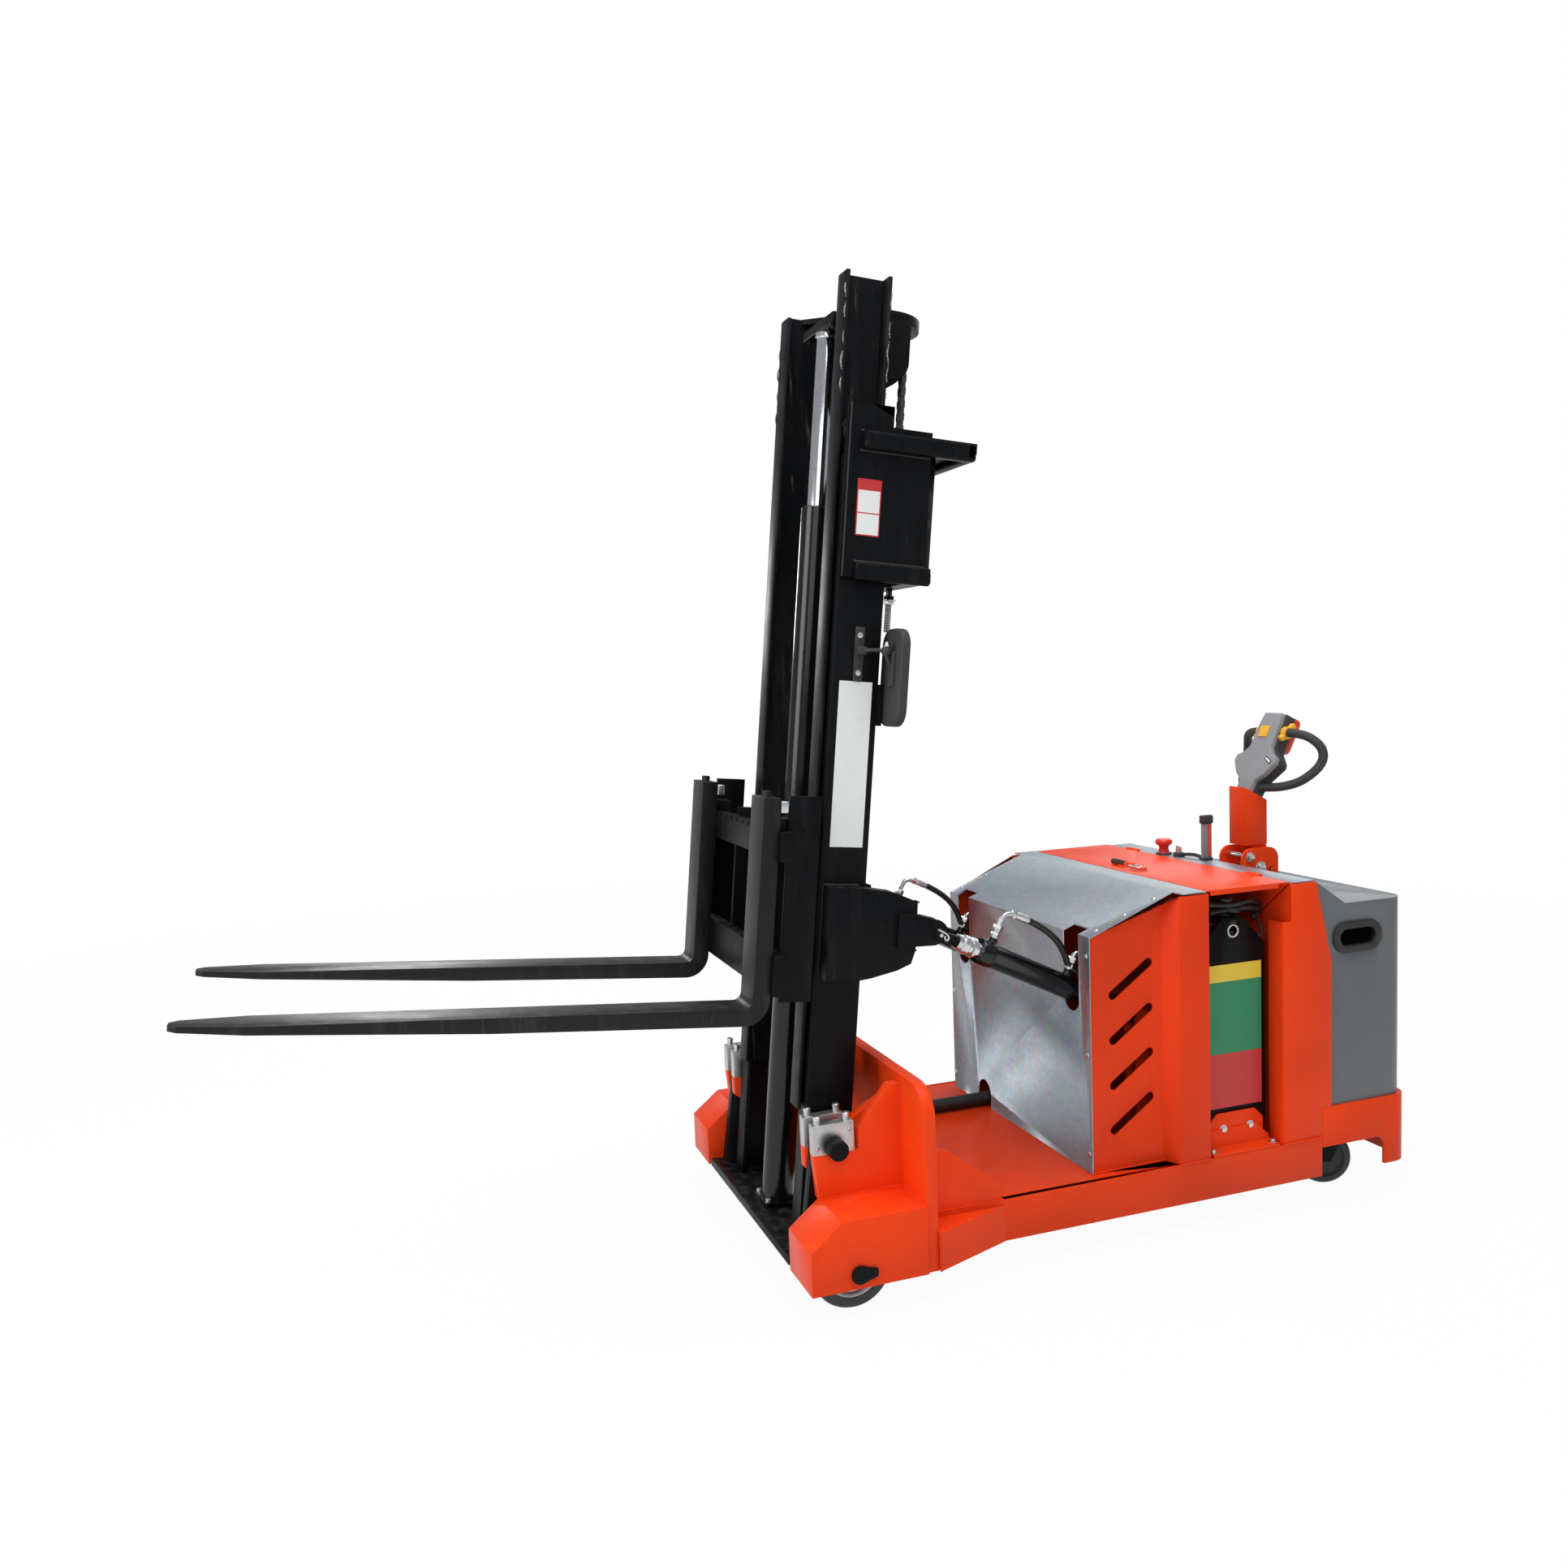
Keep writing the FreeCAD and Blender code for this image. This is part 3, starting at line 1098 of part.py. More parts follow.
def inner_mast_ties():
    """Head plate, round-ended cap plate, guards that carry the sheave axles, and the foot tie."""
    low = INNER_TOP - TOP_PLATE
    beam = inner_mast_beam()
    plate = plan_plate([(TOP_PLATE_FRONT, INNER_WEB_OUT), (INNER_REAR, TOP_PLATE_MOUTH_HALF),
                        (INNER_REAR, -TOP_PLATE_MOUTH_HALF), (TOP_PLATE_FRONT, -INNER_WEB_OUT),
                        (INNER_REAR - TOP_PLATE, -INNER_WEB_OUT), (INNER_REAR - TOP_PLATE, INNER_WEB_OUT)],
                       low, INNER_TOP)
    plate = plate.cut([beam, mirrored(beam)])
    back = box(INNER_REAR - TOP_PLATE, INNER_REAR, -INNER_WEB_OUT, INNER_WEB_OUT, CAP_PLATE_LOW, low)
    cap = box(CAP_PLATE_CENTRE, CAP_PLATE_FRONT, -CAP_PLATE_R, CAP_PLATE_R, CAP_PLATE_LOW, CAP_PLATE_TOP)
    cap = cap.fuse(rod(CAP_PLATE_R, (CAP_PLATE_CENTRE, 0, CAP_PLATE_LOW),
                       (CAP_PLATE_CENTRE, 0, CAP_PLATE_TOP)))
    foot = box(INNER_REAR - OUTER_FLANGE, INNER_REAR, -INNER_TIE_HALF, INNER_TIE_HALF, INNER_BOTTOM,
               INNER_BOTTOM + INNER_TIE_HIGH)
    half = []
    for step in (-1, 1):
        near = SHEAVE_Y + step * GUARD_IN
        half.append(sheave_guard(near, near + step * GUARD_THICK))
    reach = GUARD_IN + GUARD_THICK
    half.append(rod(SHEAVE_AXLE_R, (SHEAVE_U, SHEAVE_Y - reach, SHEAVE_W),
                    (SHEAVE_U, SHEAVE_Y + reach, SHEAVE_W)))
    return lean(fused([plate, back, cap, foot] + half + [mirrored(piece) for piece in half]))


def sheave_guard(y0, y1):
    """Plate beside a sheave, rounded at its lower rear corner."""
    low = SHEAVE_W - GUARD_LOW
    guard = box(GUARD_REAR, INNER_REAR, y0, y1, low, CAP_PLATE_LOW)
    return round_edges(guard, GUARD_CORNER_R, lambda e: across(e) and e.Vertexes[0].Point.z < low + 1.0
                       and e.Vertexes[0].Point.x < GUARD_REAR + 1.0)


def chain_sheaves():
    """Both sheaves: a groove for the chain between two rims, on a bored web."""
    half = CHAIN_WIDE / 2.0
    groove = CHAIN_R_IN - SHEAVE_PLAY
    sheaves = []
    for side in (-1, 1):
        y = side * SHEAVE_Y
        body = rod(groove, (SHEAVE_U, y - half, SHEAVE_W), (SHEAVE_U, y + half, SHEAVE_W))
        for step in (-1, 1):
            inner = y + step * (half + SHEAVE_PLAY)
            outer = inner + step * SHEAVE_RIM_THICK
            rim = rod(SHEAVE_PITCH_R + SHEAVE_RIM, (SHEAVE_U, inner, SHEAVE_W), (SHEAVE_U, outer, SHEAVE_W))
            web = rod(groove - SHEAVE_WEB_IN, (SHEAVE_U, y + step * (half - PAST), SHEAVE_W),
                      (SHEAVE_U, outer, SHEAVE_W))
            body = body.fuse([rim, web])
        bore = rod(SHEAVE_AXLE_R + AXLE_FIT, (SHEAVE_U, y - CHAIN_WIDE, SHEAVE_W),
                   (SHEAVE_U, y + CHAIN_WIDE, SHEAVE_W))
        sheaves.append(body.removeSplitter().cut(bore))
    return lean(Part.makeCompound(sheaves))


def chain_rear_strands():
    """Each chain from its anchor on the shelf up and over its sheave."""
    y0 = SHEAVE_Y - CHAIN_WIDE / 2.0
    y1 = SHEAVE_Y + CHAIN_WIDE / 2.0
    wrap = ring(CHAIN_R_OUT, CHAIN_R_IN, (SHEAVE_U, y0, SHEAVE_W), (SHEAVE_U, y1, SHEAVE_W))
    wrap = wrap.common(box(SHEAVE_U - CHAIN_R_OUT, SHEAVE_U + CHAIN_R_OUT, y0, y1, SHEAVE_W,
                           SHEAVE_W + CHAIN_R_OUT))
    back = box(SHEAVE_U - CHAIN_R_OUT, SHEAVE_U - CHAIN_R_IN, y0, y1, SHELF_TOP, SHEAVE_W)
    return lean(pair(fused([wrap, back])))


def chain_front_strands():
    """The straight run of each chain from its sheave down to the carriage."""
    strand = box(SHEAVE_U + CHAIN_R_IN, SHEAVE_U + CHAIN_R_OUT, SHEAVE_Y - CHAIN_WIDE / 2.0,
                 SHEAVE_Y + CHAIN_WIDE / 2.0,
                 CHAIN_LUG_TOP, SHEAVE_W)
    return lean(pair(strand))


def lift_rod():
    """Chromed rod with the crosshead that pushes the cap plate of the inner mast."""
    low = CROSSHEAD_LOW
    shaft = rod(ROD_R, (0, 0, BARREL_TOP - ROD_INSIDE), (0, 0, low))
    collar = rod(COLLAR_R, (0, 0, low - COLLAR_HIGH), (0, 0, low))
    bar = box(CROSSHEAD_FRONT - CROSSHEAD_THICK, CROSSHEAD_FRONT, -CROSSHEAD_HALF, CROSSHEAD_HALF, low,
              CAP_PLATE_LOW)
    middle = box(CROSSHEAD_MID_REAR, CROSSHEAD_FRONT, -CROSSHEAD_MID_HALF, CROSSHEAD_MID_HALF, low,
                 CAP_PLATE_LOW)
    return lean(fused([shaft, collar, bar, middle]))


def mast_rollers():
    """Rollers at the outer mast's head, each running between the inner beam's flanges."""
    outer = OUTER_WEB_Y - OUTER_WEB
    roller = rod(CHANNEL_ROLLER_R, (CHANNEL_MID, outer - HEAD_ROLLER_WIDE, HEAD_ROLLER_W),
                 (CHANNEL_MID, outer, HEAD_ROLLER_W))
    return lean(pair(roller))


def mirrors():
    """Rear-view mirror on an arm from each side of the mast."""
    mid = (STAY_REAR + STAY_FRONT) / 2.0
    arm_y = OUTER_WEB_Y + MIRROR_ARM_OUT
    shell_mid = MIRROR_REAR + MIRROR_THICK / 2.0
    stay = box(STAY_REAR, STAY_FRONT, OUTER_WEB_Y, OUTER_WEB_Y + STAY, STAY_LOW, STAY_HIGH)
    post = rod(MIRROR_ARM_R, (mid, OUTER_WEB_Y, MIRROR_ARM_W), (mid, arm_y, MIRROR_ARM_W))
    arm = rod(MIRROR_ARM_R, (mid, arm_y, MIRROR_ARM_W), (shell_mid, arm_y + MIRROR_ARM_OUT, MIRROR_ARM_W))
    bend = Part.makeSphere(MIRROR_ARM_R, V(mid, arm_y, MIRROR_ARM_W))
    shell = box(MIRROR_REAR, MIRROR_REAR + MIRROR_THICK, OUTER_WEB_Y + MIRROR_FROM, OUTER_WEB_Y + MIRROR_TO,
                MIRROR_LOW,
                MIRROR_HIGH)
    shell = round_edges(shell, MIRROR_R, lengthwise)
    holder = fused([stay, post, arm, bend]).cut(shell)
    return lean(Part.makeCompound([holder, shell, mirrored(holder), mirrored(shell)]))


def carriage_frame():
    """Fork carriage: two cross bars, side plates, and roller plates that run in the inner mast."""
    bar_back = CARRIAGE_FACE - BAR_THICK
    upper = box(bar_back, CARRIAGE_FACE, -BAR_HALF, BAR_HALF, UPPER_BAR_LOW, UPPER_BAR_HIGH)
    lower = box(bar_back, CARRIAGE_FACE, -BAR_HALF, BAR_HALF, LOWER_BAR_LOW, LOWER_BAR_HIGH)
    half = [carriage_roller_plate(bar_back), carriage_side_plate(), chain_lug(), fork_stop()]
    pieces = [upper.cut(bar_notches(bar_back)), lower]
    return lean(fused(pieces + half + [mirrored(piece) for piece in half]))


def bar_notches(bar_back):
    """Notches along the upper bar's top edge that the fork pins drop into."""
    count = int(2.0 * (BAR_HALF - NOTCH_WIDE) / NOTCH_STEP)
    first = -NOTCH_STEP * (count - 1) / 2.0
    return [box(bar_back - PAST, CARRIAGE_FACE + PAST, first + i * NOTCH_STEP - NOTCH_WIDE / 2.0,
                first + i * NOTCH_STEP + NOTCH_WIDE / 2.0, UPPER_BAR_HIGH - NOTCH_DEEP, UPPER_BAR_HIGH + PAST)
            for i in range(count)]


def carriage_roller_plate(bar_back):
    plate_out = INNER_FLANGE_IN - MAST_GAP
    front = bar_back + PAST
    low = SIDE_PLATE_LOW + ROLLER_PLATE_END
    high = UPPER_BAR_HIGH + ROLLER_PLATE_END
    pieces = [side_plate([(ROLLER_PLATE_REAR, low), (front, low), (front, high), (ROLLER_PLATE_REAR, high)],
                         plate_out - ROLLER_PLATE, plate_out)]
    tread = INNER_WEB_IN - ROLLER_WIDE
    for w in (LOWER_ROLLER_W, UPPER_ROLLER_W):
        pieces.append(rod(CHANNEL_ROLLER_R, (CHANNEL_MID, tread, w),
                          (CHANNEL_MID, INNER_WEB_IN - MAST_GAP, w)))
        pieces.append(rod(ROLLER_HUB_R, (CHANNEL_MID, plate_out - PAST, w), (CHANNEL_MID, tread + PAST, w)))
    return fused(pieces)


def carriage_side_plate():
    return box(SIDE_PLATE_REAR, SIDE_PLATE_FRONT, SIDE_PLATE_Y, SIDE_PLATE_Y + SIDE_PLATE, SIDE_PLATE_LOW,
               SIDE_PLATE_HIGH)


def chain_lug():
    """Lug on the roller plate that the chain's front run ends in."""
    u = SHEAVE_U + SHEAVE_PITCH_R
    return box(u - CHAIN_THICK, u + CHAIN_THICK, SHEAVE_Y - CHAIN_WIDE / 2.0,
               INNER_FLANGE_IN - MAST_GAP - ROLLER_PLATE,
               CHAIN_LUG_TOP - CHAIN_LUG_LONG, CHAIN_LUG_TOP)


def fork_stop():
    return box(STOP_REAR, STOP_FRONT, SIDE_PLATE_Y + SIDE_PLATE, STOP_OUT, STOP_LOW, STOP_HIGH)


def fork():
    """Left fork: hooked shank, rounded heel and a blade that thins towards its tip."""
    back = CARRIAGE_FACE
    front = CARRIAGE_FACE + FORK_THICK
    under = FORK_BLADE_TOP - FORK_THICK
    tip_top = FORK_BLADE_TOP - FORK_TIP_DROP
    y0 = FORK_Y - FORK_WIDE / 2.0
    y1 = FORK_Y + FORK_WIDE / 2.0
    outline = [(back, FORK_SHANK_TOP), (front, FORK_SHANK_TOP), (front, FORK_BLADE_TOP),
               (FORK_TIP_U, tip_top),
               (FORK_TIP_U, tip_top - FORK_TIP_THICK), (FORK_TAPER_START * FORK_TIP_U, under), (back, under)]

    def edge_at(x, z):
        return lambda e: across(e) and abs(e.Vertexes[0].Point.x - x) < 0.1 and abs(e.Vertexes[0].Point.z - z) < 0.1

    blade = round_edges(side_plate(outline, y0, y1), FORK_HEEL_R, edge_at(back, under))
    blade = round_edges(blade, FORK_HEEL_R - FORK_THICK, edge_at(front, FORK_BLADE_TOP))
    blade = blade.cut([fork_tip_corner(y0, -1, tip_top), fork_tip_corner(y1, 1, tip_top)])
    top = UPPER_BAR_HIGH + HOOK_GAP
    bar_back = back - BAR_THICK - HOOK_GAP
    hook = side_plate([(back, top), (back, top + HOOK_HIGH), (bar_back - HOOK_LAP, top + HOOK_HIGH),
                       (bar_back - HOOK_LAP, top - HOOK_DROP), (bar_back, top - HOOK_DROP), (bar_back, top)],
                      FORK_Y - HOOK_HALF, FORK_Y + HOOK_HALF)
    mid = (back + front) / 2.0
    pin = rod(FORK_PIN_R, (mid, FORK_Y, FORK_SHANK_TOP), (mid, FORK_Y, FORK_SHANK_TOP + FORK_PIN_HIGH))
    return fused([blade, hook, pin])


def fork_tip_corner(edge_y, side, tip_top):
    """What the pointed tip leaves off at one edge of the blade."""
    past = FORK_TIP_U + PAST
    start = FORK_TIP_U - FORK_TIP_TAPER
    outline = [(past, edge_y + side), (start, edge_y + side), (start, edge_y),
               (FORK_TIP_U - FORK_TIP_CORNER, edge_y - side * FORK_TIP_IN),
               (past, edge_y - side * FORK_TIP_NOSE_IN)]
    return plan_plate(outline, tip_top - FORK_THICK, FORK_BLADE_TOP + PAST)


def forks():
    return lean(pair(fork()))


def tilt_line():
    """Way of the tilt cylinder from its rear pin to the mast pin, and that distance."""
    px, pz = mast_point(TILT_PIN_U, TILT_PIN_W)
    way = V(px - TILT_BACK_X, 0, pz - TILT_BACK_Z)
    return way, way.Length


def on_tilt_line(shape):
    """Places a piece drawn along +X from the rear pin onto the left tilt cylinder's line."""
    way, _ = tilt_line()
    placed = shape.copy()
    placed.rotate(V(0, 0, 0), Y_AXIS, -math.degrees(math.atan2(way.z, way.x)))
    placed.translate(V(TILT_BACK_X, TILT_Y, TILT_BACK_Z))
    return placed


def tilt_barrel():
    """Tilt cylinder's tube with its rear eye, gland, ports and the hose that runs back along it."""
    _, span = tilt_line()
    end = span - TILT_BARREL_END
    near = TILT_BACK_EYE_R + TILT_COLLAR_R / 2.0
    barrel = rod(TILT_BARREL_R, (near, 0, 0), (end, 0, 0))
    eye = rod(TILT_BACK_EYE_R, (0, -TILT_BACK_EYE_HALF, 0), (0, TILT_BACK_EYE_HALF, 0))
    neck = box(0.0, near + PAST, 2.0 - TILT_BACK_EYE_HALF, TILT_BACK_EYE_HALF - 2.0, -TILT_ROD_R, TILT_ROD_R)
    gland = rod(TILT_GLAND_R, (end - TILT_GLAND_LONG, 0, 0), (end, 0, 0))
    ports = [rod(TILT_PORT_R, (s, 0, TILT_BARREL_BORE + PAST), (s, 0, TILT_PORT_HIGH))
             for s in (TILT_PORT_S, TILT_PORT_REAR_S)]
    body = fused([barrel, eye, neck, gland] + ports + [tilt_hose()])
    bore = rod(TILT_BARREL_BORE, (near + TILT_BARREL_BORE, 0, 0), (end - GLAND_LIP, 0, 0))
    mouth = rod(TILT_ROD_R + ROD_FIT, (end - GLAND_LIP - PAST, 0, 0), (end + PAST, 0, 0))
    hole = rod(TILT_PIN_R + PIN_FIT, (0, -TILT_BACK_EYE_HALF - PAST, 0), (0, TILT_BACK_EYE_HALF + PAST, 0))
    return on_tilt_line(body.cut([bore, mouth, hole]))


def tilt_hose():
    """Elbow on the front port and its hose, whose route is along the cylinder and above it."""
    elbow = rod(TILT_ELBOW_R, (TILT_PORT_S, 0, TILT_PORT_HIGH - PAST), (TILT_PORT_S, 0, 100.0))
    route = [(497.0, 0, 96.0), (470.0, 0, 108.0), (430.0, 0, 114.0), (372.0, 0, 111.0), (312.0, 0, 101.0),
             (253.0, 0, 80.0), (205.0, 0, 52.0), (175.0, 0, 40.0)]
    return elbow.fuse(tube(TILT_HOSE_R, route))


def tilt_rod():
    """Chromed rod with its collar, neck and the eye on the mast bracket's pin."""
    _, span = tilt_line()
    half = CLEVIS_GAP - CLEVIS_SIDE_GAP
    shaft = rod(TILT_ROD_R, (span - TILT_BARREL_END - TILT_ROD_INSIDE, 0, 0), (span - TILT_COLLAR_FAR, 0, 0))
    collar = rod(TILT_COLLAR_R, (span - TILT_COLLAR_FAR, 0, 0), (span - TILT_COLLAR_NEAR, 0, 0))
    neck = rod(TILT_NECK_R, (span - TILT_COLLAR_NEAR, 0, 0), (span - TILT_EYE_R / 2.0, 0, 0))
    eye = rod(TILT_EYE_R, (span, -half, 0), (span, half, 0))
    neck = neck.common(box(0.0, span, -half, half, -TILT_EYE_R, TILT_EYE_R))
    hole = rod(TILT_PIN_R + TILT_EYE_PLAY, (span, -TILT_EYE_R, 0), (span, TILT_EYE_R, 0))
    return on_tilt_line(fused([shaft, collar, neck, eye]).cut(hole))


def hood_front_sheet():
    """Galvanised sheet that is the hood's front, slope and front strip, with the tilt slots and the hose arch."""
    t = HOOD_SHEET
    outline = [(0, DECK_TOP), (0, HOOD_FRONT_TOP), (HOOD_SLOPE_REAR, HOOD_TOP),
               (HOOD_SLOPE_REAR, HOOD_TOP - t),
               (-t, HOOD_FRONT_TOP - t), (-t, DECK_TOP)]
    sheet = side_plate(outline, -HOOD_HALF - t, HOOD_HALF + t)
    strip = box(HOOD_FLAT_REAR, HOOD_SLOPE_REAR, -CHASSIS_HALF, CHASSIS_HALF, HOOD_TOP - t, HOOD_TOP)
    half = TILT_BARREL_R + SLOT_GAP
    cuts = []
    for side in (-1, 1):
        y = side * TILT_Y
        cuts.append(box(-SLOT_BACK, PAST, y - half, y + half, SLOT_LOW + half, HOOD_TOP))
        cuts.append(rod(half, (-SLOT_BACK, y, SLOT_LOW + half), (PAST, y, SLOT_LOW + half)))
    r = HOSE_HOLE_HALF
    cuts.append(box(-SLOT_BACK, PAST, HOSE_HOLE_Y - r, HOSE_HOLE_Y + r, DECK_TOP - PAST, HOSE_HOLE_TOP - r))
    cuts.append(rod(r, (-SLOT_BACK, HOSE_HOLE_Y, HOSE_HOLE_TOP - r), (PAST, HOSE_HOLE_Y, HOSE_HOLE_TOP - r)))
    return sheet.fuse(strip).removeSplitter().cut(cuts)


def hood_side():
    """Left side panel: slotted, stepped out to the front pillar of the battery bay."""
    t = SIDE_SHEET
    pillar = CHASSIS_HALF - PILLAR_DEEP
    outline = [(-HOOD_SHEET, HOOD_HALF), (JOGGLE_FRONT, HOOD_HALF), (JOGGLE_REAR, CHASSIS_HALF),
               (BAY_FRONT, CHASSIS_HALF), (BAY_FRONT, pillar), (BAY_FRONT + t, pillar),
               (BAY_FRONT + t, CHASSIS_HALF - t), (JOGGLE_REAR + 0.5 * t, CHASSIS_HALF - t),
               (JOGGLE_FRONT + 0.5 * t, HOOD_HALF - t), (-HOOD_SHEET, HOOD_HALF - t)]
    panel = plan_plate(outline, DECK_TOP, POST_TOP)
    drop = HOOD_SHEET + SEAM
    slope = side_plate([(PAST, HOOD_FRONT_TOP - drop), (-HOOD_SHEET, HOOD_FRONT_TOP - drop),
                        (HOOD_SLOPE_REAR, HOOD_TOP - drop), (HOOD_SLOPE_REAR, HOOD_TOP + PAST),
                        (PAST, HOOD_TOP + PAST)], 0.0, CHASSIS_HALF + PAST)
    return panel.cut([slope] + [louvre(i) for i in range(LOUVRE_COUNT)])


def louvre(index):
    """One slanted vent slot with round ends."""
    r = LOUVRE_WIDE / 2.0
    z = LOUVRE_BASE_Z + index * LOUVRE_STEP
    y0 = HOOD_HALF - SIDE_SHEET - PAST
    y1 = HOOD_HALF + PAST
    run = LOUVRE_HIGH_X - LOUVRE_LOW_X
    slope = math.degrees(math.atan2(LOUVRE_RISE, -run))
    long = math.hypot(run, LOUVRE_RISE) + LOUVRE_WIDE
    slot = oval(0.0, 0.0, long, 2.0 * r, y0, y1)
    slot.rotate(V(0, 0, 0), Y_AXIS, slope)
    slot.translate(V(LOUVRE_LOW_X + run / 2.0, 0, z + LOUVRE_RISE / 2.0))
    return slot


def hood_sides():
    return pair(hood_side())


def bay_frame():
    """Rear posts of the battery bay, its two cross walls and the plates that hold the battery in."""
    post = side_plate([(POST_FRONT, DECK_TOP), (POST_FRONT, POST_NOTCH_Z), (REAR_BULKHEAD_X, POST_NOTCH_Z),
                       (REAR_BULKHEAD_X, POST_TOP), (POST_REAR_TOP, POST_TOP), (POST_REAR, POST_KINK_Z),
                       (POST_REAR, BUMPER_TOP), (RAILS_REAR, BUMPER_TOP), (RAILS_REAR, DECK_TOP)],
                      RAIL_IN, CHASSIS_HALF)
    flange = box(POST_FRONT - POST_FLANGE_THICK, POST_FRONT, CHASSIS_HALF - POST_FLANGE, RAIL_IN, DECK_TOP,
                 POST_NOTCH_Z)
    rear_wall = box(REAR_BULKHEAD_X - BULKHEAD, REAR_BULKHEAD_X, -RAIL_IN, RAIL_IN, DECK_TOP, POST_TOP)
    front_half = CHASSIS_HALF - PILLAR_DEEP
    front_wall = box(BAY_FRONT, BAY_FRONT + BULKHEAD, -front_half, front_half, DECK_TOP, POST_TOP)
    tabs = [box(REAR_BULKHEAD_X, POST_FRONT - POST_FLANGE_THICK, side * RAIL_IN,
                side * (CHASSIS_HALF - POST_FLANGE),
                DECK_TOP, DECK_TOP + PLATE) for side in (-1, 1)]
    half = [post, flange, retainer()]
    return Part.makeCompound(half + [mirrored(piece) for piece in half] + [rear_wall, front_wall] + tabs)


def retainer():
    """Angle plate beside the battery's foot, its upper rear corner cut off."""
    inner = BATTERY_HALF + LIFT_PLATE + RETAINER_GAP
    front = BATTERY_FRONT
    plate = side_plate([(front, DECK_TOP), (front, RETAINER_TOP),
                        (BATTERY_REAR + RETAINER_CHAMFER, RETAINER_TOP),
                        (BATTERY_REAR, RETAINER_LOW), (BATTERY_REAR, DECK_TOP)], inner, inner + RETAINER)
    foot = box(BATTERY_REAR, front, inner, CHASSIS_HALF, DECK_TOP, DECK_TOP + RETAINER)
    return fused([plate, foot])


def battery_pack():
    pack = box(BATTERY_REAR, BATTERY_FRONT, -BATTERY_HALF, BATTERY_HALF, DECK_TOP, BATTERY_TOP)
    return round_edges(pack, BATTERY_EDGE_R, upright)


def battery_lifting_plates():
    """End plates of the battery's trough, with the lifting eyes."""
    half = LIFT_PLATE_WIDE / 2.0
    low = RETAINER_TOP + RETAINER_GAP
    face = BATTERY_HALF + LIFT_PLATE
    outline = [(BATTERY_FRONT, low), (BATTERY_FRONT, BATTERY_TOP), (BATTERY_MID + half, LIFT_PLATE_TOP),
               (BATTERY_MID - half, LIFT_PLATE_TOP), (BATTERY_REAR, BATTERY_TOP), (BATTERY_REAR, low)]
    plate = side_plate(outline, BATTERY_HALF, face)
    rim = rod(LIFT_EYE_R + LIFT_EYE_RIM, (BATTERY_MID, face, LIFT_EYE_Z),
              (BATTERY_MID, face + LIFT_EYE_PROUD, LIFT_EYE_Z))
    hole = rod(LIFT_EYE_R, (BATTERY_MID, BATTERY_HALF - PAST, LIFT_EYE_Z),
               (BATTERY_MID, face + LIFT_EYE_PROUD + PAST, LIFT_EYE_Z))
    return pair(fused([plate, rim]).cut(hole))


def battery_leads():
    """Bundle of battery leads folded on top of the cells."""
    half = LEADS_LONG / 2.0
    bundle = box(BATTERY_MID - half, BATTERY_MID + half, -LEADS_HALF, LEADS_HALF, BATTERY_TOP, LEADS_TOP)
    return round_edges(bundle, LEADS_R, lambda e: across(e) and e.Vertexes[0].Point.z > LEADS_TOP - 1.0)


def hood_lid():
    """Top lid over the battery bay, hinged along its rear edge, with its latch bar."""
    front = HOOD_FLAT_REAR - LID_FRONT_GAP
    low = HOOD_TOP - LID_SHEET
    pieces = [box(LID_REAR, front, -LID_HALF, LID_HALF, low, HOOD_TOP)]
    for side in (-1, 1):
        pieces.append(box(POST_FRONT + LID_LIP_GAP, BAY_FRONT - LID_LIP_GAP,
                          side * (LID_HALF - LID_LIP_THICK),
                          side * LID_HALF, low - LID_LIP, low))
        y = side * HINGE_Y
        knuckle_z = HOOD_TOP - PAST
        pieces.append(rod(HINGE_R, (HINGE_X, y - HINGE_HALF, knuckle_z),
                          (HINGE_X, y + HINGE_HALF, knuckle_z)))
        pieces.append(box(HINGE_X, LID_REAR + HINGE_LEAF, y - HINGE_HALF, y + HINGE_HALF, low, HOOD_TOP))
    return fused(pieces + lid_latch())


def lid_latch():
    z = HOOD_TOP
    return [
        rod(LATCH_R, (LATCH_X, LATCH_BAR_FROM, z + LATCH_R), (LATCH_X, LATCH_BAR_TO, z + LATCH_R)),
        box(LATCH_X - LATCH_FOOT_HALF, LATCH_X + LATCH_FOOT_HALF, LATCH_FOOT_FROM, LATCH_FOOT_TO, z,
            z + LATCH_R),
        box(LATCH_X - LATCH_BASE_HALF, LATCH_X + LATCH_BASE_HALF, LATCH_BAR_FROM / 2.0, LATCH_FOOT_FROM, z,
            z + LATCH_BASE_HIGH),
    ]


def control_console():
    """Sheet behind the lid that carries the controls."""
    t = COVER_SHEET
    half = COVER_HALF - CONSOLE_DROP_IN
    top = box(POST_REAR_TOP, CONSOLE_FRONT, -COVER_HALF, COVER_HALF, CONSOLE_TOP - t, CONSOLE_TOP)
    drop = box(CONSOLE_FRONT - CONSOLE_DROP_IN - t, CONSOLE_FRONT - CONSOLE_DROP_IN, -half, half,
               CONSOLE_TOP - t - CONSOLE_DROP_IN, CONSOLE_TOP - t)
    return fused([top, drop])


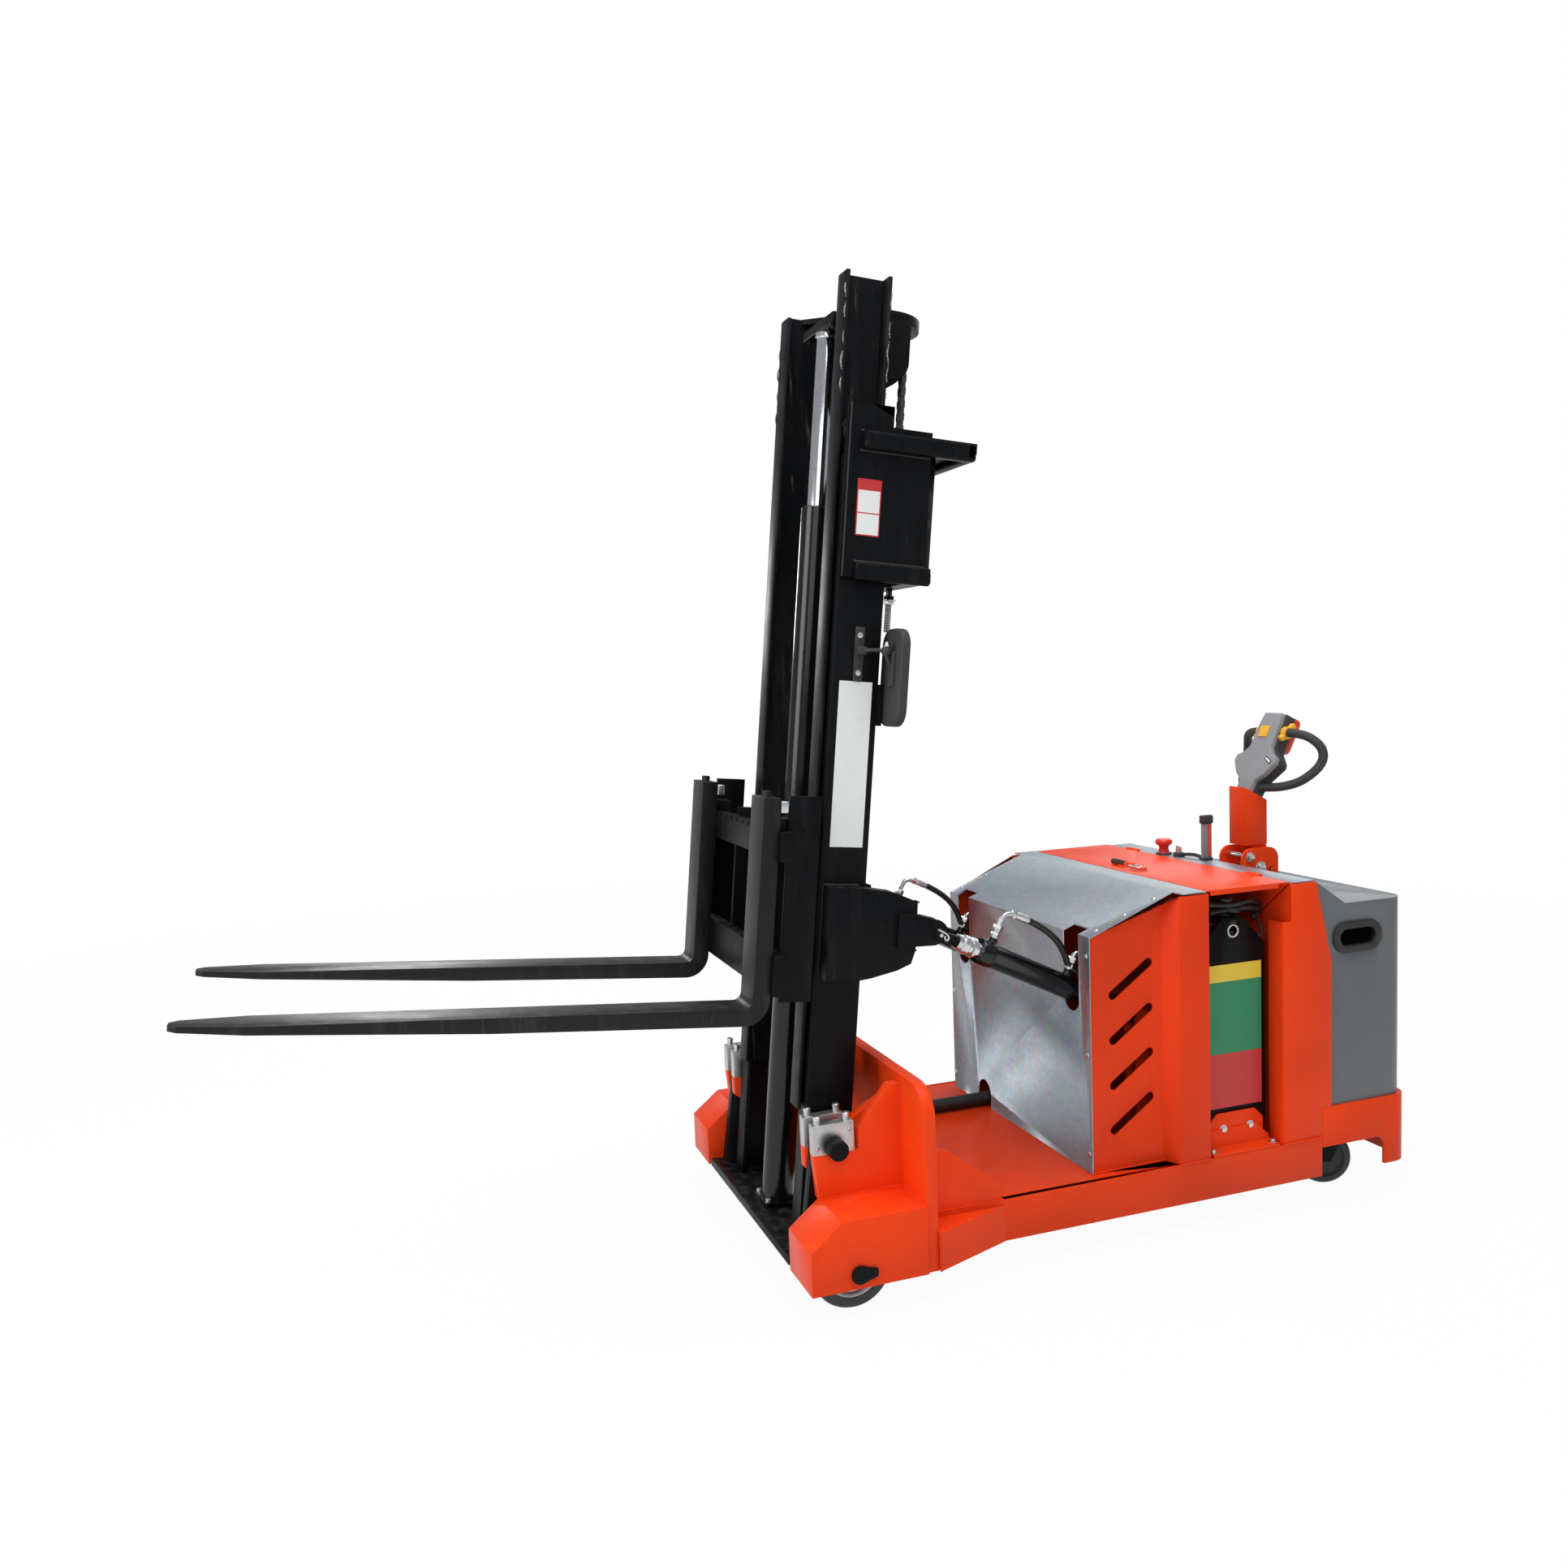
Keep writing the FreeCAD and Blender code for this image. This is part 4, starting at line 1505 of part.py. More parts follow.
def console_controls():
    """Stop button, key switch and lift lever on the console."""
    z = CONSOLE_TOP
    stop = fused([rod(STOP_NECK_R, (STOP_X, STOP_Y, z), (STOP_X, STOP_Y, z + STOP_NECK)),
                  rod(STOP_CAP_R, (STOP_X, STOP_Y, z + STOP_NECK),
                      (STOP_X, STOP_Y, z + STOP_NECK + STOP_CAP))])
    stop = round_edges(stop, STOP_CAP / 3.0, lambda e: rim_of(e, STOP_CAP_R))
    bow = KEY_R * 0.9
    key = fused([rod(KEY_R, (KEY_X, KEY_Y, z), (KEY_X, KEY_Y, z + KEY_COLLAR)),
                 box(KEY_X - 2.0, KEY_X + 2.0, KEY_Y - bow, KEY_Y + bow, z + KEY_COLLAR,
                     z + KEY_COLLAR + KEY_BOW)])
    half = LEVER_WIDE / 2.0
    thick = LEVER_THICK / 2.0
    top = z + LEVER_HIGH
    lap = LEVER_CAP_LAP
    stem = box(LEVER_X - half, LEVER_X + half - lap, LEVER_Y - thick, LEVER_Y + thick, z, top)
    cap = box(LEVER_X - half - lap, LEVER_X + half, LEVER_Y - thick - lap, LEVER_Y + thick + lap, top - lap,
              top + LEVER_CAP)
    cap = round_edges(cap, lap, upright)
    return Part.makeCompound([stop, key, fused([stem, cap])])


def rear_cover():
    """Grey sheet cover over the drive, with a sloped step down behind the console."""
    t = COVER_SHEET
    slant = 0.4 * t
    front = POST_REAR - SHEET_GAP
    top_front = POST_REAR_TOP - SHEET_GAP
    outline = [(front, BUMPER_TOP), (front, POST_KINK_Z), (top_front, POST_TOP),
               (COVER_SLOPE_REAR, COVER_TOP),
               (COVER_REAR, COVER_TOP), (COVER_REAR, BUMPER_TOP)]

    def rear_upright(edge):
        return upright(edge) and edge.Vertexes[0].Point.x < COVER_REAR + t + 1.0

    solid = round_edges(side_plate(outline, -COVER_HALF, COVER_HALF), COVER_CORNER, rear_upright)
    mouth = POST_REAR + COVER_MOUTH
    room = side_plate([(mouth, BUMPER_TOP - PAST), (mouth, POST_TOP - t), (top_front - slant, POST_TOP - t),
                       (COVER_SLOPE_REAR - slant, COVER_TOP - t), (COVER_REAR + t, COVER_TOP - t),
                       (COVER_REAR + t, BUMPER_TOP - PAST)], t - COVER_HALF, COVER_HALF - t)
    room = round_edges(room, COVER_CORNER - t, rear_upright)
    well = rod(TILLER_BASE_R + TILLER_WELL_GAP, (DRIVE_X, 0, COVER_TOP - 2.0 * t),
               (DRIVE_X, 0, POST_TOP + PAST))
    hole = oval(GROMMET_X, GROMMET_Z, GROMMET_LONG - 2.0 * GROMMET_LAP, GROMMET_HIGH - 2.0 * GROMMET_LAP,
                -COVER_HALF - PAST, COVER_HALF + PAST)
    return solid.cut([room, well, hole])


def cover_grommets():
    """Rubber rims of the two side openings."""
    lap = 2.0 * (GROMMET_LAP + GROMMET_FIT)
    face = COVER_HALF + GROMMET_PROUD
    rim = oval(GROMMET_X, GROMMET_Z, GROMMET_LONG, GROMMET_HIGH, COVER_HALF, face)
    rim = rim.fuse(oval(GROMMET_X, GROMMET_Z, GROMMET_LONG - lap, GROMMET_HIGH - lap,
                        COVER_HALF - GROMMET_DEEP,
                        COVER_HALF))
    hole = oval(GROMMET_X, GROMMET_Z, GROMMET_HOLE_LONG, GROMMET_HOLE_HIGH,
                COVER_HALF - GROMMET_DEEP - PAST, face + PAST)
    return pair(rim.removeSplitter().cut(hole))


def counterweight():
    front = REAR_BULKHEAD_X - BULKHEAD - WEIGHT_FRONT_GAP
    return box(DECK_REAR, front, -WEIGHT_HALF, WEIGHT_HALF, DECK_TOP, POST_TOP - WEIGHT_TOP_GAP)


def deck_hose():
    """Sleeved hoses lying on the deck from the hood to the wall behind the mast."""
    z = DECK_TOP + HOSE_R + HOSE_LIFT
    return rod(HOSE_R, (-HOSE_INSIDE, HOSE_HOLE_Y, z), (WALL_REAR, HOSE_HOLE_Y, z))


def tiller_base():
    """Turning base with two ears that carry the tiller's pin, the gas spring's pin and the upright stop."""
    top = TILLER_BASE_LOW + TILLER_BASE
    plate = rod(TILLER_BASE_R, (DRIVE_X, 0, TILLER_BASE_LOW), (DRIVE_X, 0, top))
    ears = []
    for side in (-1, 1):
        ear = box(DRIVE_X - TILLER_EAR_HALF, DRIVE_X + TILLER_EAR_HALF, side * TILLER_EAR_Y,
                  side * (TILLER_EAR_Y + TILLER_EAR), top - PAST, TILLER_EAR_TOP)
        ears.append(round_edges(ear, TILLER_EAR_CORNER, lambda e: across(e) and e.Vertexes[0].Point.z > top))
    reach = TILLER_EAR_Y + TILLER_EAR + TILLER_PIN_PROUD
    pin = rod(TILLER_PIN_R, (TILLER_PIN_X, -reach, TILLER_PIN_Z), (TILLER_PIN_X, reach, TILLER_PIN_Z))
    spring = rod(SPRING_PIN_R, (SPRING_PIN_X, -reach, SPRING_PIN_Z), (SPRING_PIN_X, reach, SPRING_PIN_Z))
    stop = rod(TILLER_STOP_R, (TILLER_STOP_X, -reach, TILLER_STOP_Z), (TILLER_STOP_X, reach, TILLER_STOP_Z))
    return fused([plate] + ears + [pin, spring, stop])


def tiller_arm():
    """Square tube that folds back about the base's pin on two cheeks."""
    w = ARM_WALL
    over = ARM_TOP_FRONT + PAST
    arm = side_plate([(ARM_FRONT, ARM_LOW), (ARM_FRONT, ARM_TOP_FRONT), (ARM_REAR, ARM_TOP_REAR),
                      (ARM_REAR, ARM_LOW)],
                     -ARM_HALF, ARM_HALF)
    arm = arm.cut(box(ARM_REAR + w, ARM_FRONT - w, w - ARM_HALF, ARM_HALF - w, ARM_LOW - PAST, over))
    pieces = [arm]
    lap = ARM_LOW + ARM_CHEEK_LAP
    r = ARM_CHEEK_R
    cheek = [(ARM_REAR + w, lap), (ARM_FRONT - 4.0 * w, lap), (TILLER_PIN_X + r, TILLER_PIN_Z),
             (TILLER_PIN_X - r, TILLER_PIN_Z)]
    for side in (-1, 1):
        outer = side * (ARM_HALF - w)
        inner = side * (ARM_HALF - w - ARM_CHEEK)
        pieces.append(side_plate(cheek, outer, inner))
        pieces.append(rod(r, (TILLER_PIN_X, outer, TILLER_PIN_Z), (TILLER_PIN_X, inner, TILLER_PIN_Z)))
    hole = rod(TILLER_PIN_R + PIN_FIT, (TILLER_PIN_X, -ARM_HALF - PAST, TILLER_PIN_Z),
               (TILLER_PIN_X, ARM_HALF + PAST, TILLER_PIN_Z))
    return fused(pieces).cut(hole)


def on_head(shape):
    """Places a piece drawn upright at the head's base onto the leaning tiller head."""
    placed = shape.copy()
    placed.rotate(V(0, 0, 0), Y_AXIS, -HEAD_LEAN)
    placed.translate(V(HEAD_BASE_X, 0, HEAD_BASE_Z))
    return placed


def tiller_head():
    """Faceted control head with its shoulders, the button behind its top and the thumb wheels beside it."""
    half = [(ARM_HALF - ARM_WALL, 0.0), (ARM_HALF - ARM_WALL, HEAD_SEAT), (34.0, 40.0), (88.0, 98.0),
            (84.0, 116.0), (44.0, 146.0), (42.0, 222.0), (34.0, 262.0)]
    outline = half + [(-y, z) for y, z in reversed(half)]
    body = front_plate(outline, -HEAD_BACK, HEAD_FACE)
    button = box(-HEAD_BACK - BUTTON_DEEP, -HEAD_BACK, -BUTTON_HALF, BUTTON_HALF, BUTTON_LOW, BUTTON_HIGH)
    button = round_edges(button, BUTTON_R, lambda e: across(e) and e.Vertexes[0].Point.x < -HEAD_BACK - PAST)
    thumb = THUMB_FROM + THUMB_WIDE
    wheel = rod(THUMB_R, (THUMB_X, -thumb, THUMB_Z), (THUMB_X, thumb, THUMB_Z))
    return on_head(fused([body, button, wheel]))


def tiller_grips():
    """Loop handle on each side of the head, its two ends cut to the head's side."""
    route = [(-6.0, 56.0, 204.0), (-10.0, 126.0, 198.0), (-70.0, 156.0, 174.0), (-56.0, 134.0, 92.0),
             (-28.0, 86.0, 50.0), (-6.0, 34.5, 36.0)]
    return pair(on_head(tube(GRIP_R, route)).cut(tiller_head()))


SINGLE = {
    "chassis_frame": chassis_frame,
    "mast_pedestals": mast_pedestals,
    "tilt_anchors": tilt_anchors,
    "wheel_boxes": wheel_boxes,
    "bearing_caps": bearing_caps,
    "front_axles": front_axles,
    "hood_front_sheet": hood_front_sheet,
    "hood_sides": hood_sides,
    "bay_frame": bay_frame,
    "battery_pack": battery_pack,
    "battery_lifting_plates": battery_lifting_plates,
    "battery_leads": battery_leads,
    "rear_bumper": rear_bumper,
    "rear_cover": rear_cover,
    "cover_grommets": cover_grommets,
    "control_console": control_console,
    "console_controls": console_controls,
    "counterweight": counterweight,
    "deck_hose": deck_hose,
    "hood_lid": hood_lid,
    "outer_mast_channels": outer_mast_channels,
    "outer_mast_ties": outer_mast_ties,
    "mast_foot": mast_foot,
    "mast_rollers": mast_rollers,
    "tilt_brackets": tilt_brackets,
    "mirrors": mirrors,
    "lift_barrel": lift_barrel,
    "inner_mast_channels": inner_mast_channels,
    "inner_mast_ties": inner_mast_ties,
    "chain_sheaves": chain_sheaves,
    "chain_rear_strands": chain_rear_strands,
    "lift_rod": lift_rod,
    "carriage_frame": carriage_frame,
    "forks": forks,
    "chain_front_strands": chain_front_strands,
    "drive_unit": drive_unit,
    "drive_wheel": drive_wheel,
    "tiller_base": tiller_base,
    "tiller_arm": tiller_arm,
    "tiller_head": tiller_head,
    "tiller_grips": tiller_grips,
}

MIRRORED = {
    "tilt_barrel": tilt_barrel,
    "tilt_rod": tilt_rod,
    "front_wheel": front_wheel,
}

CASTERS = {
    "caster_fork": caster_fork,
    "caster_wheel": caster_wheel,
}


def main():
    os.makedirs("parts", exist_ok=True)
    for node, make in SINGLE.items():
        save(node, make())
    for name, make in MIRRORED.items():
        shape = make()
        save(f"{name}_left", shape)
        save(f"{name}_right", mirrored(shape))
    for name, make in CASTERS.items():
        save(f"{name}_left", make(1))
        save(f"{name}_right", make(-1))


main()
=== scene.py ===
"""Dresses the counterbalanced pallet stacker: its finishes, fine parts, studio and camera."""
import json
import logging
import math
from dataclasses import dataclass
from enum import Enum
from typing import Any, Callable, Sequence, Union

import bmesh
import bpy
from mathutils import Matrix, Vector


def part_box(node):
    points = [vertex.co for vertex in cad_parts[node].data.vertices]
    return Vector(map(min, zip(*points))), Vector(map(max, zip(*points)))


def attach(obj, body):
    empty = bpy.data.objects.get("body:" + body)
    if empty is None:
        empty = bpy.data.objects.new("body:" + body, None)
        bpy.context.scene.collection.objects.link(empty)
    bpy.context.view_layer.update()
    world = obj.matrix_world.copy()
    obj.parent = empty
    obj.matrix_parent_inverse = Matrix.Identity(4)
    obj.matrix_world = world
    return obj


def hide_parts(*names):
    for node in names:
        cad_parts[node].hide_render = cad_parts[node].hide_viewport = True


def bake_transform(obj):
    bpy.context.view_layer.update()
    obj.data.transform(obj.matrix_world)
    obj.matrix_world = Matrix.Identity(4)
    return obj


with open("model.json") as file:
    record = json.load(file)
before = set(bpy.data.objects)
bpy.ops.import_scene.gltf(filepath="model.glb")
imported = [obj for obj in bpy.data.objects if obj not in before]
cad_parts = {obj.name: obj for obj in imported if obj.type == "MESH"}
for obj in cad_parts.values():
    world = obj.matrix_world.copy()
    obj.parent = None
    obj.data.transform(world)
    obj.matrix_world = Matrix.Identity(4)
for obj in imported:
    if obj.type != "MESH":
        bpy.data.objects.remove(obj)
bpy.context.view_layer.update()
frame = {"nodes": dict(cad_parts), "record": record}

LOG = logging.getLogger("stacker")
Point = Sequence[float]
Number = Union[float, "Signal"]

MM = 0.001
# The photograph's side in pixels, and the camera's sensor in millimetres.
IMAGE_SIDE = 1932.0
SENSOR = 36.0
# How far the mast leans back, in degrees.
LEAN = 5.842
# In a CAD mesh, corners closer than this, in metres, are one; faces within this angle are flat, and edges at
# more than this angle are rounded, both in degrees.
MERGED_WITHIN = 1e-6
FLAT_WITHIN = 0.4
ROUNDED_FROM = 28.0


class Side(Enum):
    """A side of the machine. Its value is the sign of Y there."""

    LEFT = 1
    RIGHT = -1

    @property
    def word(self) -> str:
        """The side as it is written in the names of nodes, bodies and pieces."""
        return self.name.lower()


class Signal:
    """A shader socket on which Python's operators add Math nodes."""

    def __init__(self, graph: "Graph", socket: bpy.types.NodeSocket) -> None:
        """Keeps the graph and the socket that carries the value."""
        self.graph = graph
        self.socket = socket

    def _math(self, operation: str, first: Number, second: Number = 0.0) -> "Signal":
        """Adds one Math node.

        Args:
            operation: the Math node's operation.
            first: its first value.
            second: its second value.

        Returns:
            The node's result.
        """
        return self.graph.signal("ShaderNodeMath", {"operation": operation}, {0: first, 1: second})

    def __add__(self, other: Number) -> "Signal":
        """Sum."""
        return self._math("ADD", self, other)

    def __radd__(self, other: Number) -> "Signal":
        """Reflected sum."""
        return self._math("ADD", other, self)

    def __sub__(self, other: Number) -> "Signal":
        """Difference."""
        return self._math("SUBTRACT", self, other)

    def __rsub__(self, other: Number) -> "Signal":
        """Reflected difference."""
        return self._math("SUBTRACT", other, self)

    def __mul__(self, other: Number) -> "Signal":
        """Product."""
        return self._math("MULTIPLY", self, other)

    def __rmul__(self, other: Number) -> "Signal":
        """Reflected product."""
        return self._math("MULTIPLY", other, self)

    def sine(self) -> "Signal":
        """Sine of the value in radians."""
        return self._math("SINE", self)

    def at_least(self, other: Number) -> "Signal":
        """The larger of two values."""
        return self._math("MAXIMUM", self, other)

    def spread(self, low: float, high: float) -> "Signal":
        """The value taken from low..high to 0..1 and held there."""
        return self.graph.signal("ShaderNodeMapRange", {"clamp": True, "interpolation_type": "SMOOTHSTEP"},
                                 {0: self, 1: low, 2: high, 3: 0.0, 4: 1.0})


class Graph:
    """The node tree of one material or world."""

    def __init__(self, tree: bpy.types.NodeTree) -> None:
        """Empties the tree."""
        self.tree = tree
        tree.nodes.clear()

    def node(self, kind: str, settings: dict[str, Any], inputs: dict[Any, Any]) -> bpy.types.Node:
        """Adds a node.

        Args:
            kind: the node's type.
            settings: its properties, set first.
            inputs: values, signals or sockets by input name or number.

        Returns:
            The new node.
        """
        made = self.tree.nodes.new(kind)
        for name, value in settings.items():
            setattr(made, name, value)
        for key, value in inputs.items():
            if isinstance(value, Signal):
                value = value.socket
            if isinstance(value, bpy.types.NodeSocket):
                self.tree.links.new(value, made.inputs[key])
            else:
                made.inputs[key].default_value = value
        return made

    def signal(self, kind: str, settings: dict[str, Any], inputs: dict[Any, Any], output: int = 0) -> Signal:
        """Adds a node and gives one of its outputs.

        Args:
            kind: the node's type.
            settings: its properties.
            inputs: its inputs, as in node.
            output: number of the output.

        Returns:
            The output as a signal.
        """
        return Signal(self, self.node(kind, settings, inputs).outputs[output])

    def place(self, scale: Point = (1.0, 1.0, 1.0), turn: Point = (0.0, 0.0, 0.0)) -> bpy.types.NodeSocket:
        """Object coordinates, scaled and turned for a pattern."""
        here = self.node("ShaderNodeTexCoord", {}, {})
        node = self.node("ShaderNodeMapping", {"vector_type": "POINT"},
                         {"Vector": here.outputs["Object"], "Rotation": turn, "Scale": scale})
        return node.outputs[0]

    def noise(self, size: float, detail: float = 3.0, roughness: float = 0.5,
              stretch: Point = (1.0, 1.0, 1.0), turn: Point = (0.0, 0.0, 0.0)) -> Signal:
        """Noise whose spots are about the given size.

        Args:
            size: spot size in metres.
            detail: octaves.
            roughness: weight of the finer octaves.
            stretch: how much finer it is along each axis.
            turn: turn of the pattern, in radians.

        Returns:
            Value from 0 to 1.
        """
        scale = [s / size for s in stretch]
        return self.signal("ShaderNodeTexNoise", {}, {"Vector": self.place(scale, turn), "Scale": 1.0,
                                                      "Detail": detail, "Roughness": roughness})

    def cells(self, size: float) -> bpy.types.Node:
        """Cell pattern whose cells are about the given size in metres."""
        return self.node("ShaderNodeTexVoronoi", {}, {"Vector": self.place([1.0 / size] * 3), "Scale": 1.0})

    def height(self) -> Signal:
        """Height above the floor in metres."""
        return self.signal("ShaderNodeSeparateXYZ", {}, {0: self.place()}, 2)

    def facing_up(self) -> Signal:
        """1 on faces that look up, 0 on walls."""
        shape = self.node("ShaderNodeNewGeometry", {}, {})
        return self.signal("ShaderNodeSeparateXYZ", {}, {0: shape.outputs["Normal"]}, 2)

    def mixed(self, mask: Number, first: Any, second: Any) -> bpy.types.NodeSocket:
        """Colour between two colours by a mask."""
        node = self.node("ShaderNodeMix", {"data_type": "RGBA"}, {0: mask, 6: first, 7: second})
        return node.outputs[2]

    def bump(self, height: Number, depth: float, strength: float = 1.0) -> bpy.types.NodeSocket:
        """Bumped normal from a height signal.

        Args:
            height: the signal.
            depth: metres from low to high.
            strength: how much of it shows.

        Returns:
            The normal socket.
        """
        return self.node("ShaderNodeBump", {}, {"Height": height, "Distance": depth,
                                                "Strength": strength}).outputs[0]

    def surface(self, inputs: dict[str, Any]) -> None:
        """Ends the material in a Principled shader."""
        shader = self.node("ShaderNodeBsdfPrincipled", {}, inputs)
        self.node("ShaderNodeOutputMaterial", {}, {0: shader.outputs[0]})


def rgba(colour: Point) -> tuple[float, float, float, float]:
    """A colour with full alpha."""
    return (colour[0], colour[1], colour[2], 1.0)


def darker(colour: Point, share: float) -> tuple[float, float, float, float]:
    """A colour scaled by a share, with full alpha."""
    return rgba([c * share for c in colour])


WHITE = rgba((1.0, 1.0, 1.0))


@dataclass(frozen=True)
class Finish:
    """Base of the finishes: each makes its material once."""

    name: str

    def material(self) -> bpy.types.Material:
        """Returns the material, made on first use."""
        found = bpy.data.materials.get(self.name)
        if found:
            return found
        made = bpy.data.materials.new(self.name)
        made.use_nodes = True
        self.build(Graph(made.node_tree))
        return made

    def build(self, graph: Graph) -> None:
        """Builds the node tree."""
        raise NotImplementedError


@dataclass(frozen=True)
class GlossPaint(Finish):
    """Sprayed gloss paint with faint orange peel, dust on tops and scuffs."""

    colour: Point
    rough: float = 0.30
    peel: float = 0.00012
    dust: float = 0.10
    dust_colour: Point = (0.55, 0.50, 0.45)
    coat: float = 0.0
    specular: float = 0.12

    def build(self, graph: Graph) -> None:
        """Builds colour clouds, dust on tops, scuffs, painted shade towards the floor, and peel."""
        cloud = graph.noise(0.35, 2.0).spread(0.3, 0.7)
        base = graph.mixed(cloud, darker(self.colour, 0.90), darker(self.colour, 1.06))
        grime = graph.noise(0.045, 6.0, 0.7).spread(0.52, 0.80) * graph.facing_up().spread(0.5, 0.95)
        base = graph.mixed(grime * self.dust, base, rgba(self.dust_colour))
        scuff = graph.noise(0.012, 8.0, 0.75, (1.0, 1.0, 0.25)).spread(0.66, 0.74)
        base = graph.mixed(scuff * 0.22, base, darker(self.colour, 0.45))
        # Painted shade: the colour darkens towards the floor, below about 0.22 m.
        low = 1.0 - graph.height().spread(0.05, 0.22)
        base = graph.mixed(low * 0.25, base, darker(self.colour, 0.55))
        rough = self.rough + 0.10 * graph.noise(0.03, 4.0) + grime * 0.2 + scuff * 0.2
        normal = graph.bump(graph.noise(0.004, 2.0), self.peel)
        graph.surface({"Base Color": base, "Roughness": rough, "Coat Weight": self.coat,
                       "Coat Roughness": 0.12,
                       "Specular IOR Level": self.specular, "Normal": normal})


@dataclass(frozen=True)
class BlackPaint(Finish):
    """Semi-gloss black on steel, with smears of grease and rubbed runs."""

    colour: Point = (0.0035, 0.0040, 0.0048)
    rough: float = 0.36
    grease: float = 0.25
    smear_colour: Point = (0.030, 0.030, 0.031)
    rub: float = 0.0
    specular: float = 0.11
    lean: float = 5.84

    def build(self, graph: Graph) -> None:
        """Builds long smears along the mast, fine scratches and a soft bump."""
        lean = (0.0, math.radians(self.lean), 0.0)
        smear = graph.noise(0.05, 5.0, 0.65, (1.0, 1.0, 0.12), lean).spread(0.50, 0.75)
        fine = graph.noise(0.010, 6.0, 0.7, (1.0, 1.0, 0.25), lean).spread(0.55, 0.75)
        base = graph.mixed(smear * self.grease, rgba(self.colour), rgba(self.smear_colour))
        base = graph.mixed(fine * 0.18, base, darker(self.smear_colour, 1.3))
        rubbed = graph.noise(0.020, 8.0, 0.75, (1.0, 1.0, 0.08), lean).spread(0.60, 0.68)
        base = graph.mixed(rubbed * self.rub, base, rgba((0.22, 0.21, 0.20)))
        dusty = graph.facing_up().spread(0.6, 1.0) * graph.noise(0.03, 5.0).spread(0.4, 0.7)
        base = graph.mixed(dusty * 0.10, base, rgba((0.30, 0.28, 0.25)))
        rough = self.rough + 0.16 * graph.noise(0.06, 4.0) - smear * (0.12 * self.grease)
        normal = graph.bump(graph.noise(0.006, 3.0), 0.00015)
        graph.surface({"Base Color": base, "Roughness": rough, "Specular IOR Level": self.specular,
                       "Normal": normal})


@dataclass(frozen=True)
class Galvanised(Finish):
    """Zinc-coated sheet: bluish, faintly spangled, with rolling marks."""

    colour: Point = (0.33, 0.37, 0.41)
    rough: float = 0.34

    def build(self, graph: Graph) -> None:
        """Builds spangle, rolled streaks and soft blotches."""
        spangle = graph.cells(0.012)
        tint = graph.mixed(0.10, rgba(self.colour), spangle.outputs["Color"])
        blotch = graph.noise(0.18, 3.0).spread(0.3, 0.7)
        base = graph.mixed(blotch * 0.30, tint, darker(self.colour, 0.80))
        roll = graph.noise(0.02, 4.0, 0.6, (1.0, 0.06, 1.0))
        rough = self.rough + 0.14 * roll + blotch * 0.06
        normal = graph.bump(graph.noise(0.30, 2.0), 0.0016, 0.5)
        graph.surface({"Base Color": base, "Metallic": 0.75, "Roughness": rough, "Normal": normal})


@dataclass(frozen=True)
class Metal(Finish):
    """Bare machined, plated or chromed metal."""

    colour: Point = (0.62, 0.63, 0.64)
    rough: float = 0.22
    marks: float = 0.10
    grain: float = 0.004

    def build(self, graph: Graph) -> None:
        """Builds tool marks and slight tarnish."""
        tarnish = graph.noise(0.02, 5.0).spread(0.45, 0.75)
        base = graph.mixed(tarnish * 0.35, rgba(self.colour), darker(self.colour, 0.62))
        rough = self.rough + self.marks * graph.noise(self.grain, 3.0)
        normal = graph.bump(graph.noise(self.grain, 2.0), 0.00005)
        graph.surface({"Base Color": base, "Metallic": 1.0, "Roughness": rough, "Normal": normal})


@dataclass(frozen=True)
class Moulded(Finish):
    """Moulded plastic or rubber with fine texture."""

    colour: Point = (0.02, 0.02, 0.021)
    rough: float = 0.5
    grain: float = 0.0016
    depth: float = 0.00015
    wear: float = 0.12

    def build(self, graph: Graph) -> None:
        """Builds fine pitting and a dusty variation."""
        patch = graph.noise(0.025, 5.0).spread(0.45, 0.75)
        base = graph.mixed(patch * self.wear, rgba(self.colour), rgba([c * 0.6 + 0.12 for c in self.colour]))
        rough = self.rough + 0.12 * graph.noise(0.01, 3.0)
        normal = graph.bump(graph.noise(self.grain, 2.0), self.depth)
        graph.surface({"Base Color": base, "Roughness": rough, "Normal": normal})


@dataclass(frozen=True)
class Ribbed(Finish):
    """Corrugated sleeve whose ribs follow each other along X."""

    colour: Point = (0.012, 0.012, 0.013)
    pitch: float = 0.007

    def build(self, graph: Graph) -> None:
        """Builds the ribs and a dusty variation."""
        along = graph.signal("ShaderNodeSeparateXYZ", {}, {0: graph.place()})
        ribs = ((along * (2.0 * math.pi / self.pitch)).sine() + 1.0) * 0.5
        dust = graph.noise(0.03, 4.0).spread(0.4, 0.7)
        base = graph.mixed(ribs * 0.35 * dust, rgba(self.colour), rgba((0.09, 0.088, 0.085)))
        normal = graph.bump(ribs, 0.0016)
        graph.surface({"Base Color": base, "Roughness": 0.42 + 0.1 * dust, "Normal": normal})


@dataclass(frozen=True)
class Label(Finish):
    """Printed film, left blank, with faint wrinkles."""

    colour: Point = (0.80, 0.81, 0.80)
    rough: float = 0.34

    def build(self, graph: Graph) -> None:
        """Builds faint soiling and a wrinkle bump."""
        soil = graph.noise(0.03, 5.0).spread(0.5, 0.8)
        base = graph.mixed(soil * 0.16, rgba(self.colour), darker(self.colour, 0.6))
        rough = self.rough + 0.12 * graph.noise(0.02, 3.0)
        normal = graph.bump(graph.noise(0.018, 2.0), 0.0003, 0.5)
        graph.surface({"Base Color": base, "Roughness": rough, "Normal": normal})


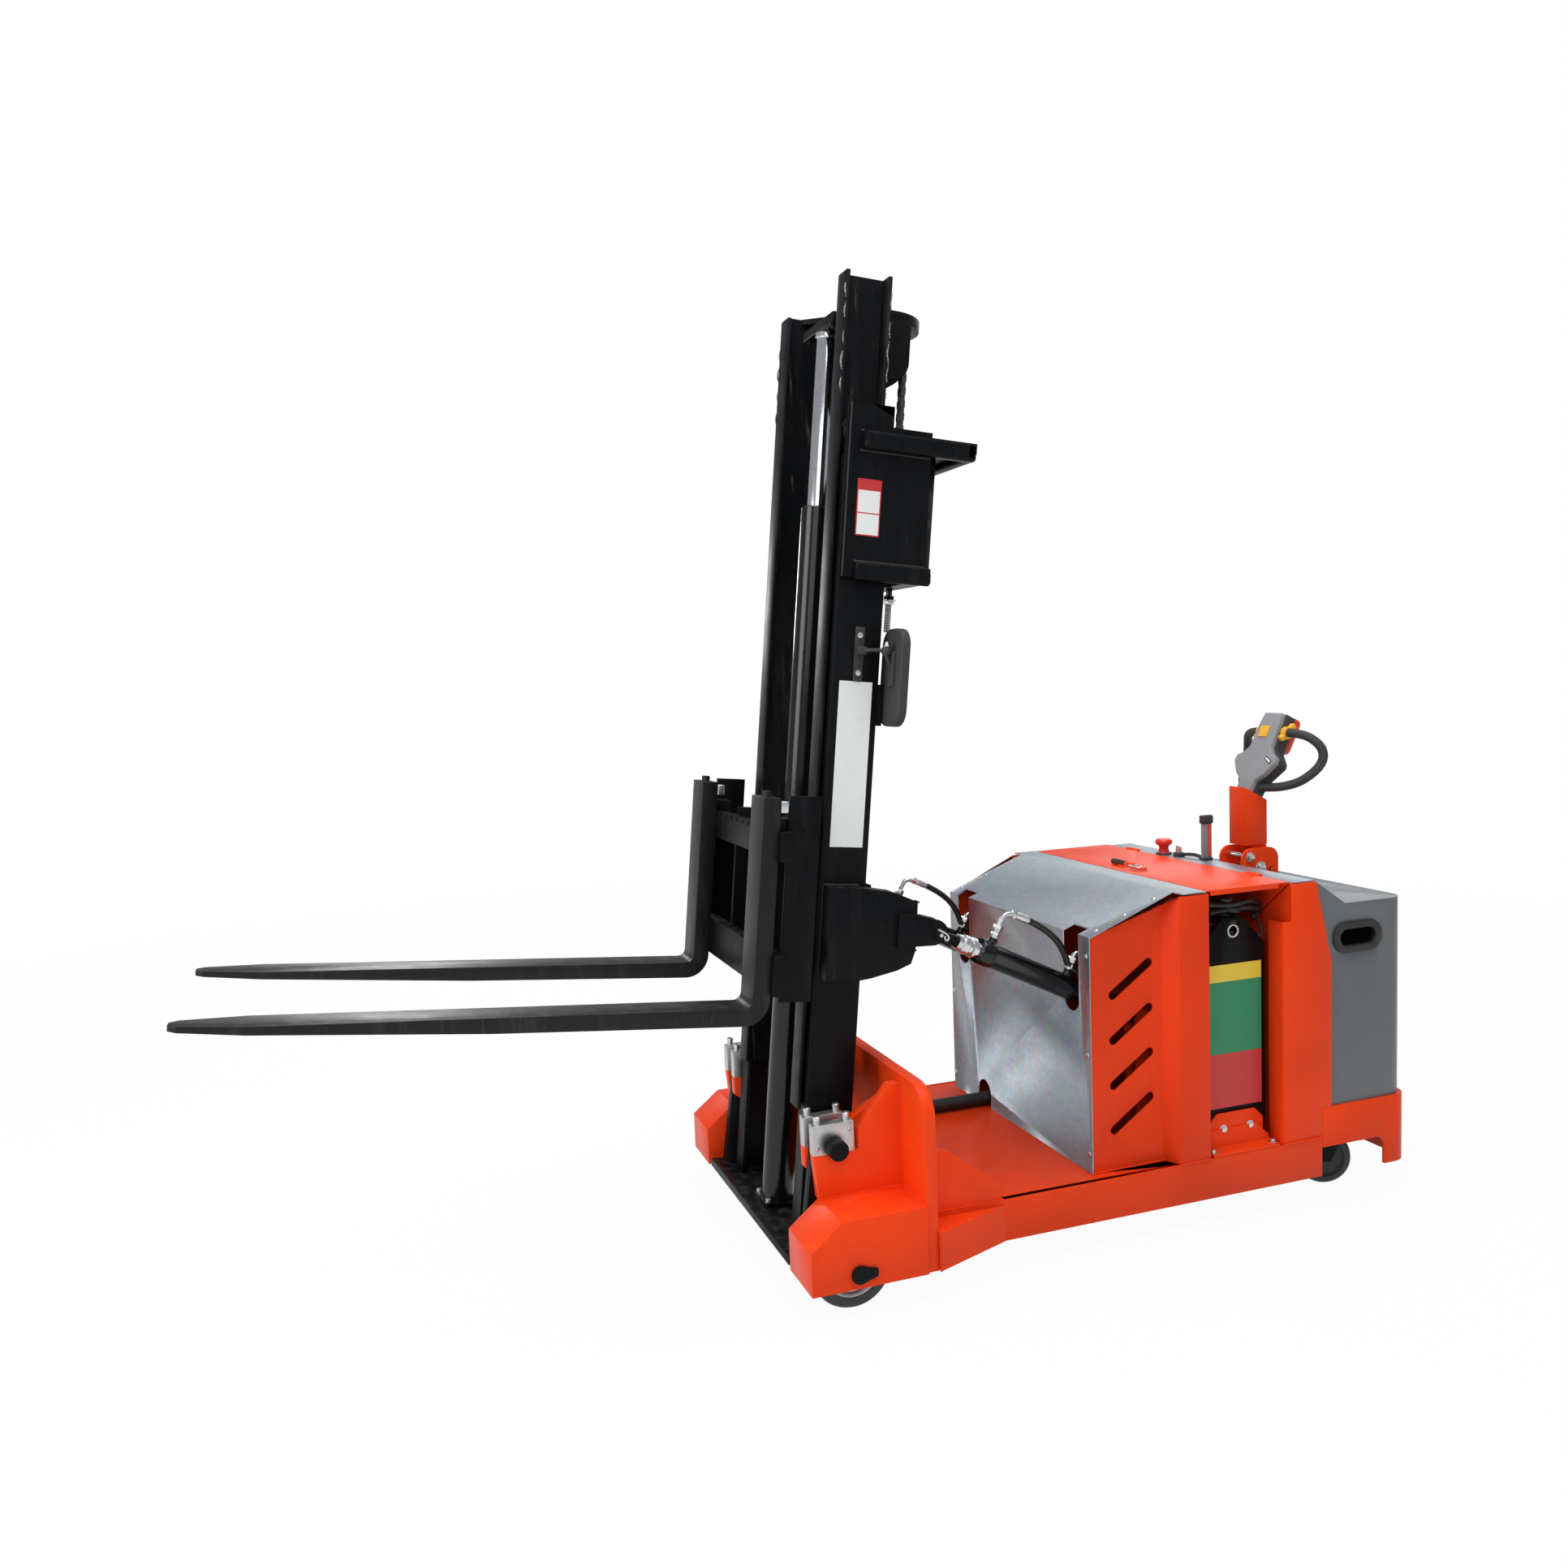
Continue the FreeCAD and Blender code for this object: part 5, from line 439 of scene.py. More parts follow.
@dataclass(frozen=True)
class Grease(Finish):
    """Whitish grease left in scallops beside the mast's running faces."""

    colour: Point = (0.38, 0.39, 0.38)

    def build(self, graph: Graph) -> None:
        """Builds a wet, uneven surface."""
        lump = graph.noise(0.006, 4.0)
        base = graph.mixed(lump.spread(0.35, 0.65), darker(self.colour, 0.35), rgba(self.colour))
        normal = graph.bump(lump, 0.0015)
        graph.surface({"Base Color": base, "Roughness": 0.28, "Normal": normal})


ORANGE = GlossPaint("orange_gloss", (0.84, 0.056, 0.007))
# The hood's sides carry the same orange paint as the lid; this copy's darker colour is painted shade.
ORANGE_SHADED_SIDE = GlossPaint("orange_panel", (0.80, 0.050, 0.007), rough=0.34, dust=0.05)
GREY_COVER = GlossPaint("grey_cover_paint", (0.115, 0.127, 0.136), rough=0.38, dust=0.04, coat=0.15,
                        specular=0.5)
BLACK = BlackPaint("black_steel")
BLACK_GLOSS = BlackPaint("black_barrels", rough=0.08, grease=0.03, specular=0.42)
WELDS = BlackPaint("black_welds", (0.035, 0.036, 0.038), 0.45, 0.3, (0.10, 0.10, 0.10), specular=0.4)
BLACK_GREASY = BlackPaint("black_greasy", grease=0.75, rub=0.30)
BLACK_FORK = BlackPaint("black_fork", (0.005, 0.005, 0.006), 0.36, 0.4, (0.035, 0.035, 0.037), 0.10, 0.30)
ZINC = Galvanised("zinc_sheet")
SILVER = Metal("plated_steel", (0.66, 0.67, 0.68), 0.26, 0.14)
CAP_STEEL = Metal("milled_steel", (0.60, 0.61, 0.60), 0.34, 0.2, 0.010)
CHROME = Metal("hard_chrome", (0.74, 0.75, 0.77), 0.08, 0.06)
CHAIN = Metal("oiled_chain", (0.10, 0.10, 0.105), 0.30, 0.2)
RUBBER = Moulded("black_rubber", (0.012, 0.012, 0.013), 0.48, 0.002)
HOSE = Moulded("black_hose", (0.006, 0.006, 0.007), 0.36, 0.0025, 0.0002, 0.03)
SLEEVE = Ribbed("ribbed_sleeve")
TREAD = Moulded("wheel_tread", (0.030, 0.030, 0.032), 0.55, 0.004)
PLASTIC_BLACK = Moulded("black_plastic", (0.014, 0.014, 0.015), 0.38)
PLASTIC_GREY = Moulded("grey_plastic", (0.115, 0.118, 0.120), 0.46)
PLASTIC_RED = Moulded("red_plastic", (0.56, 0.022, 0.012), 0.26)
PLASTIC_YELLOW = Moulded("yellow_plastic", (0.86, 0.42, 0.02), 0.36)
CAST = Moulded("cast_ballast", (0.05, 0.05, 0.05), 0.7, 0.006, 0.0006)
WHITE_LABEL = Label("white_plate")
RED_LABEL = Label("red_label", (0.55, 0.03, 0.03))
YELLOW_LABEL = Label("yellow_label", (0.78, 0.58, 0.04))
GREEN_LABEL = Label("green_label", (0.012, 0.24, 0.10))
GREASE = Grease("white_grease")


def both_ways(half: Sequence[Point]) -> list[Point]:
    """Closed outline of a turned shape that is the same to both sides of its middle.

    Args:
        half: one side of it, as (radius, distance from the middle), from the bore outward.

    Returns:
        The whole outline.
    """
    return [(radius, -along) for radius, along in half] + [(radius, along) for radius,
                                                           along in reversed(half)]


class Drawing:
    """The mesh of one piece, drawn in millimetres with bmesh operators."""

    def __init__(self) -> None:
        """Starts an empty mesh."""
        self.bm = bmesh.new()

    def put(self, verts: Sequence[bmesh.types.BMVert], matrix: Matrix) -> None:
        """Moves new vertices to their place."""
        bmesh.ops.transform(self.bm, matrix=matrix, verts=list(verts))

    def round_off(self, edges: Sequence[bmesh.types.BMEdge], width: float, segments: int) -> None:
        """Bevels the given edges."""
        if width > 0.0 and edges:
            bmesh.ops.bevel(self.bm, geom=list(edges), offset=width, offset_type="OFFSET", segments=segments,
                            profile=0.5, affect="EDGES", material=-1, clamp_overlap=True)

    def block(self, x: Point, y: Point, z: Point, edge: float = 1.0, segments: int = 2,
              place: Matrix | None = None) -> None:
        """Adds a rounded block.

        Args:
            x: its two ends along X.
            y: its two ends along Y.
            z: its two ends along Z.
            edge: width of its rounded edges.
            segments: steps of the rounding.
            place: a further transform.
        """
        size = Vector((x[1] - x[0], y[1] - y[0], z[1] - z[0]))
        mid = Vector((x[1] + x[0], y[1] + y[0], z[1] + z[0])) / 2.0
        made = bmesh.ops.create_cube(self.bm, size=1.0)["verts"]
        self.put(made, (place or Matrix()) @ Matrix.Translation(mid) @ Matrix.Diagonal((*size, 1.0)))
        self.round_off({e for v in made for e in v.link_edges}, edge, segments)

    def bar(self, radius: float, start: Point, end: Point, edge: float = 0.0, sides: int = 32,
            far: float | None = None, segments: int = 2) -> None:
        """Adds a round or many-sided bar between two points.

        Args:
            radius: radius at the start.
            start: centre of the first end.
            end: centre of the far end.
            edge: width of its rounded rims.
            sides: number of sides.
            far: radius at the far end, if it differs.
            segments: steps of the rounding.
        """
        start, end = Vector(start), Vector(end)
        way = end - start
        made = bmesh.ops.create_cone(self.bm, cap_ends=True, cap_tris=False, segments=sides, radius1=radius,
                                     radius2=radius if far is None else far, depth=way.length)["verts"]
        turn = Vector((0, 0, 1)).rotation_difference(way).to_matrix().to_4x4()
        self.put(made, Matrix.Translation((start + end) / 2.0) @ turn)
        caps = {f for v in made for f in v.link_faces if len(f.verts) == sides}
        self.round_off({e for f in caps for e in f.edges}, edge, segments)

    def lathe(self, profile: Sequence[Point], base: Point, axis: Point, sides: int = 48) -> None:
        """Adds a turned shape.

        Args:
            profile: closed outline as (radius, distance along the axis).
            base: where the distances start.
            axis: way of the axis.
            sides: steps round.
        """
        spots = [self.bm.verts.new((r, 0.0, h)) for r, h in profile]
        loop = [self.bm.edges.new((a, b)) for a, b in zip(spots, spots[1:])]
        if profile[0][0] > 0.0 or profile[-1][0] > 0.0:
            loop.append(self.bm.edges.new((spots[-1], spots[0])))
        before = set(self.bm.verts) - set(spots)
        bmesh.ops.spin(self.bm, geom=spots + loop, cent=(0, 0, 0), axis=(0, 0, 1), angle=2.0 * math.pi,
                       steps=sides, use_merge=True, dvec=(0, 0, 0))
        made = [v for v in self.bm.verts if v not in before]
        bmesh.ops.remove_doubles(self.bm, verts=made, dist=0.001)
        made = [v for v in self.bm.verts if v not in before]
        turn = Vector((0, 0, 1)).rotation_difference(Vector(axis)).to_matrix().to_4x4()
        self.put(made, Matrix.Translation(Vector(base)) @ turn)

    def sheet(self, outline: Sequence[Point], rise: Point, edge: float = 0.0, segments: int = 2) -> None:
        """Adds a plate from a flat outline.

        Args:
            outline: corners of one face.
            rise: the way to the other face.
            edge: width of its rounded edges.
            segments: steps of the rounding.
        """
        face = self.bm.faces.new([self.bm.verts.new(p) for p in outline])
        out = bmesh.ops.extrude_face_region(self.bm, geom=[face])["geom"]
        far = [g for g in out if isinstance(g, bmesh.types.BMVert)]
        bmesh.ops.translate(self.bm, vec=Vector(rise), verts=far)
        made = set(far) | set(face.verts)
        self.round_off({e for v in made for e in v.link_edges}, edge, segments)

    def ball(self, radius: float, centre: Point) -> None:
        """Adds a ball."""
        made = bmesh.ops.create_uvsphere(self.bm, u_segments=32, v_segments=16, radius=radius)["verts"]
        self.put(made, Matrix.Translation(Vector(centre)))

    def tube(self, route: Sequence[Point], radius: float, sides: int = 6) -> None:
        """Adds a round tube along a smooth line.

        Args:
            route: control points of the line.
            radius: radius of the tube.
            sides: detail of the round.
        """
        curve = bpy.data.curves.new("route", "CURVE")
        curve.dimensions = "3D"
        spline = curve.splines.new("NURBS")
        spline.points.add(len(route) - 1)
        for spot, at in zip(spline.points, route):
            spot.co = (*at, 1.0)
        spline.order_u = 3
        spline.use_endpoint_u = True
        spline.resolution_u = 12
        curve.bevel_depth = radius
        curve.bevel_resolution = sides
        curve.use_fill_caps = True
        holder = bpy.data.objects.new("route", curve)
        mesh = bpy.data.meshes.new_from_object(holder)
        self.bm.from_mesh(mesh)
        bpy.data.objects.remove(holder)
        bpy.data.curves.remove(curve)
        bpy.data.meshes.remove(mesh)

    def copy_of(self, other: "Drawing", place: Matrix) -> None:
        """Adds a copy of another drawing at a place."""
        mesh = bpy.data.meshes.new("copy")
        other.bm.to_mesh(mesh)
        mesh.transform(place)
        self.bm.from_mesh(mesh)
        bpy.data.meshes.remove(mesh)

    def settle(self) -> None:
        """Turns all normals outward."""
        bmesh.ops.recalc_face_normals(self.bm, faces=list(self.bm.faces))

    def mirror_across(self) -> None:
        """Adds the same shape on the other side of the machine."""
        geom = list(self.bm.verts) + list(self.bm.edges) + list(self.bm.faces)
        made = bmesh.ops.duplicate(self.bm, geom=geom)["geom"]
        verts = [g for g in made if isinstance(g, bmesh.types.BMVert)]
        faces = [g for g in made if isinstance(g, bmesh.types.BMFace)]
        bmesh.ops.scale(self.bm, vec=(1.0, -1.0, 1.0), verts=verts)
        bmesh.ops.reverse_faces(self.bm, faces=faces)


@dataclass(frozen=True)
class Place:
    """A drawing frame: millimetres there to metres in the shared frame."""

    matrix: Matrix

    @staticmethod
    def hood() -> "Place":
        """Frame whose X is measured from the hood's front sheet."""
        return Place(Matrix.Translation((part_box("hood_front_sheet")[1][0], 0, 0)) @ Matrix.Scale(MM, 4))

    def leaned(self, at: Point, degrees: float) -> "Place":
        """A frame at a point of this one, leaned back by an angle."""
        turn = Matrix.Rotation(math.radians(-degrees), 4, "Y")
        return Place(self.matrix @ Matrix.Translation(Vector(at)) @ turn)


def shown(name: str, data: bpy.types.ID) -> bpy.types.Object:
    """Puts new data into the scene.

    Args:
        name: the object's name.
        data: its mesh, lamp or camera.

    Returns:
        The new object.
    """
    made = bpy.data.objects.new(name, data)
    bpy.context.scene.collection.objects.link(made)
    return made


class Workshop:
    """Turns drawings into pieces of the scene and keeps count of them."""

    def __init__(self) -> None:
        """Reads which body and finish slot each CAD node has."""
        record = frame["record"]
        bodies = record["behaviour"]["bodies"]
        self.body = {node: body for body, nodes in bodies.items() for node in nodes}
        self.slots = {part["node"]: part["material_slot"] for part in record["subparts"]}

    def piece(self, name: str, drawing: Drawing, place: Place, finish: Finish, body: str | None,
              replaced: Sequence[str] = (), sharp: float = 38.0,
              tidy: bool = True) -> bpy.types.Object:
        """Makes an object from a drawing.

        Args:
            name: the piece's name.
            drawing: its mesh in millimetres.
            place: its drawing frame.
            finish: its finish.
            body: the body it rides on, or None for a piece on no body.
            replaced: CAD nodes it stands for.
            sharp: edges at more than this many degrees stay sharp.
            tidy: whether normals are worked out again.

        Returns:
            The new object.
        """
        if tidy:
            drawing.settle()
        mesh = bpy.data.meshes.new(name)
        drawing.bm.to_mesh(mesh)
        drawing.bm.free()
        mesh.transform(place.matrix)
        mesh.shade_smooth()
        mesh.set_sharp_from_angle(angle=math.radians(sharp))
        mesh.materials.append(finish.material())
        made = shown(name, mesh)
        if body:
            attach(made, body)
        if replaced:
            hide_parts(*replaced)
        LOG.info("%s: %d faces on %s", name, len(mesh.polygons), body or "two bodies")
        return made

    def softened(self, node: str, finish: Finish, edge: float = 1.5, segments: int = 2,
                 reshape: Callable[["Drawing"], None] | None = None) -> bpy.types.Object:
        """Stands for a CAD node with a merged copy whose sharp edges are rounded.

        Args:
            node: the CAD node.
            finish: its finish.
            edge: width of the rounding, in millimetres.
            segments: steps of the rounding.
            reshape: changes the copy before its edges are rounded.

        Returns:
            The new object.
        """
        drawing = Drawing()
        bm = drawing.bm
        bm.from_mesh(frame["nodes"][node].data)
        bmesh.ops.remove_doubles(bm, verts=list(bm.verts), dist=MERGED_WITHIN)
        bmesh.ops.dissolve_limit(bm, angle_limit=math.radians(FLAT_WITHIN), use_dissolve_boundaries=False,
                                 verts=list(bm.verts), edges=list(bm.edges))
        bmesh.ops.scale(bm, vec=(1.0 / MM, 1.0 / MM, 1.0 / MM), verts=list(bm.verts))
        if reshape:
            reshape(drawing)
        sharp = [e for e in bm.edges if e.is_manifold and e.calc_face_angle(0.0) > math.radians(ROUNDED_FROM)]
        drawing.round_off(sharp, edge, segments)
        return self.piece(f"{node}_dressed", drawing, Place(Matrix.Scale(MM, 4)), finish, self.body[node],
                          (node,), 30.0, False)


SHOP = Workshop()
HOOD = Place.hood()
PIVOT = (695.3, 0.0, 354.6)
MAST = HOOD.leaned(PIVOT, LEAN)


@dataclass
class Fastening:
    """Screws, nuts, rivets and weld beads, added to a drawing."""

    drawing: Drawing

    def hex_head(self, at: Point, axis: Point, across: float, high: float) -> None:
        """Adds a six-sided head with a washer under it."""
        at, axis = Vector(at), Vector(axis).normalized()
        self.drawing.bar(across * 0.78, at, at + axis * high * 0.22, high * 0.06, 24)
        self.drawing.bar(across * 0.577, at + axis * high * 0.22, at + axis * high, high * 0.12, 6)

    def cap_screw(self, at: Point, axis: Point, radius: float, high: float) -> None:
        """Adds a round head with a socket sunk in its top."""
        inner, deep, edge = radius * 0.5, high * 0.6, radius * 0.12
        profile = [(0, 0), (radius, 0), (radius, high - edge), (radius - edge, high), (inner, high),
                   (inner, high - deep), (0, high - deep)]
        self.drawing.lathe(profile, at, axis, 24)

    def rivet(self, at: Point, axis: Point, radius: float) -> None:
        """Adds a low domed head."""
        high = radius * 0.55
        profile = [(0, 0), (radius, 0), (radius * 0.92, high * 0.5), (radius * 0.6, high * 0.9), (0, high)]
        self.drawing.lathe(profile, at, axis, 16)

    def stud(self, at: Point, axis: Point, radius: float, high: float) -> None:
        """Adds a nut with its stud standing out of it."""
        at, axis = Vector(at), Vector(axis).normalized()
        self.hex_head(at, axis, radius * 3.2, radius * 1.8)
        self.drawing.bar(radius, at, at + axis * high, radius * 0.2, 16)

    def bead(self, start: Point, end: Point, radius: float) -> None:
        """Adds a weld bead of overlapping drops along a line."""
        start, end = Vector(start), Vector(end)
        count = max(2, int((end - start).length / (radius * 1.3)))
        for index in range(count + 1):
            at = start.lerp(end, index / count)
            size = radius * (1.0 + 0.12 * math.sin(index * 2.4))
            made = bmesh.ops.create_icosphere(self.drawing.bm, subdivisions=1, radius=size)["verts"]
            self.drawing.put(made, Matrix.Translation(at))

    def beads(self, rows: Sequence[tuple[Point, Point, float]]) -> None:
        """Adds a bead for each row of start, end and radius."""
        for start, end, radius in rows:
            self.bead(start, end, radius)


@dataclass
class Chains:
    """Leaf chains: over the sheaves to the shelf behind, and down to the carriage in front."""

    pitch: float = 15.9
    plate_high: float = 13.0
    plate_thick: float = 2.6
    across: float = 95.0
    sheave_u: float = -93.0
    sheave_w: float = 1927.0
    wrap_r: float = 80.0
    shelf_top: float = 1373.0
    lug_top: float = 567.0

    @property
    def rear_u(self) -> float:
        """Where the rear strands hang."""
        return self.sheave_u - self.wrap_r

    @property
    def front_u(self) -> float:
        """Where the front strands hang."""
        return self.sheave_u + self.wrap_r

    def link(self, odd: bool) -> Drawing:
        """One link drawn upright: its plates, and a pin at its lower end."""
        made = Drawing()
        spots = (-10.2, -2.9, 2.9, 10.2) if odd else (-6.6, 0.0, 6.6)
        half = self.plate_high / 2.0
        for y in spots:
            outline = []
            for centre, first in ((self.pitch, 0.0), (0.0, math.pi)):
                for step in range(4):
                    turn = first + math.pi * step / 3.0
                    outline.append((half * math.cos(turn), y - self.plate_thick / 2.0,
                                    centre + half * math.sin(turn)))
            made.sheet(outline, (0.0, self.plate_thick, 0.0))
        made.bar(2.6, (0, -12.0, 0), (0, 12.0, 0), 0.0, 8)
        made.settle()
        return made

    def build(self) -> None:
        """Builds the rear and the front strands."""
        odd, even = self.link(True), self.link(False)
        rear, front = Drawing(), Drawing()
        for side in (-1, 1):
            y = side * self.across
            count = int((self.sheave_w - self.shelf_top) / self.pitch)
            for index in range(count):
                at = Matrix.Translation((self.rear_u, y, self.shelf_top + 6.0 + index * self.pitch))
                rear.copy_of(odd if index % 2 else even, at)
            steps = round(math.pi * self.wrap_r / self.pitch)
            for index in range(steps):
                turn = math.pi * index / steps
                at = (self.sheave_u - self.wrap_r * math.cos(turn), y,
                      self.sheave_w + self.wrap_r * math.sin(turn))
                lean = Matrix.Rotation(turn + 0.5 * math.pi / steps, 4, "Y")
                rear.copy_of(odd if (index + count) % 2 else even, Matrix.Translation(at) @ lean)
            count = int((self.sheave_w - self.lug_top) / self.pitch)
            for index in range(count):
                at = Matrix.Translation((self.front_u, y, self.sheave_w - (index + 1) * self.pitch))
                front.copy_of(odd if index % 2 else even, at)
        back = SHOP.piece("chain_rear_links", rear, MAST, CHAIN, None, ("chain_rear_strands",),
                          30.0,
                          False)
        ahead = SHOP.piece("chain_front_links", front, MAST, CHAIN, None, ("chain_front_strands",),
                           30.0, False)
        (MAST.matrix @ Vector((self.rear_u, 0,
                                                                               self.shelf_top)))
        MAST.matrix @ Vector((self.rear_u, 0, self.sheave_w))
        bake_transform(back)
        MAST.matrix @ Vector((self.front_u, 0, self.lug_top))
        MAST.matrix @ Vector((self.front_u, 0, self.sheave_w))
        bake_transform(ahead)


@dataclass
class MastTrim:
    """Plates, beads, grease and fasteners on the mast and the carriage."""

    web: float = 262.0
    box_side: float = 276.0
    beam_edge: float = 239.5
    roller: Point = (-14.0, 205.0, 1700.0)
    anchor_r: float = 8.0
    mirror_y: Point = (230.0, 350.0)
    mirror_w: Point = (1000.0, 1236.0)
    mirror_rear: float = -128.0
    clamp: Point = (-84.0, 306.0, 1180.0)

    def build(self) -> None:
        """Builds the mast's small parts."""
        self.labels()
        self.bars()
        self.beads()
        self.grease()
        self.screws()
        self.rollers()
        self.mirrors()

    def labels(self) -> None:
        """The bare plates on the mast's side."""
        plate = Drawing()
        plate.block((-71.0, 15.0), (self.web, self.web + 1.0), (702.0, 1104.0), 0.5, 1)
        SHOP.piece("mast_plate", plate, MAST, WHITE_LABEL, "outer_mast")
        low, high, front, rear = 1450.0, 1584.0, 4.0, -58.0
        y = self.box_side
        red = Drawing()
        red.block((rear, front), (y, y + 0.6), (low, high), 0.2, 1)
        SHOP.piece("warning_film", red, MAST, RED_LABEL, "outer_mast")
        white = Drawing()
        edge = 3.0
        third = (high - low) * 0.20
        mid = (low + high - third) / 2.0
        for z0, z1 in ((low + edge, mid - edge / 2.0), (mid + edge / 2.0, high - third)):
            white.block((rear + edge, front - edge), (y + 0.5, y + 1.0), (z0, z1), 0.2, 1)
        SHOP.piece("warning_fields", white, MAST, WHITE_LABEL, "outer_mast")

    def bars(self) -> None:
        """Rounded bars that edge the head box's ledge and shelf."""
        made = Drawing()
        side = self.box_side - 1.0
        made.block((-291.0, 1.0), (side, 305.0), (1651.0, 1695.0), 8.0, 4)
        made.block((-196.0, 1.0), (side, 291.0), (1344.0, 1388.0), 7.0, 4)
        made.mirror_across()
        made.block((-291.0, -262.0), (-305.0, 305.0), (1651.5, 1695.0), 8.0, 4)
        SHOP.piece("head_bars", made, MAST, BLACK, "outer_mast")

    def beads(self) -> None:
        """Welds of the head box, the shelf and the tilt brackets."""
        made = Drawing()
        y, side = self.web, self.box_side
        Fastening(made).beads((
            ((-64, y + 2, 610), (24, y + 2, 610), 3.2),
            ((25, y + 1, 386), (25, y + 1, 608), 2.6),
            ((-60, y + 1, 384), (24, y + 1, 384), 2.6),
            ((-180, side, 1696), (0, side, 1696), 3.0),
            ((-180, side, 1650), (0, side, 1650), 2.6),
            ((-180, side, 1389), (0, side, 1389), 3.2),
            ((30, y + 13, 1352), (30, y + 13, 1758), 2.4),
            ((-209, 288, 457), (-209, 312, 457), 2.6),
            ((-209, 288, 576), (-209, 312, 576), 2.6),
        ))
        made.mirror_across()
        SHOP.piece("mast_welds", made, MAST, WELDS, "outer_mast", tidy=False)

    def grease(self) -> None:
        """Scallops of grease pushed to the edges of the inner beams."""
        made = Drawing()
        edge = self.beam_edge
        for y, u, seed in ((edge, -70.0, 0.3), (edge, 48.0, 4.1), (-edge, -70.0, 1.1), (-edge, 48.0, 2.6)):
            w = 1790.0
            while w < 2040.0:
                wave = math.sin(w * 0.11 + seed) + 0.6 * math.sin(w * 0.037 + 2.0 * seed)
                if wave > -0.7:
                    at = (u + 2.2 * wave, y - math.copysign(1.0, y), w)
                    ball = bmesh.ops.create_icosphere(made.bm, subdivisions=1,
                                                      radius=1.9 + 0.8 * wave)["verts"]
                    made.put(ball, Matrix.Translation(at) @ Matrix.Diagonal((0.9, 0.35, 1.9, 1.0)))
                w += 6.5
        SHOP.piece("beam_grease", made, MAST, GREASE, "inner_mast", tidy=False)

    def screws(self) -> None:
        """Screws of the mirrors' stays and the cylinder's foot, chain anchors and fork locks."""
        made = Drawing()
        fix = Fastening(made)
        for w in (1125.0, 1215.0):
            fix.hex_head((-30.0, self.web + 5.0, w), (0, 1, 0), 9.0, 5.0)
        fix.stud((self.clamp[0], self.clamp[1], 1190.0), (0, 0, 1), 4.0, 12.0)
        made.mirror_across()
        for u in (-38.0, 38.0):
            for y in (-38.0, 38.0):
                fix.cap_screw((u, y, -261.0), (0, 0, 1), 8.0, 9.0)
        SHOP.piece("mast_screws", made, MAST, SILVER, "outer_mast")
        held, strands = Drawing(), Chains()
        u, y, r = strands.rear_u, strands.across, self.anchor_r
        Fastening(held).hex_head((u, y, 1322.0), (0, 0, -1), 26.0, 12.0)
        held.bar(r, (u, y, 1240.0), (u, y, 1352.0), 1.0, 24)
        for w in range(1242, 1320, 4):
            held.lathe([(r, 0.0), (r + 1.0, 1.0), (r, 2.0)], (u, y, float(w)), (0, 0, 1), 20)
        held.mirror_across()
        SHOP.piece("chain_anchors", held, MAST, SILVER, "outer_mast")
        ride = Drawing()
        for y0, y1 in ((290.0, 316.0), (218.0, 244.0)):
            ride.block((143.0, 162.5), (y0, y1), (784.0, 812.0), 3.0, 3)
        ride.mirror_across()
        SHOP.piece("fork_locks", ride, MAST, SILVER, "carriage")

    def rollers(self) -> None:
        """Head rollers of the outer mast: a bright running ring on a hub."""
        made = Drawing()
        profile = [(14.0, 0.0), (30.0, 0.0), (32.0, 3.0), (37.0, 3.0), (39.0, 0.0), (44.0, 0.0), (46.4, 2.5),
                   (46.4, 42.5), (44.0, 45.0), (14.0, 45.0)]
        u, y, w = self.roller
        made.lathe(profile, self.roller, (0, 1, 0), 64)
        made.bar(14.0, (u, y - 1.0, w), (u, y + 45.0, w), 1.5)
        made.mirror_across()
        SHOP.piece("head_rollers", made, MAST, SILVER, "outer_mast", ("mast_rollers",))

    def pad(self, u: float, inset: float, radius: float) -> list[Point]:
        """Outline of a mirror with rounded corners.

        Args:
            u: where its plane lies along the machine.
            inset: how far the outline stays inside the housing's.
            radius: radius of its corners.

        Returns:
            The outline's corners.
        """
        y0, y1 = self.mirror_y[0] + inset, self.mirror_y[1] - inset
        w0, w1 = self.mirror_w[0] + inset, self.mirror_w[1] - inset
        centres = ((y1 - radius, w1 - radius, 0), (y0 + radius, w1 - radius, 90),
                   (y0 + radius, w0 + radius, 180),
                   (y1 - radius, w0 + radius, 270))
        turns = [(y, w, math.radians(first + step * 15.0)) for y, w, first in centres for step in range(7)]
        return [(u, y + radius * math.cos(turn), w + radius * math.sin(turn)) for y, w, turn in turns]

    def mirrors(self) -> None:
        """Mirrors: a padded housing, its glass, stay, clamp and arm."""
        body, glass, stay = Drawing(), Drawing(), Drawing()
        body.sheet(self.pad(self.mirror_rear, 0.0, 42.0), (24.0, 0.0, 0.0), 9.0, 5)
        glass.sheet(self.pad(self.mirror_rear - 1.4, 10.0, 34.0), (2.4, 0.0, 0.0), 0.8, 2)
        stay.block((-42.0, -18.0), (self.web, self.web + 5.0), (1105.0, 1235.0), 1.5, 2)
        stay.tube([(-30, 262, 1178), (-30, 284, 1178), (-42, 296, 1179), (-78, 302, 1182), (-84, 306, 1168),
                   (-92, 306, 1150), (-106, 304, 1140)], 4.5)
        stay.block((-42.0, -18.0), (272.0, 290.0), (1168.0, 1188.0), 3.0, 2)
        stay.ball(13.0, (self.clamp[0], self.clamp[1] - 2.0, self.clamp[2]))
        stay.block((-106.0, -96.0), (288.0, 318.0), (1096.0, 1180.0), 3.0, 3)
        for drawing in (body, glass, stay):
            drawing.mirror_across()
        SHOP.piece("mirror_housings", body, MAST, PLASTIC_BLACK, "outer_mast", ("mirrors",))
        SHOP.piece("mirror_glass", glass, MAST, CHROME, "outer_mast")
        SHOP.piece("mirror_stays", stay, MAST, PLASTIC_BLACK, "outer_mast")


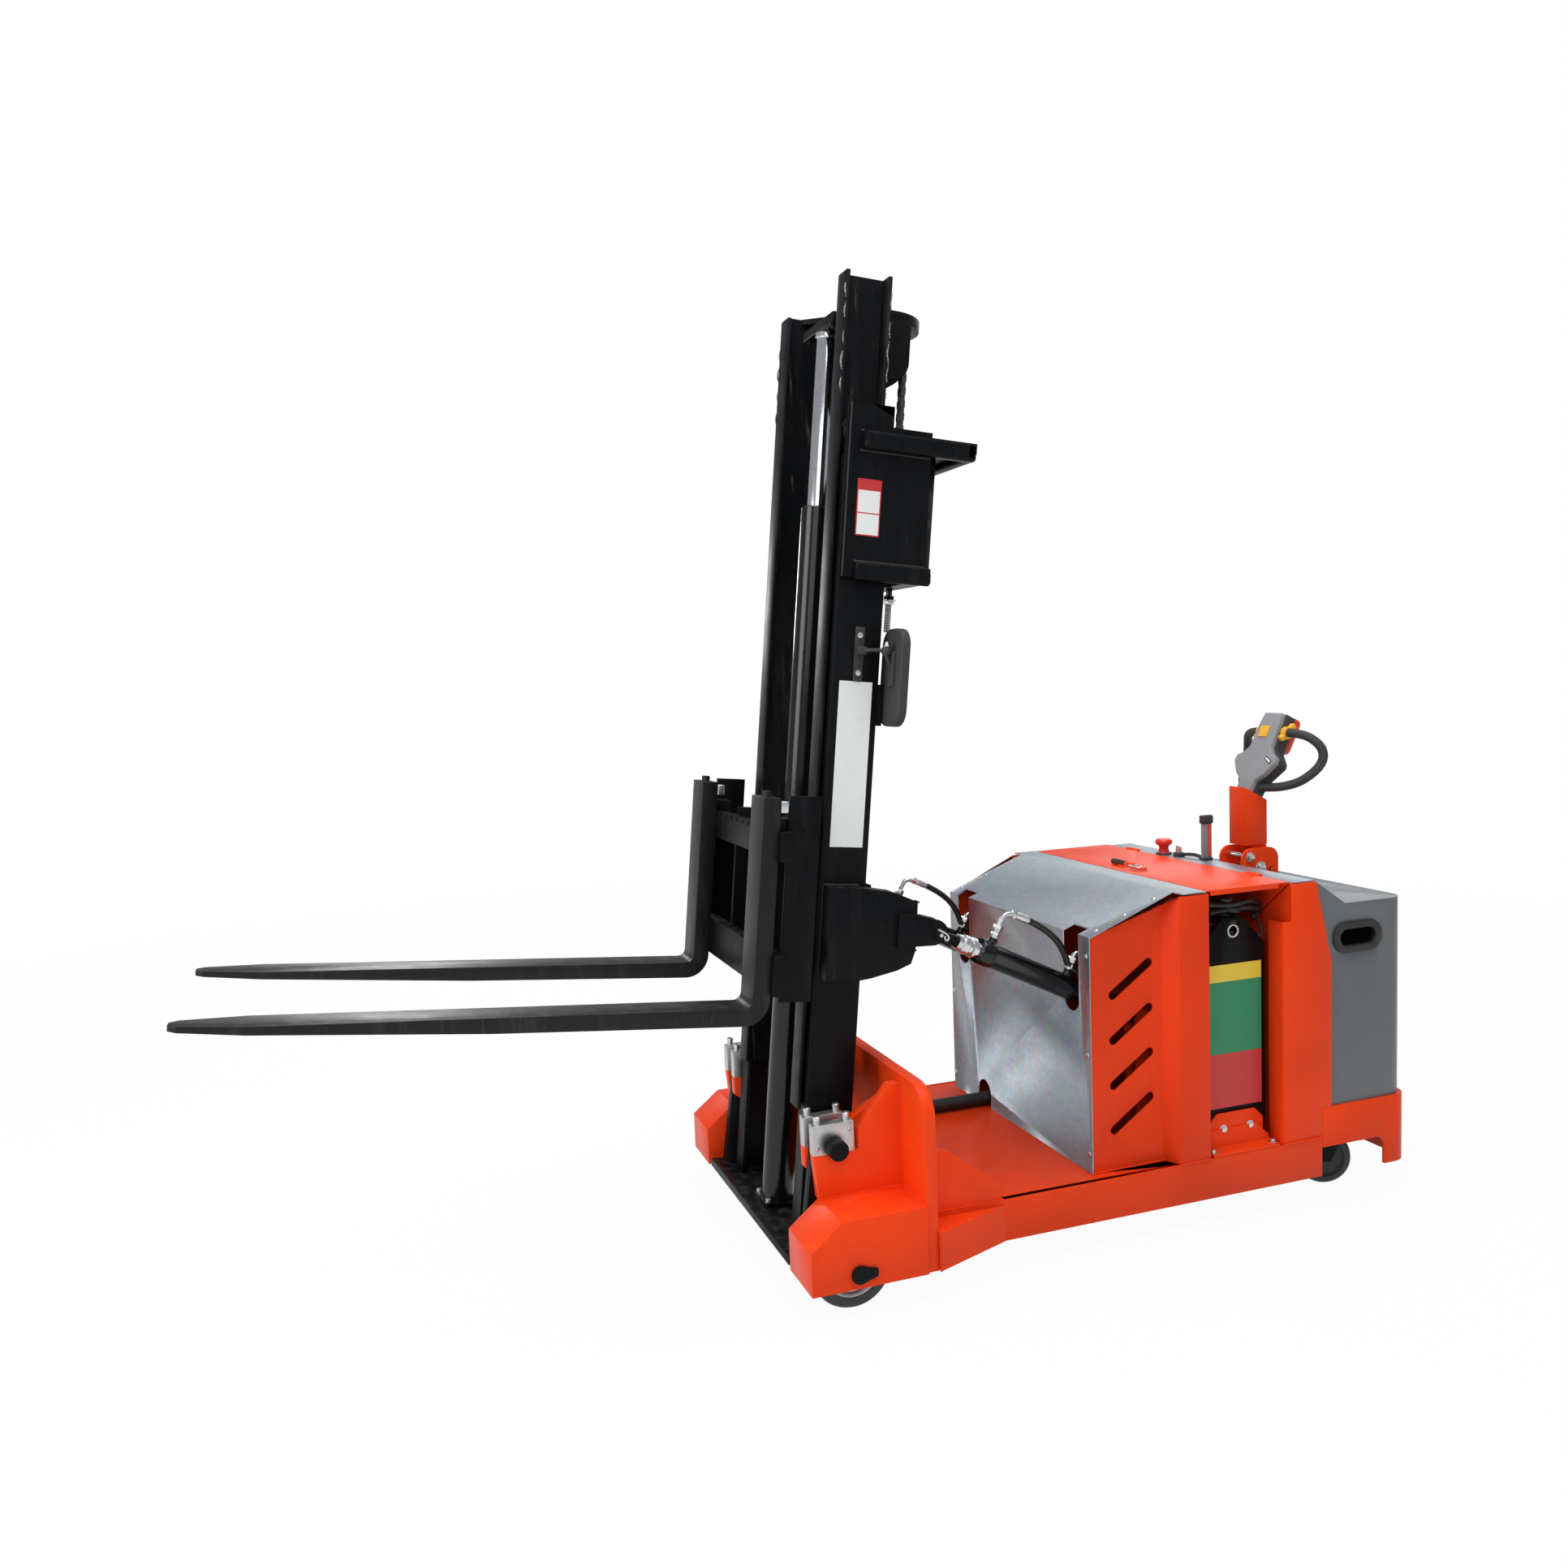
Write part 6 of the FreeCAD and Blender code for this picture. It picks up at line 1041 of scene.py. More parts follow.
@dataclass
class BearingBlocks:
    """Split caps of the mast's pivot with their screws, and the pins' dark ends."""

    inner: float = 276.0
    outer: float = 342.0
    thick: float = 28.0
    rear: float = 643.3
    front: float = 747.3

    def build(self) -> None:
        """Builds the caps, their screws, small domed heads and the pin ends."""
        SHOP.softened("bearing_caps", CAP_STEEL, 1.2)
        made = Drawing()
        fix = Fastening(made)
        for y in (self.inner, self.outer):
            mid = y + self.thick / 2.0
            for x in (self.rear + 15.0, self.front - 15.0):
                fix.cap_screw((x, mid, 421.0), (0, 0, 1), 9.0, 9.0)
                made.bar(5.5, (x, mid, 408.0), (x, mid, 422.0), 0.0, 20)
        for x, z in ((self.front - 10.0, 354.0), (self.rear + 12.0, 392.0)):
            fix.rivet((x, self.outer + self.thick, z), (0, 1, 0), 5.0)
        made.mirror_across()
        SHOP.piece("cap_screws", made, HOOD, SILVER, "machine")
        pin = Drawing()
        end = self.outer + self.thick
        pin.lathe([(0, 0), (24.5, 0), (24.5, 34.0), (22.0, 37.0), (8.0, 37.0), (6.0, 34.0), (0, 34.0)],
                  (PIVOT[0], end + 0.4, PIVOT[2]), (0, 1, 0), 48)
        pin.mirror_across()
        SHOP.piece("pivot_pin_ends", pin, HOOD, BLACK, "outer_mast")


@dataclass
class LiftRod:
    """Chromed lift rod with its collar, the tube it runs in and the black crosshead."""

    low: float = 1991.0
    top: float = 2017.0
    rod: float = 28.0
    tube: float = 43.0
    foot: float = -275.0
    mouth: float = 1550.0

    def build(self) -> None:
        """Builds the tube, the rod and the crosshead."""
        tube, chrome, black = Drawing(), Drawing(), Drawing()
        long, bore = self.mouth - self.foot, self.rod + 0.6
        tube.lathe([(0, 13.0), (self.tube, 13.0), (self.tube, long - 3.0), (self.tube - 3.0, long),
                    (bore, long),
                    (bore, 24.0), (0, 24.0)], (0, 0, self.foot), (0, 0, 1), 96)
        tube.block((-48.0, 48.0), (-48.0, 48.0), (self.foot, self.foot + 14.0), 1.5)
        SHOP.piece("lift_tube", tube, MAST, BLACK_GLOSS, "outer_mast", ("lift_barrel",))
        chrome.bar(self.rod, (0, 0, 250.0), (0, 0, self.low - 13.0), 1.0, 96)
        chrome.lathe([(26.0, 0.0), (31.0, 0.0), (32.0, 1.0), (32.0, 12.5), (31.0, 13.5), (26.0, 13.5)],
                     (0, 0, self.low - 13.6), (0, 0, 1), 64)
        black.block((2.0, 30.0), (-107.0, 107.0), (self.low, self.top), 3.0, 3)
        black.block((-60.0, 6.0), (-60.0, 60.0), (self.low, self.top), 3.0, 3)
        fix = Fastening(black)
        for y in (-86.0, 86.0):
            fix.hex_head((16.0, y, self.low), (0, 0, -1), 17.0, 9.0)
        SHOP.piece("lift_shaft", chrome, MAST, CHROME, "inner_mast", ("lift_rod",))
        SHOP.piece("crosshead", black, MAST, BLACK, "inner_mast")


@dataclass
class TiltCylinder:
    """One tilt cylinder: barrel with weld rings and ports, silver fittings, hose and chromed rod."""

    side: Side
    eye: Point = (-200.0, 300.0, 538.0)
    span: float = 649.54
    angle: float = 26.19
    barrel_end: float = 520.5

    def build(self) -> None:
        """Builds the barrel, the fittings, the hose and the rod."""
        x, y, z = self.eye
        place = HOOD.leaned((x, self.side.value * y, z), self.angle)
        body = f"tilt_cylinder_{self.side.word}"
        self.barrel(place, body)
        self.fittings(place, body)
        self.rod(place, f"tilt_piston_{self.side.word}")

    def barrel(self, place: Place, body: str) -> None:
        """Barrel, rear eye and gland."""
        made = Drawing()
        end = self.barrel_end
        profile = [(0, 22.0), (22.0, 24.0), (28.0, 30.0), (30.0, 34.0), (30.0, 482.0), (31.5, 484.0),
                   (31.5, 488.0),
                   (33.8, 490.0), (33.8, end - 3.0), (31.5, end), (19.4, end), (19.4, end - 20.0),
                   (0, end - 20.0)]
        made.lathe(profile, (0, 0, 0), (1, 0, 0), 64)
        made.lathe(both_ways([(12.2, 14.0), (23.0, 14.0), (24.0, 13.0)]), (0, 0, 0), (0, 1, 0), 48)
        for s in (490.0, 253.0):
            made.bar(13.0, (s, 0, 26.0), (s, 0, 44.0), 1.5, 32, 11.0)
        for s in (36.0, 478.0):
            made.lathe([(29.0, 0.0), (32.0, 2.0), (32.6, 4.0), (32.0, 6.0), (29.0, 8.0)], (s, 0, 0),
                       (1, 0, 0), 64)
        SHOP.piece(f"barrel_{self.side.word}", made, place, BLACK_GLOSS, body,
                   (f"tilt_barrel_{self.side.word}",))

    def fittings(self, place: Place, body: str) -> None:
        """Silver adapters, elbows and ferrules, and the black hose."""
        made = Drawing()
        for s in (490.0, 253.0):
            made.bar(9.0, (s, 0, 42.0), (s, 0, 50.0), 0.8, 24)
            made.bar(12.2, (s, 0, 47.0), (s, 0, 58.0), 1.2, 6)
            made.bar(8.0, (s, 0, 56.0), (s, 0, 63.0), 0.6, 24)
            made.bar(13.0, (s, 0, 62.0), (s, 0, 78.0), 1.4, 6)
        made.tube([(490, 0, 76), (490, 0, 98), (482, 0, 112), (462, 0, 118), (440, 0, 119)], 6.5)
        made.bar(9.6, (456, 0, 118.2), (416, 0, 118.6), 1.5, 32)
        for s in (424.0, 432.0, 440.0):
            made.lathe([(9.0, -1.6), (10.6, -1.2), (10.6, 1.2), (9.0, 1.6)], (s, 0, 118.5), (1, 0, 0), 32)
        made.bar(11.0, (466, 0, 117.6), (456, 0, 118.2), 1.2, 6)
        made.tube([(253, 0, 76), (253, 0, 84), (246, 0, 92), (230, 0, 94), (216, 0, 93)], 6.5)
        SHOP.piece(f"fittings_{self.side.word}", made, place, SILVER, body)
        hose = Drawing()
        hose.tube([(420, 0, 118.6), (395, 0, 118), (350, 0, 112), (310, 0, 98), (278, 0, 74), (262, 0, 56),
                   (235, 8, 46), (190, 14, 44), (150, 16, 43)], 8.6)
        hose.tube([(218, 0, 93), (200, 0, 92), (180, 0, 84), (150, 0, 66), (110, 0, 52)], 8.6)
        SHOP.piece(f"hose_{self.side.word}", hose, place, HOSE, body)

    def rod(self, place: Place, body: str) -> None:
        """Chromed rod, collar and the black eye on the bracket's pin."""
        chrome, silver, black = Drawing(), Drawing(), Drawing()
        far, near = self.span - 92.0, self.span - 78.0
        chrome.bar(19.0, (self.span - 319.0, 0, 0), (far + 2.0, 0, 0), 1.0, 64)
        SHOP.piece(f"rod_{self.side.word}", chrome, place, CHROME, body, (f"tilt_rod_{self.side.word}",))
        silver.lathe([(0, far - 6.0), (22.0, far - 6.0), (24.0, far - 4.0), (24.0, near - 2.0), (22.0, near),
                      (20.0, near), (20.0, near + 14.0), (0, near + 14.0)], (0, 0, 0), (1, 0, 0), 64)
        silver.lathe([(18.5, 0.0), (25.5, 1.0), (25.5, 9.0), (18.5, 10.0)], (far - 24.0, 0, 0), (1, 0, 0), 64)
        SHOP.piece(f"rod_collar_{self.side.word}", silver, place, SILVER, body)
        black.bar(15.0, (near + 8.0, 0, 0), (self.span - 14.0, 0, 0), 1.0, 48, 11.4)
        black.lathe(both_ways([(13.8, 11.4), (27.0, 11.4), (28.0, 10.4)]), (self.span, 0, 0), (0, 1, 0), 48)
        SHOP.piece(f"rod_eye_{self.side.word}", black, place, BLACK, body)


@dataclass
class TiltPins:
    """Heads of the pins in the tilt brackets, each with its bent locking wire."""

    u: float = -263.0
    w: float = 499.5
    face: float = 334.5

    def build(self) -> None:
        """Builds heads and locking pins on both sides."""
        head, lock = Drawing(), Drawing()
        head.lathe([(0, -8.0), (15.0, -8.0), (16.2, -7.0), (16.2, 0.5), (15.0, 1.8), (0, 1.8)],
                   (self.u, self.face, self.w), (0, 1, 0), 48)
        y = self.face + 5.0
        lock.tube([(self.u + 12, y, self.w + 14), (self.u + 2, y, self.w + 10), (self.u - 14, y, self.w + 2),
                   (self.u - 20, y, self.w - 6), (self.u - 16, y, self.w - 14), (self.u - 8, y, self.w - 10),
                   (self.u - 8, y, self.w - 2)], 2.6)
        lock.bar(5.0, (self.u + 2, self.face, self.w), (self.u + 2, y + 3.0, self.w), 1.0, 24)
        for drawing in (head, lock):
            drawing.mirror_across()
        SHOP.piece("tilt_pin_heads", head, MAST, BLACK, "outer_mast")
        SHOP.piece("tilt_pin_locks", lock, MAST, SILVER, "outer_mast")


@dataclass
class HoodTrim:
    """Screws, latch, hinges, sleeved hoses and welds of the hood and the frame."""

    half: float = 385.5

    def build(self) -> None:
        """Builds the hood's small parts."""
        self.screws()
        self.latch()
        self.hinges()
        self.hoses()
        self.welds()

    def screws(self) -> None:
        """Screws along the front sheet's sides and the slope's edges."""
        made = Drawing()
        fix = Fastening(made)
        for z in (735.0, 480.0, 222.0):
            fix.rivet((0.0, self.half - 14.0, z), (1, 0, 0), 6.5)
        rise = (94.0 / 267.1, 0.0, 250.0 / 267.1)
        for x in (-32.0, -116.0, -204.0):
            fix.rivet((x, self.half - 16.0, 786.0 - x * 0.376), rise, 6.0)
        for x, z in ((-352.0, 182.0), (-540.0, 182.0)):
            fix.hex_head((x, 408.0, z - 1.0), (0, 0, 1), 14.0, 9.0)
        made.mirror_across()
        SHOP.piece("hood_screws", made, HOOD, SILVER, "machine")

    def latch(self) -> None:
        """Over-centre latch on the lid: rubber grip, wire bow and base."""
        grip, metal = Drawing(), Drawing()
        z = 880.0
        grip.bar(8.5, (-378, -74, z + 9.0), (-378, -8, z + 9.0), 3.0, 32, segments=3)
        metal.block((-394.0, -362.0), (6.0, 76.0), (z, z + 2.5), 1.0)
        metal.tube([(-378, -10, z + 9), (-378, 6, z + 9), (-370, 18, z + 9), (-366, 46, z + 8),
                    (-372, 62, z + 7),
                    (-384, 62, z + 7), (-390, 46, z + 8), (-386, 18, z + 9), (-378, 6, z + 9)], 2.6)
        metal.block((-386.0, -370.0), (18.0, 34.0), (z + 1.0, z + 12.0), 2.0)
        fix = Fastening(metal)
        for y in (12.0, 70.0):
            fix.rivet((-388.0, y, z + 2.5), (0, 0, 1), 3.4)
            fix.rivet((-368.0, y, z + 2.5), (0, 0, 1), 3.4)
        SHOP.piece("latch_grip", grip, HOOD, RUBBER, "lid")
        SHOP.piece("latch_metal", metal, HOOD, SILVER, "lid")

    def hinges(self) -> None:
        """Knuckles of the lid's hinges."""
        made = Drawing()
        for y in (-280.0, 280.0):
            for step in range(3):
                start = y - 30.0 + step * 20.0
                made.bar(6.6, (-588.0, start + 0.5, 879.0), (-588.0, start + 19.5, 879.0), 1.0, 24)
        SHOP.piece("lid_knuckles", made, HOOD, ORANGE, "lid")

    def hoses(self) -> None:
        """Sleeved hoses on the deck, from the hood's arch to the wall behind the mast."""
        made = Drawing()
        made.tube([(-58, -190, 193.6), (40, -189.6, 193.4), (180, -190.4, 193.3), (330, -189.7, 193.4),
                   (489, -190, 193.6)], 19.8, sides=10)
        SHOP.piece("sleeved_hoses", made, HOOD, SLEEVE, "machine", ("deck_hose",))

    def welds(self) -> None:
        """Painted welds where the plates meet."""
        made = Drawing()
        weld = Fastening(made)
        weld.beads((
            ((-216, 384, 174), (-2, 384, 174), 3.0),
            ((-330, 427, 174), (-240, 427, 174), 2.6),
            ((282, 427, 174), (490, 427, 174), 3.0),
            ((282, 413, 174), (490, 413, 174), 3.0),
            ((489, 427, 174), (489, 427, 322), 3.0),
            ((521, 371, 231), (736, 371, 231), 3.2),
            ((521, 341, 232), (521, 341, 484), 2.8),
            ((521, 371, 232), (521, 371, 484), 3.0),
            ((489, 430, 161), (489, 504, 161), 3.2),
            ((489, 506, 68), (489, 506, 158), 3.0),
            ((521, 500, 229), (521, 380, 231), 3.0),
            ((-563, 428, 175), (-690, 428, 175), 2.6),
        ))
        made.mirror_across()
        weld.bead((489, -410, 174), (489, 410, 174), 3.0)
        SHOP.piece("frame_welds", made, HOOD, ORANGE, "machine", tidy=False)


@dataclass
class BatteryTrim:
    """Bare coloured film, lifting rims, retainers and leads of the battery."""

    face: float = 370.0
    rear: float = -537.0
    front: float = -365.0

    def build(self) -> None:
        """Builds the battery's visible parts. The film is on the left side alone."""
        SHOP.softened("battery_lifting_plates", BLACK, 1.0)
        bands = (("film_yellow", 621.0, 667.0, YELLOW_LABEL), ("film_green", 427.0, 621.0, GREEN_LABEL),
                 ("film_red", 280.0, 427.0, RED_LABEL))
        for name, low, high, finish in bands:
            made = Drawing()
            made.block((self.rear, self.front), (self.face, self.face + 0.6), (low, high), 0.2, 1)
            SHOP.piece(name, made, HOOD, finish, "machine")
        ring = Drawing()
        ring.lathe([(13.0, 0.0), (18.5, 0.0), (19.0, 2.0), (17.0, 4.4), (14.4, 4.6), (13.0, 3.0)],
                   (-446.0, self.face, 755.0), (0, 1, 0), 48)
        ring.mirror_across()
        SHOP.piece("lifting_rims", ring, HOOD, CAP_STEEL, "machine")
        self.retainers()
        self.leads()

    def retainers(self) -> None:
        """Upright plates at the bay's feet that hold the battery, each with two screws."""
        plate, screws = Drawing(), Drawing()
        low, high, cut, y = 176.0, 268.0, 26.0, self.face + 1.0
        outline = [(self.rear + 2.0, y, low), (self.front + 2.0, y, low), (self.front + 2.0, y, high - cut),
                   (self.front + 2.0 - cut, y, high), (self.rear + 2.0 + cut, y, high),
                   (self.rear + 2.0, y, high - cut)]
        plate.sheet(outline, (0.0, 6.0, 0.0), 1.2)
        for x in (self.rear + 45.0, self.front - 41.0):
            Fastening(screws).hex_head((x, y + 6.0, 226.0), (0, 1, 0), 15.0, 8.0)
        plate.mirror_across()
        screws.mirror_across()
        SHOP.piece("battery_retainers", plate, HOOD, ORANGE, "machine")
        SHOP.piece("retainer_screws", screws, HOOD, SILVER, "machine")

    def leads(self) -> None:
        """Cables folded to and fro on the cells, and one hanging loop."""
        made = Drawing()
        rows = ((-380.0, 738.0, 11.0), (-410.0, 742.0, 12.0), (-446.0, 744.0, 13.0), (-482.0, 742.0, 12.0),
                (-514.0, 738.0, 11.0), (-395.0, 770.0, 12.0), (-430.0, 776.0, 12.5), (-468.0, 777.0, 12.5),
                (-502.0, 772.0, 12.0), (-412.0, 804.0, 12.0), (-448.0, 808.0, 12.5), (-484.0, 804.0, 12.0),
                (-430.0, 834.0, 11.0), (-466.0, 835.0, 11.0))
        for index, (x, z, r) in enumerate(rows):
            sway = 16.0 * math.sin(index * 2.1)
            end = 320.0 + 14.0 * math.sin(index * 1.3)
            made.tube([(x, -end, z), (x + sway, -end * 0.6, z - 4.0), (x - sway, -end * 0.2, z + 3.0),
                       (x + sway, end * 0.25, z - 2.0), (x - sway, end * 0.65, z + 4.0), (x, end, z)], r)
            if index % 2 == 0 and index + 1 < len(rows):
                nx, nz, _ = rows[index + 1]
                made.tube([(x, end - 4.0, z), (x, end + 26.0, z), (nx, end + 26.0, nz),
                           (nx, end - 4.0, nz)], r)
        made.tube([(-400, 335, 800), (-470, 352, 812), (-540, 350, 806), (-556, 340, 790),
                   (-540, 335, 776)], 10.0)
        made.tube([(-390, 340, 826), (-450, 356, 818), (-520, 356, 832), (-552, 346, 812)], 9.0)
        made.tube([(-540, 340, 800), (-533, 368, 770), (-540, 373, 744), (-531, 374, 732),
                   (-523, 374, 742)], 3.5)
        SHOP.piece("folded_leads", made, HOOD, HOSE, "machine", ("battery_leads",))


@dataclass
class ConsoleControls:
    """Stop button, key switch and the lift lever."""

    top: float = 877.0

    def build(self) -> None:
        """Builds the controls."""
        z = self.top
        red, black, silver = Drawing(), Drawing(), Drawing()
        red.lathe([(0, 2.0), (18.0, 2.0), (16.5, 8.0), (14.0, 22.0), (16.0, 27.0), (24.5, 33.0), (26.0, 38.0),
                   (24.5, 44.0), (20.0, 47.6), (0, 48.0)], (-620, -165, z), (0, 0, 1), 48)
        black.lathe([(0, 0), (24.0, 0), (24.0, 3.0), (22.0, 5.0), (0, 5.0)], (-620, -165, z), (0, 0, 1), 48)
        black.lathe([(0, 0), (17.0, 0), (16.0, 10.0), (13.0, 13.0), (0, 13.0)], (-630, -105, z), (0, 0, 1),
                    40)
        silver.block((-633.0, -627.0), (-117.0, -93.0), (z + 12.0, z + 32.0), 2.4, 3)
        silver.lathe([(0, 12.0), (8.0, 12.0), (8.0, 14.5), (0, 14.5)], (-630, -105, z), (0, 0, 1), 32)
        black.tube([(-634, -88, z + 8), (-638, -62, z + 12), (-646, -36, z + 11), (-652, -14, z + 4)], 5.0)
        black.block((-668.0, -640.0), (-24.0, 8.0), (z, z + 9.0), 3.0, 3)
        stem = Drawing()
        stem.block((-672.0, -640.0), (-13.0, -3.0), (z + 4.0, z + 114.0), 2.0, 3)
        cap = Drawing()
        cap.block((-675.5, -636.5), (-17.5, 1.5), (z + 108.0, z + 133.0), 4.5, 4)
        stripe = Drawing()
        stripe.block((-667.0, -657.0), (-3.2, -2.0), (z + 12.0, z + 106.0), 0.4, 1)
        SHOP.piece("stop_button", red, HOOD, PLASTIC_RED, "machine", ("console_controls",))
        for name, drawing, finish in (("switch_bodies", black, PLASTIC_BLACK), ("key", silver, SILVER),
                                      ("lift_lever", stem, PLASTIC_GREY), ("lever_cap", cap, PLASTIC_BLACK),
                                      ("lever_stripe", stripe, PLASTIC_RED)):
            SHOP.piece(name, drawing, HOOD, finish, "machine")


@dataclass
class Tiller:
    """Control head, grips and the pins of the folding arm."""

    base: Point = (-800.0, 0.0, 1062.0)
    lean: float = 27.0

    def build(self) -> None:
        """Builds the head, its controls, the grips and the pins."""
        place = HOOD.leaned(self.base, self.lean)
        self.head(place)
        self.controls(place)
        self.grips(place)
        self.pins()

    def across(self, x: float, half: Sequence[Point]) -> list[Point]:
        """Outline of the head at a distance along X, from its left half as (y, z)."""
        return [(x, y, z) for y, z in half] + [(x, -y, z) for y, z in reversed(half)]

    def head(self, place: Place) -> None:
        """Grey face shell on a black body."""
        half = [(29.0, 2.0), (32.0, 38.0), (60.0, 58.0), (88.0, 96.0), (85.0, 116.0), (62.0, 126.0),
                (45.0, 146.0),
                (42.0, 190.0), (42.0, 222.0), (36.0, 256.0)]
        grey, black = Drawing(), Drawing()
        grey.sheet(self.across(8.0, half), (18.0, 0.0, 0.0), 4.0, 4)
        back_half = [(30.0, -4.0), (36.0, 40.0), (84.0, 98.0), (80.0, 112.0), (47.0, 146.0), (45.0, 222.0),
                     (38.0, 260.0)]
        black.sheet(self.across(-30.0, back_half), (39.0, 0.0, 0.0), 7.0, 4)
        SHOP.piece("head_face", grey, place, PLASTIC_GREY, "tiller", ("tiller_head",))
        SHOP.piece("head_body", black, place, PLASTIC_BLACK, "tiller")

    def controls(self, place: Place) -> None:
        """Belly button, thumb wheels, square button and the slot window."""
        red = Drawing()
        red.block((-66.0, -22.0), (-34.0, 34.0), (150.0, 267.0), 20.0, 6)
        SHOP.piece("belly_button", red, place, PLASTIC_RED, "tiller")
        yellow = Drawing()
        for side in (-1, 1):
            y = side * 53.0
            yellow.bar(19.0, (-4, y - 9.0, 204), (-4, y + 9.0, 204), 4.0, 40, segments=3)
            for lift, reach in ((1.0, 27.0), (-1.0, 22.0)):
                turn = Matrix.Translation((-4, y, 204)) @ Matrix.Rotation(math.radians(-24.0), 4, "Y")
                yellow.block((-8.0, 10.0), (-9.0, 9.0), tuple(sorted((lift * 8.0, lift * (8.0 + reach)))),
                             5.0, 3, turn)
            yellow.block((-46.0, -14.0), (y - 7.0, y + 7.0), (214.0, 226.0), 4.0, 3)
        yellow.block((24.0, 30.0), (-24.0, 12.0), (176.0, 212.0), 2.0, 3)
        SHOP.piece("thumb_wheels", yellow, place, PLASTIC_YELLOW, "tiller")
        slot = Drawing()
        turn = Matrix.Translation((26.2, 58.0, 104.0)) @ Matrix.Rotation(math.radians(-28.0), 4, "X")
        slot.block((-1.0, 0.8), (-17.0, 17.0), (-6.0, 6.0), 1.0, 2, turn)
        SHOP.piece("slot_frame", slot, place, PLASTIC_BLACK, "tiller")
        lit = Drawing()
        lit.block((0.0, 1.6), (-12.0, 13.0), (-3.0, 3.0), 0.8, 2, turn)
        SHOP.piece("slot_window", lit, place, WHITE_LABEL, "tiller")

    def grips(self, place: Place) -> None:
        """Round loop handles."""
        made = Drawing()
        made.tube([(-4, 52, 205), (-6, 86, 206), (-20, 134, 202), (-56, 162, 182), (-74, 162, 140),
                   (-58, 130, 78),
                   (-34, 88, 46), (-12, 50, 32), (-2, 22, 26)], 13.0, sides=8)
        made.mirror_across()
        SHOP.piece("loop_grips", made, place, PLASTIC_BLACK, "tiller", ("tiller_grips",))

    def pins(self) -> None:
        """Silver pins and nuts in the base's ears."""
        made = Drawing()
        for x, z, r in ((-762.0, 884.0, 7.0), (-800.0, 850.0, 9.0)):
            made.bar(r + 0.3, (x, -58, z), (x, 58, z), 1.0, 32)
            for side in (-1, 1):
                Fastening(made).hex_head((x, side * 52.0, z), (0, side, 0), r * 2.6, 11.0)
        SHOP.piece("tiller_pins", made, HOOD, SILVER, "steering")
        dark = Drawing()
        for side in (-1, 1):
            Fastening(dark).rivet((-842.0, side * 52.0, 841.0), (0, side, 0), 11.0)
        SHOP.piece("fold_pin_ends", dark, HOOD, BLACK, "steering")


@dataclass
class Wheels:
    """Front wheels and caster wheels with their treads and hubs."""

    axle: Point = (694.0, 430.5, 100.0)
    swivel: Point = (-797.0, 334.0, 75.0)
    trail: float = 22.0
    caster_turn: float = -25.0

    def build(self) -> None:
        """Builds each wheel over its CAD node."""
        for side in Side:
            self.front(side)
            self.caster(side)

    def wheel(self, kind: str, side: Side, body: str, hub: Finish, tread: Drawing, core: Drawing) -> None:
        """Makes the two pieces of one wheel.

        Args:
            kind: front or caster.
            side: its side.
            body: start of its body's name.
            hub: finish of the core.
            tread: its running ring.
            core: its core.
        """
        word = side.word
        SHOP.piece(f"{kind}_tread_{word}", tread, HOOD, TREAD, f"{body}_{word}", (f"{kind}_wheel_{word}",))
        SHOP.piece(f"{kind}_core_{word}", core, HOOD, hub, f"{body}_{word}")

    def front(self, side: Side) -> None:
        """Tread and core of one front wheel."""
        base = (self.axle[0], side.value * self.axle[1], self.axle[2])
        tread, core = Drawing(), Drawing()
        tread.lathe(both_ways([(72.0, 36.0), (92.0, 36.0), (97.0, 33.0), (100.0, 27.0)]), base, (0, 1, 0), 96)
        core.lathe(both_ways([(17.1, 36.0), (32.0, 36.0), (34.0, 30.0), (62.0, 27.0), (68.0, 34.0),
                              (72.2, 35.0)]),
                   base, (0, 1, 0), 64)
        self.wheel("front", side, "wheel", CAP_STEEL, tread, core)

    def caster(self, side: Side) -> None:
        """Tread and core of one caster wheel."""
        turn = math.radians(self.caster_turn)
        base = (self.swivel[0] + self.trail * math.cos(turn),
                side.value * self.swivel[1] + self.trail * math.sin(turn), self.swivel[2])
        axis = (-math.sin(turn), math.cos(turn), 0.0)
        tread, core = Drawing(), Drawing()
        tread.lathe(both_ways([(56.0, 20.0), (67.0, 20.0), (73.0, 15.0), (75.0, 8.0)]), base, axis, 80)
        core.lathe(both_ways([(8.1, 20.0), (20.0, 20.0), (22.0, 14.0), (50.0, 13.0), (56.2, 19.0)]), base,
                   axis, 64)
        self.wheel("caster", side, "caster_roll", PLASTIC_BLACK, tread, core)


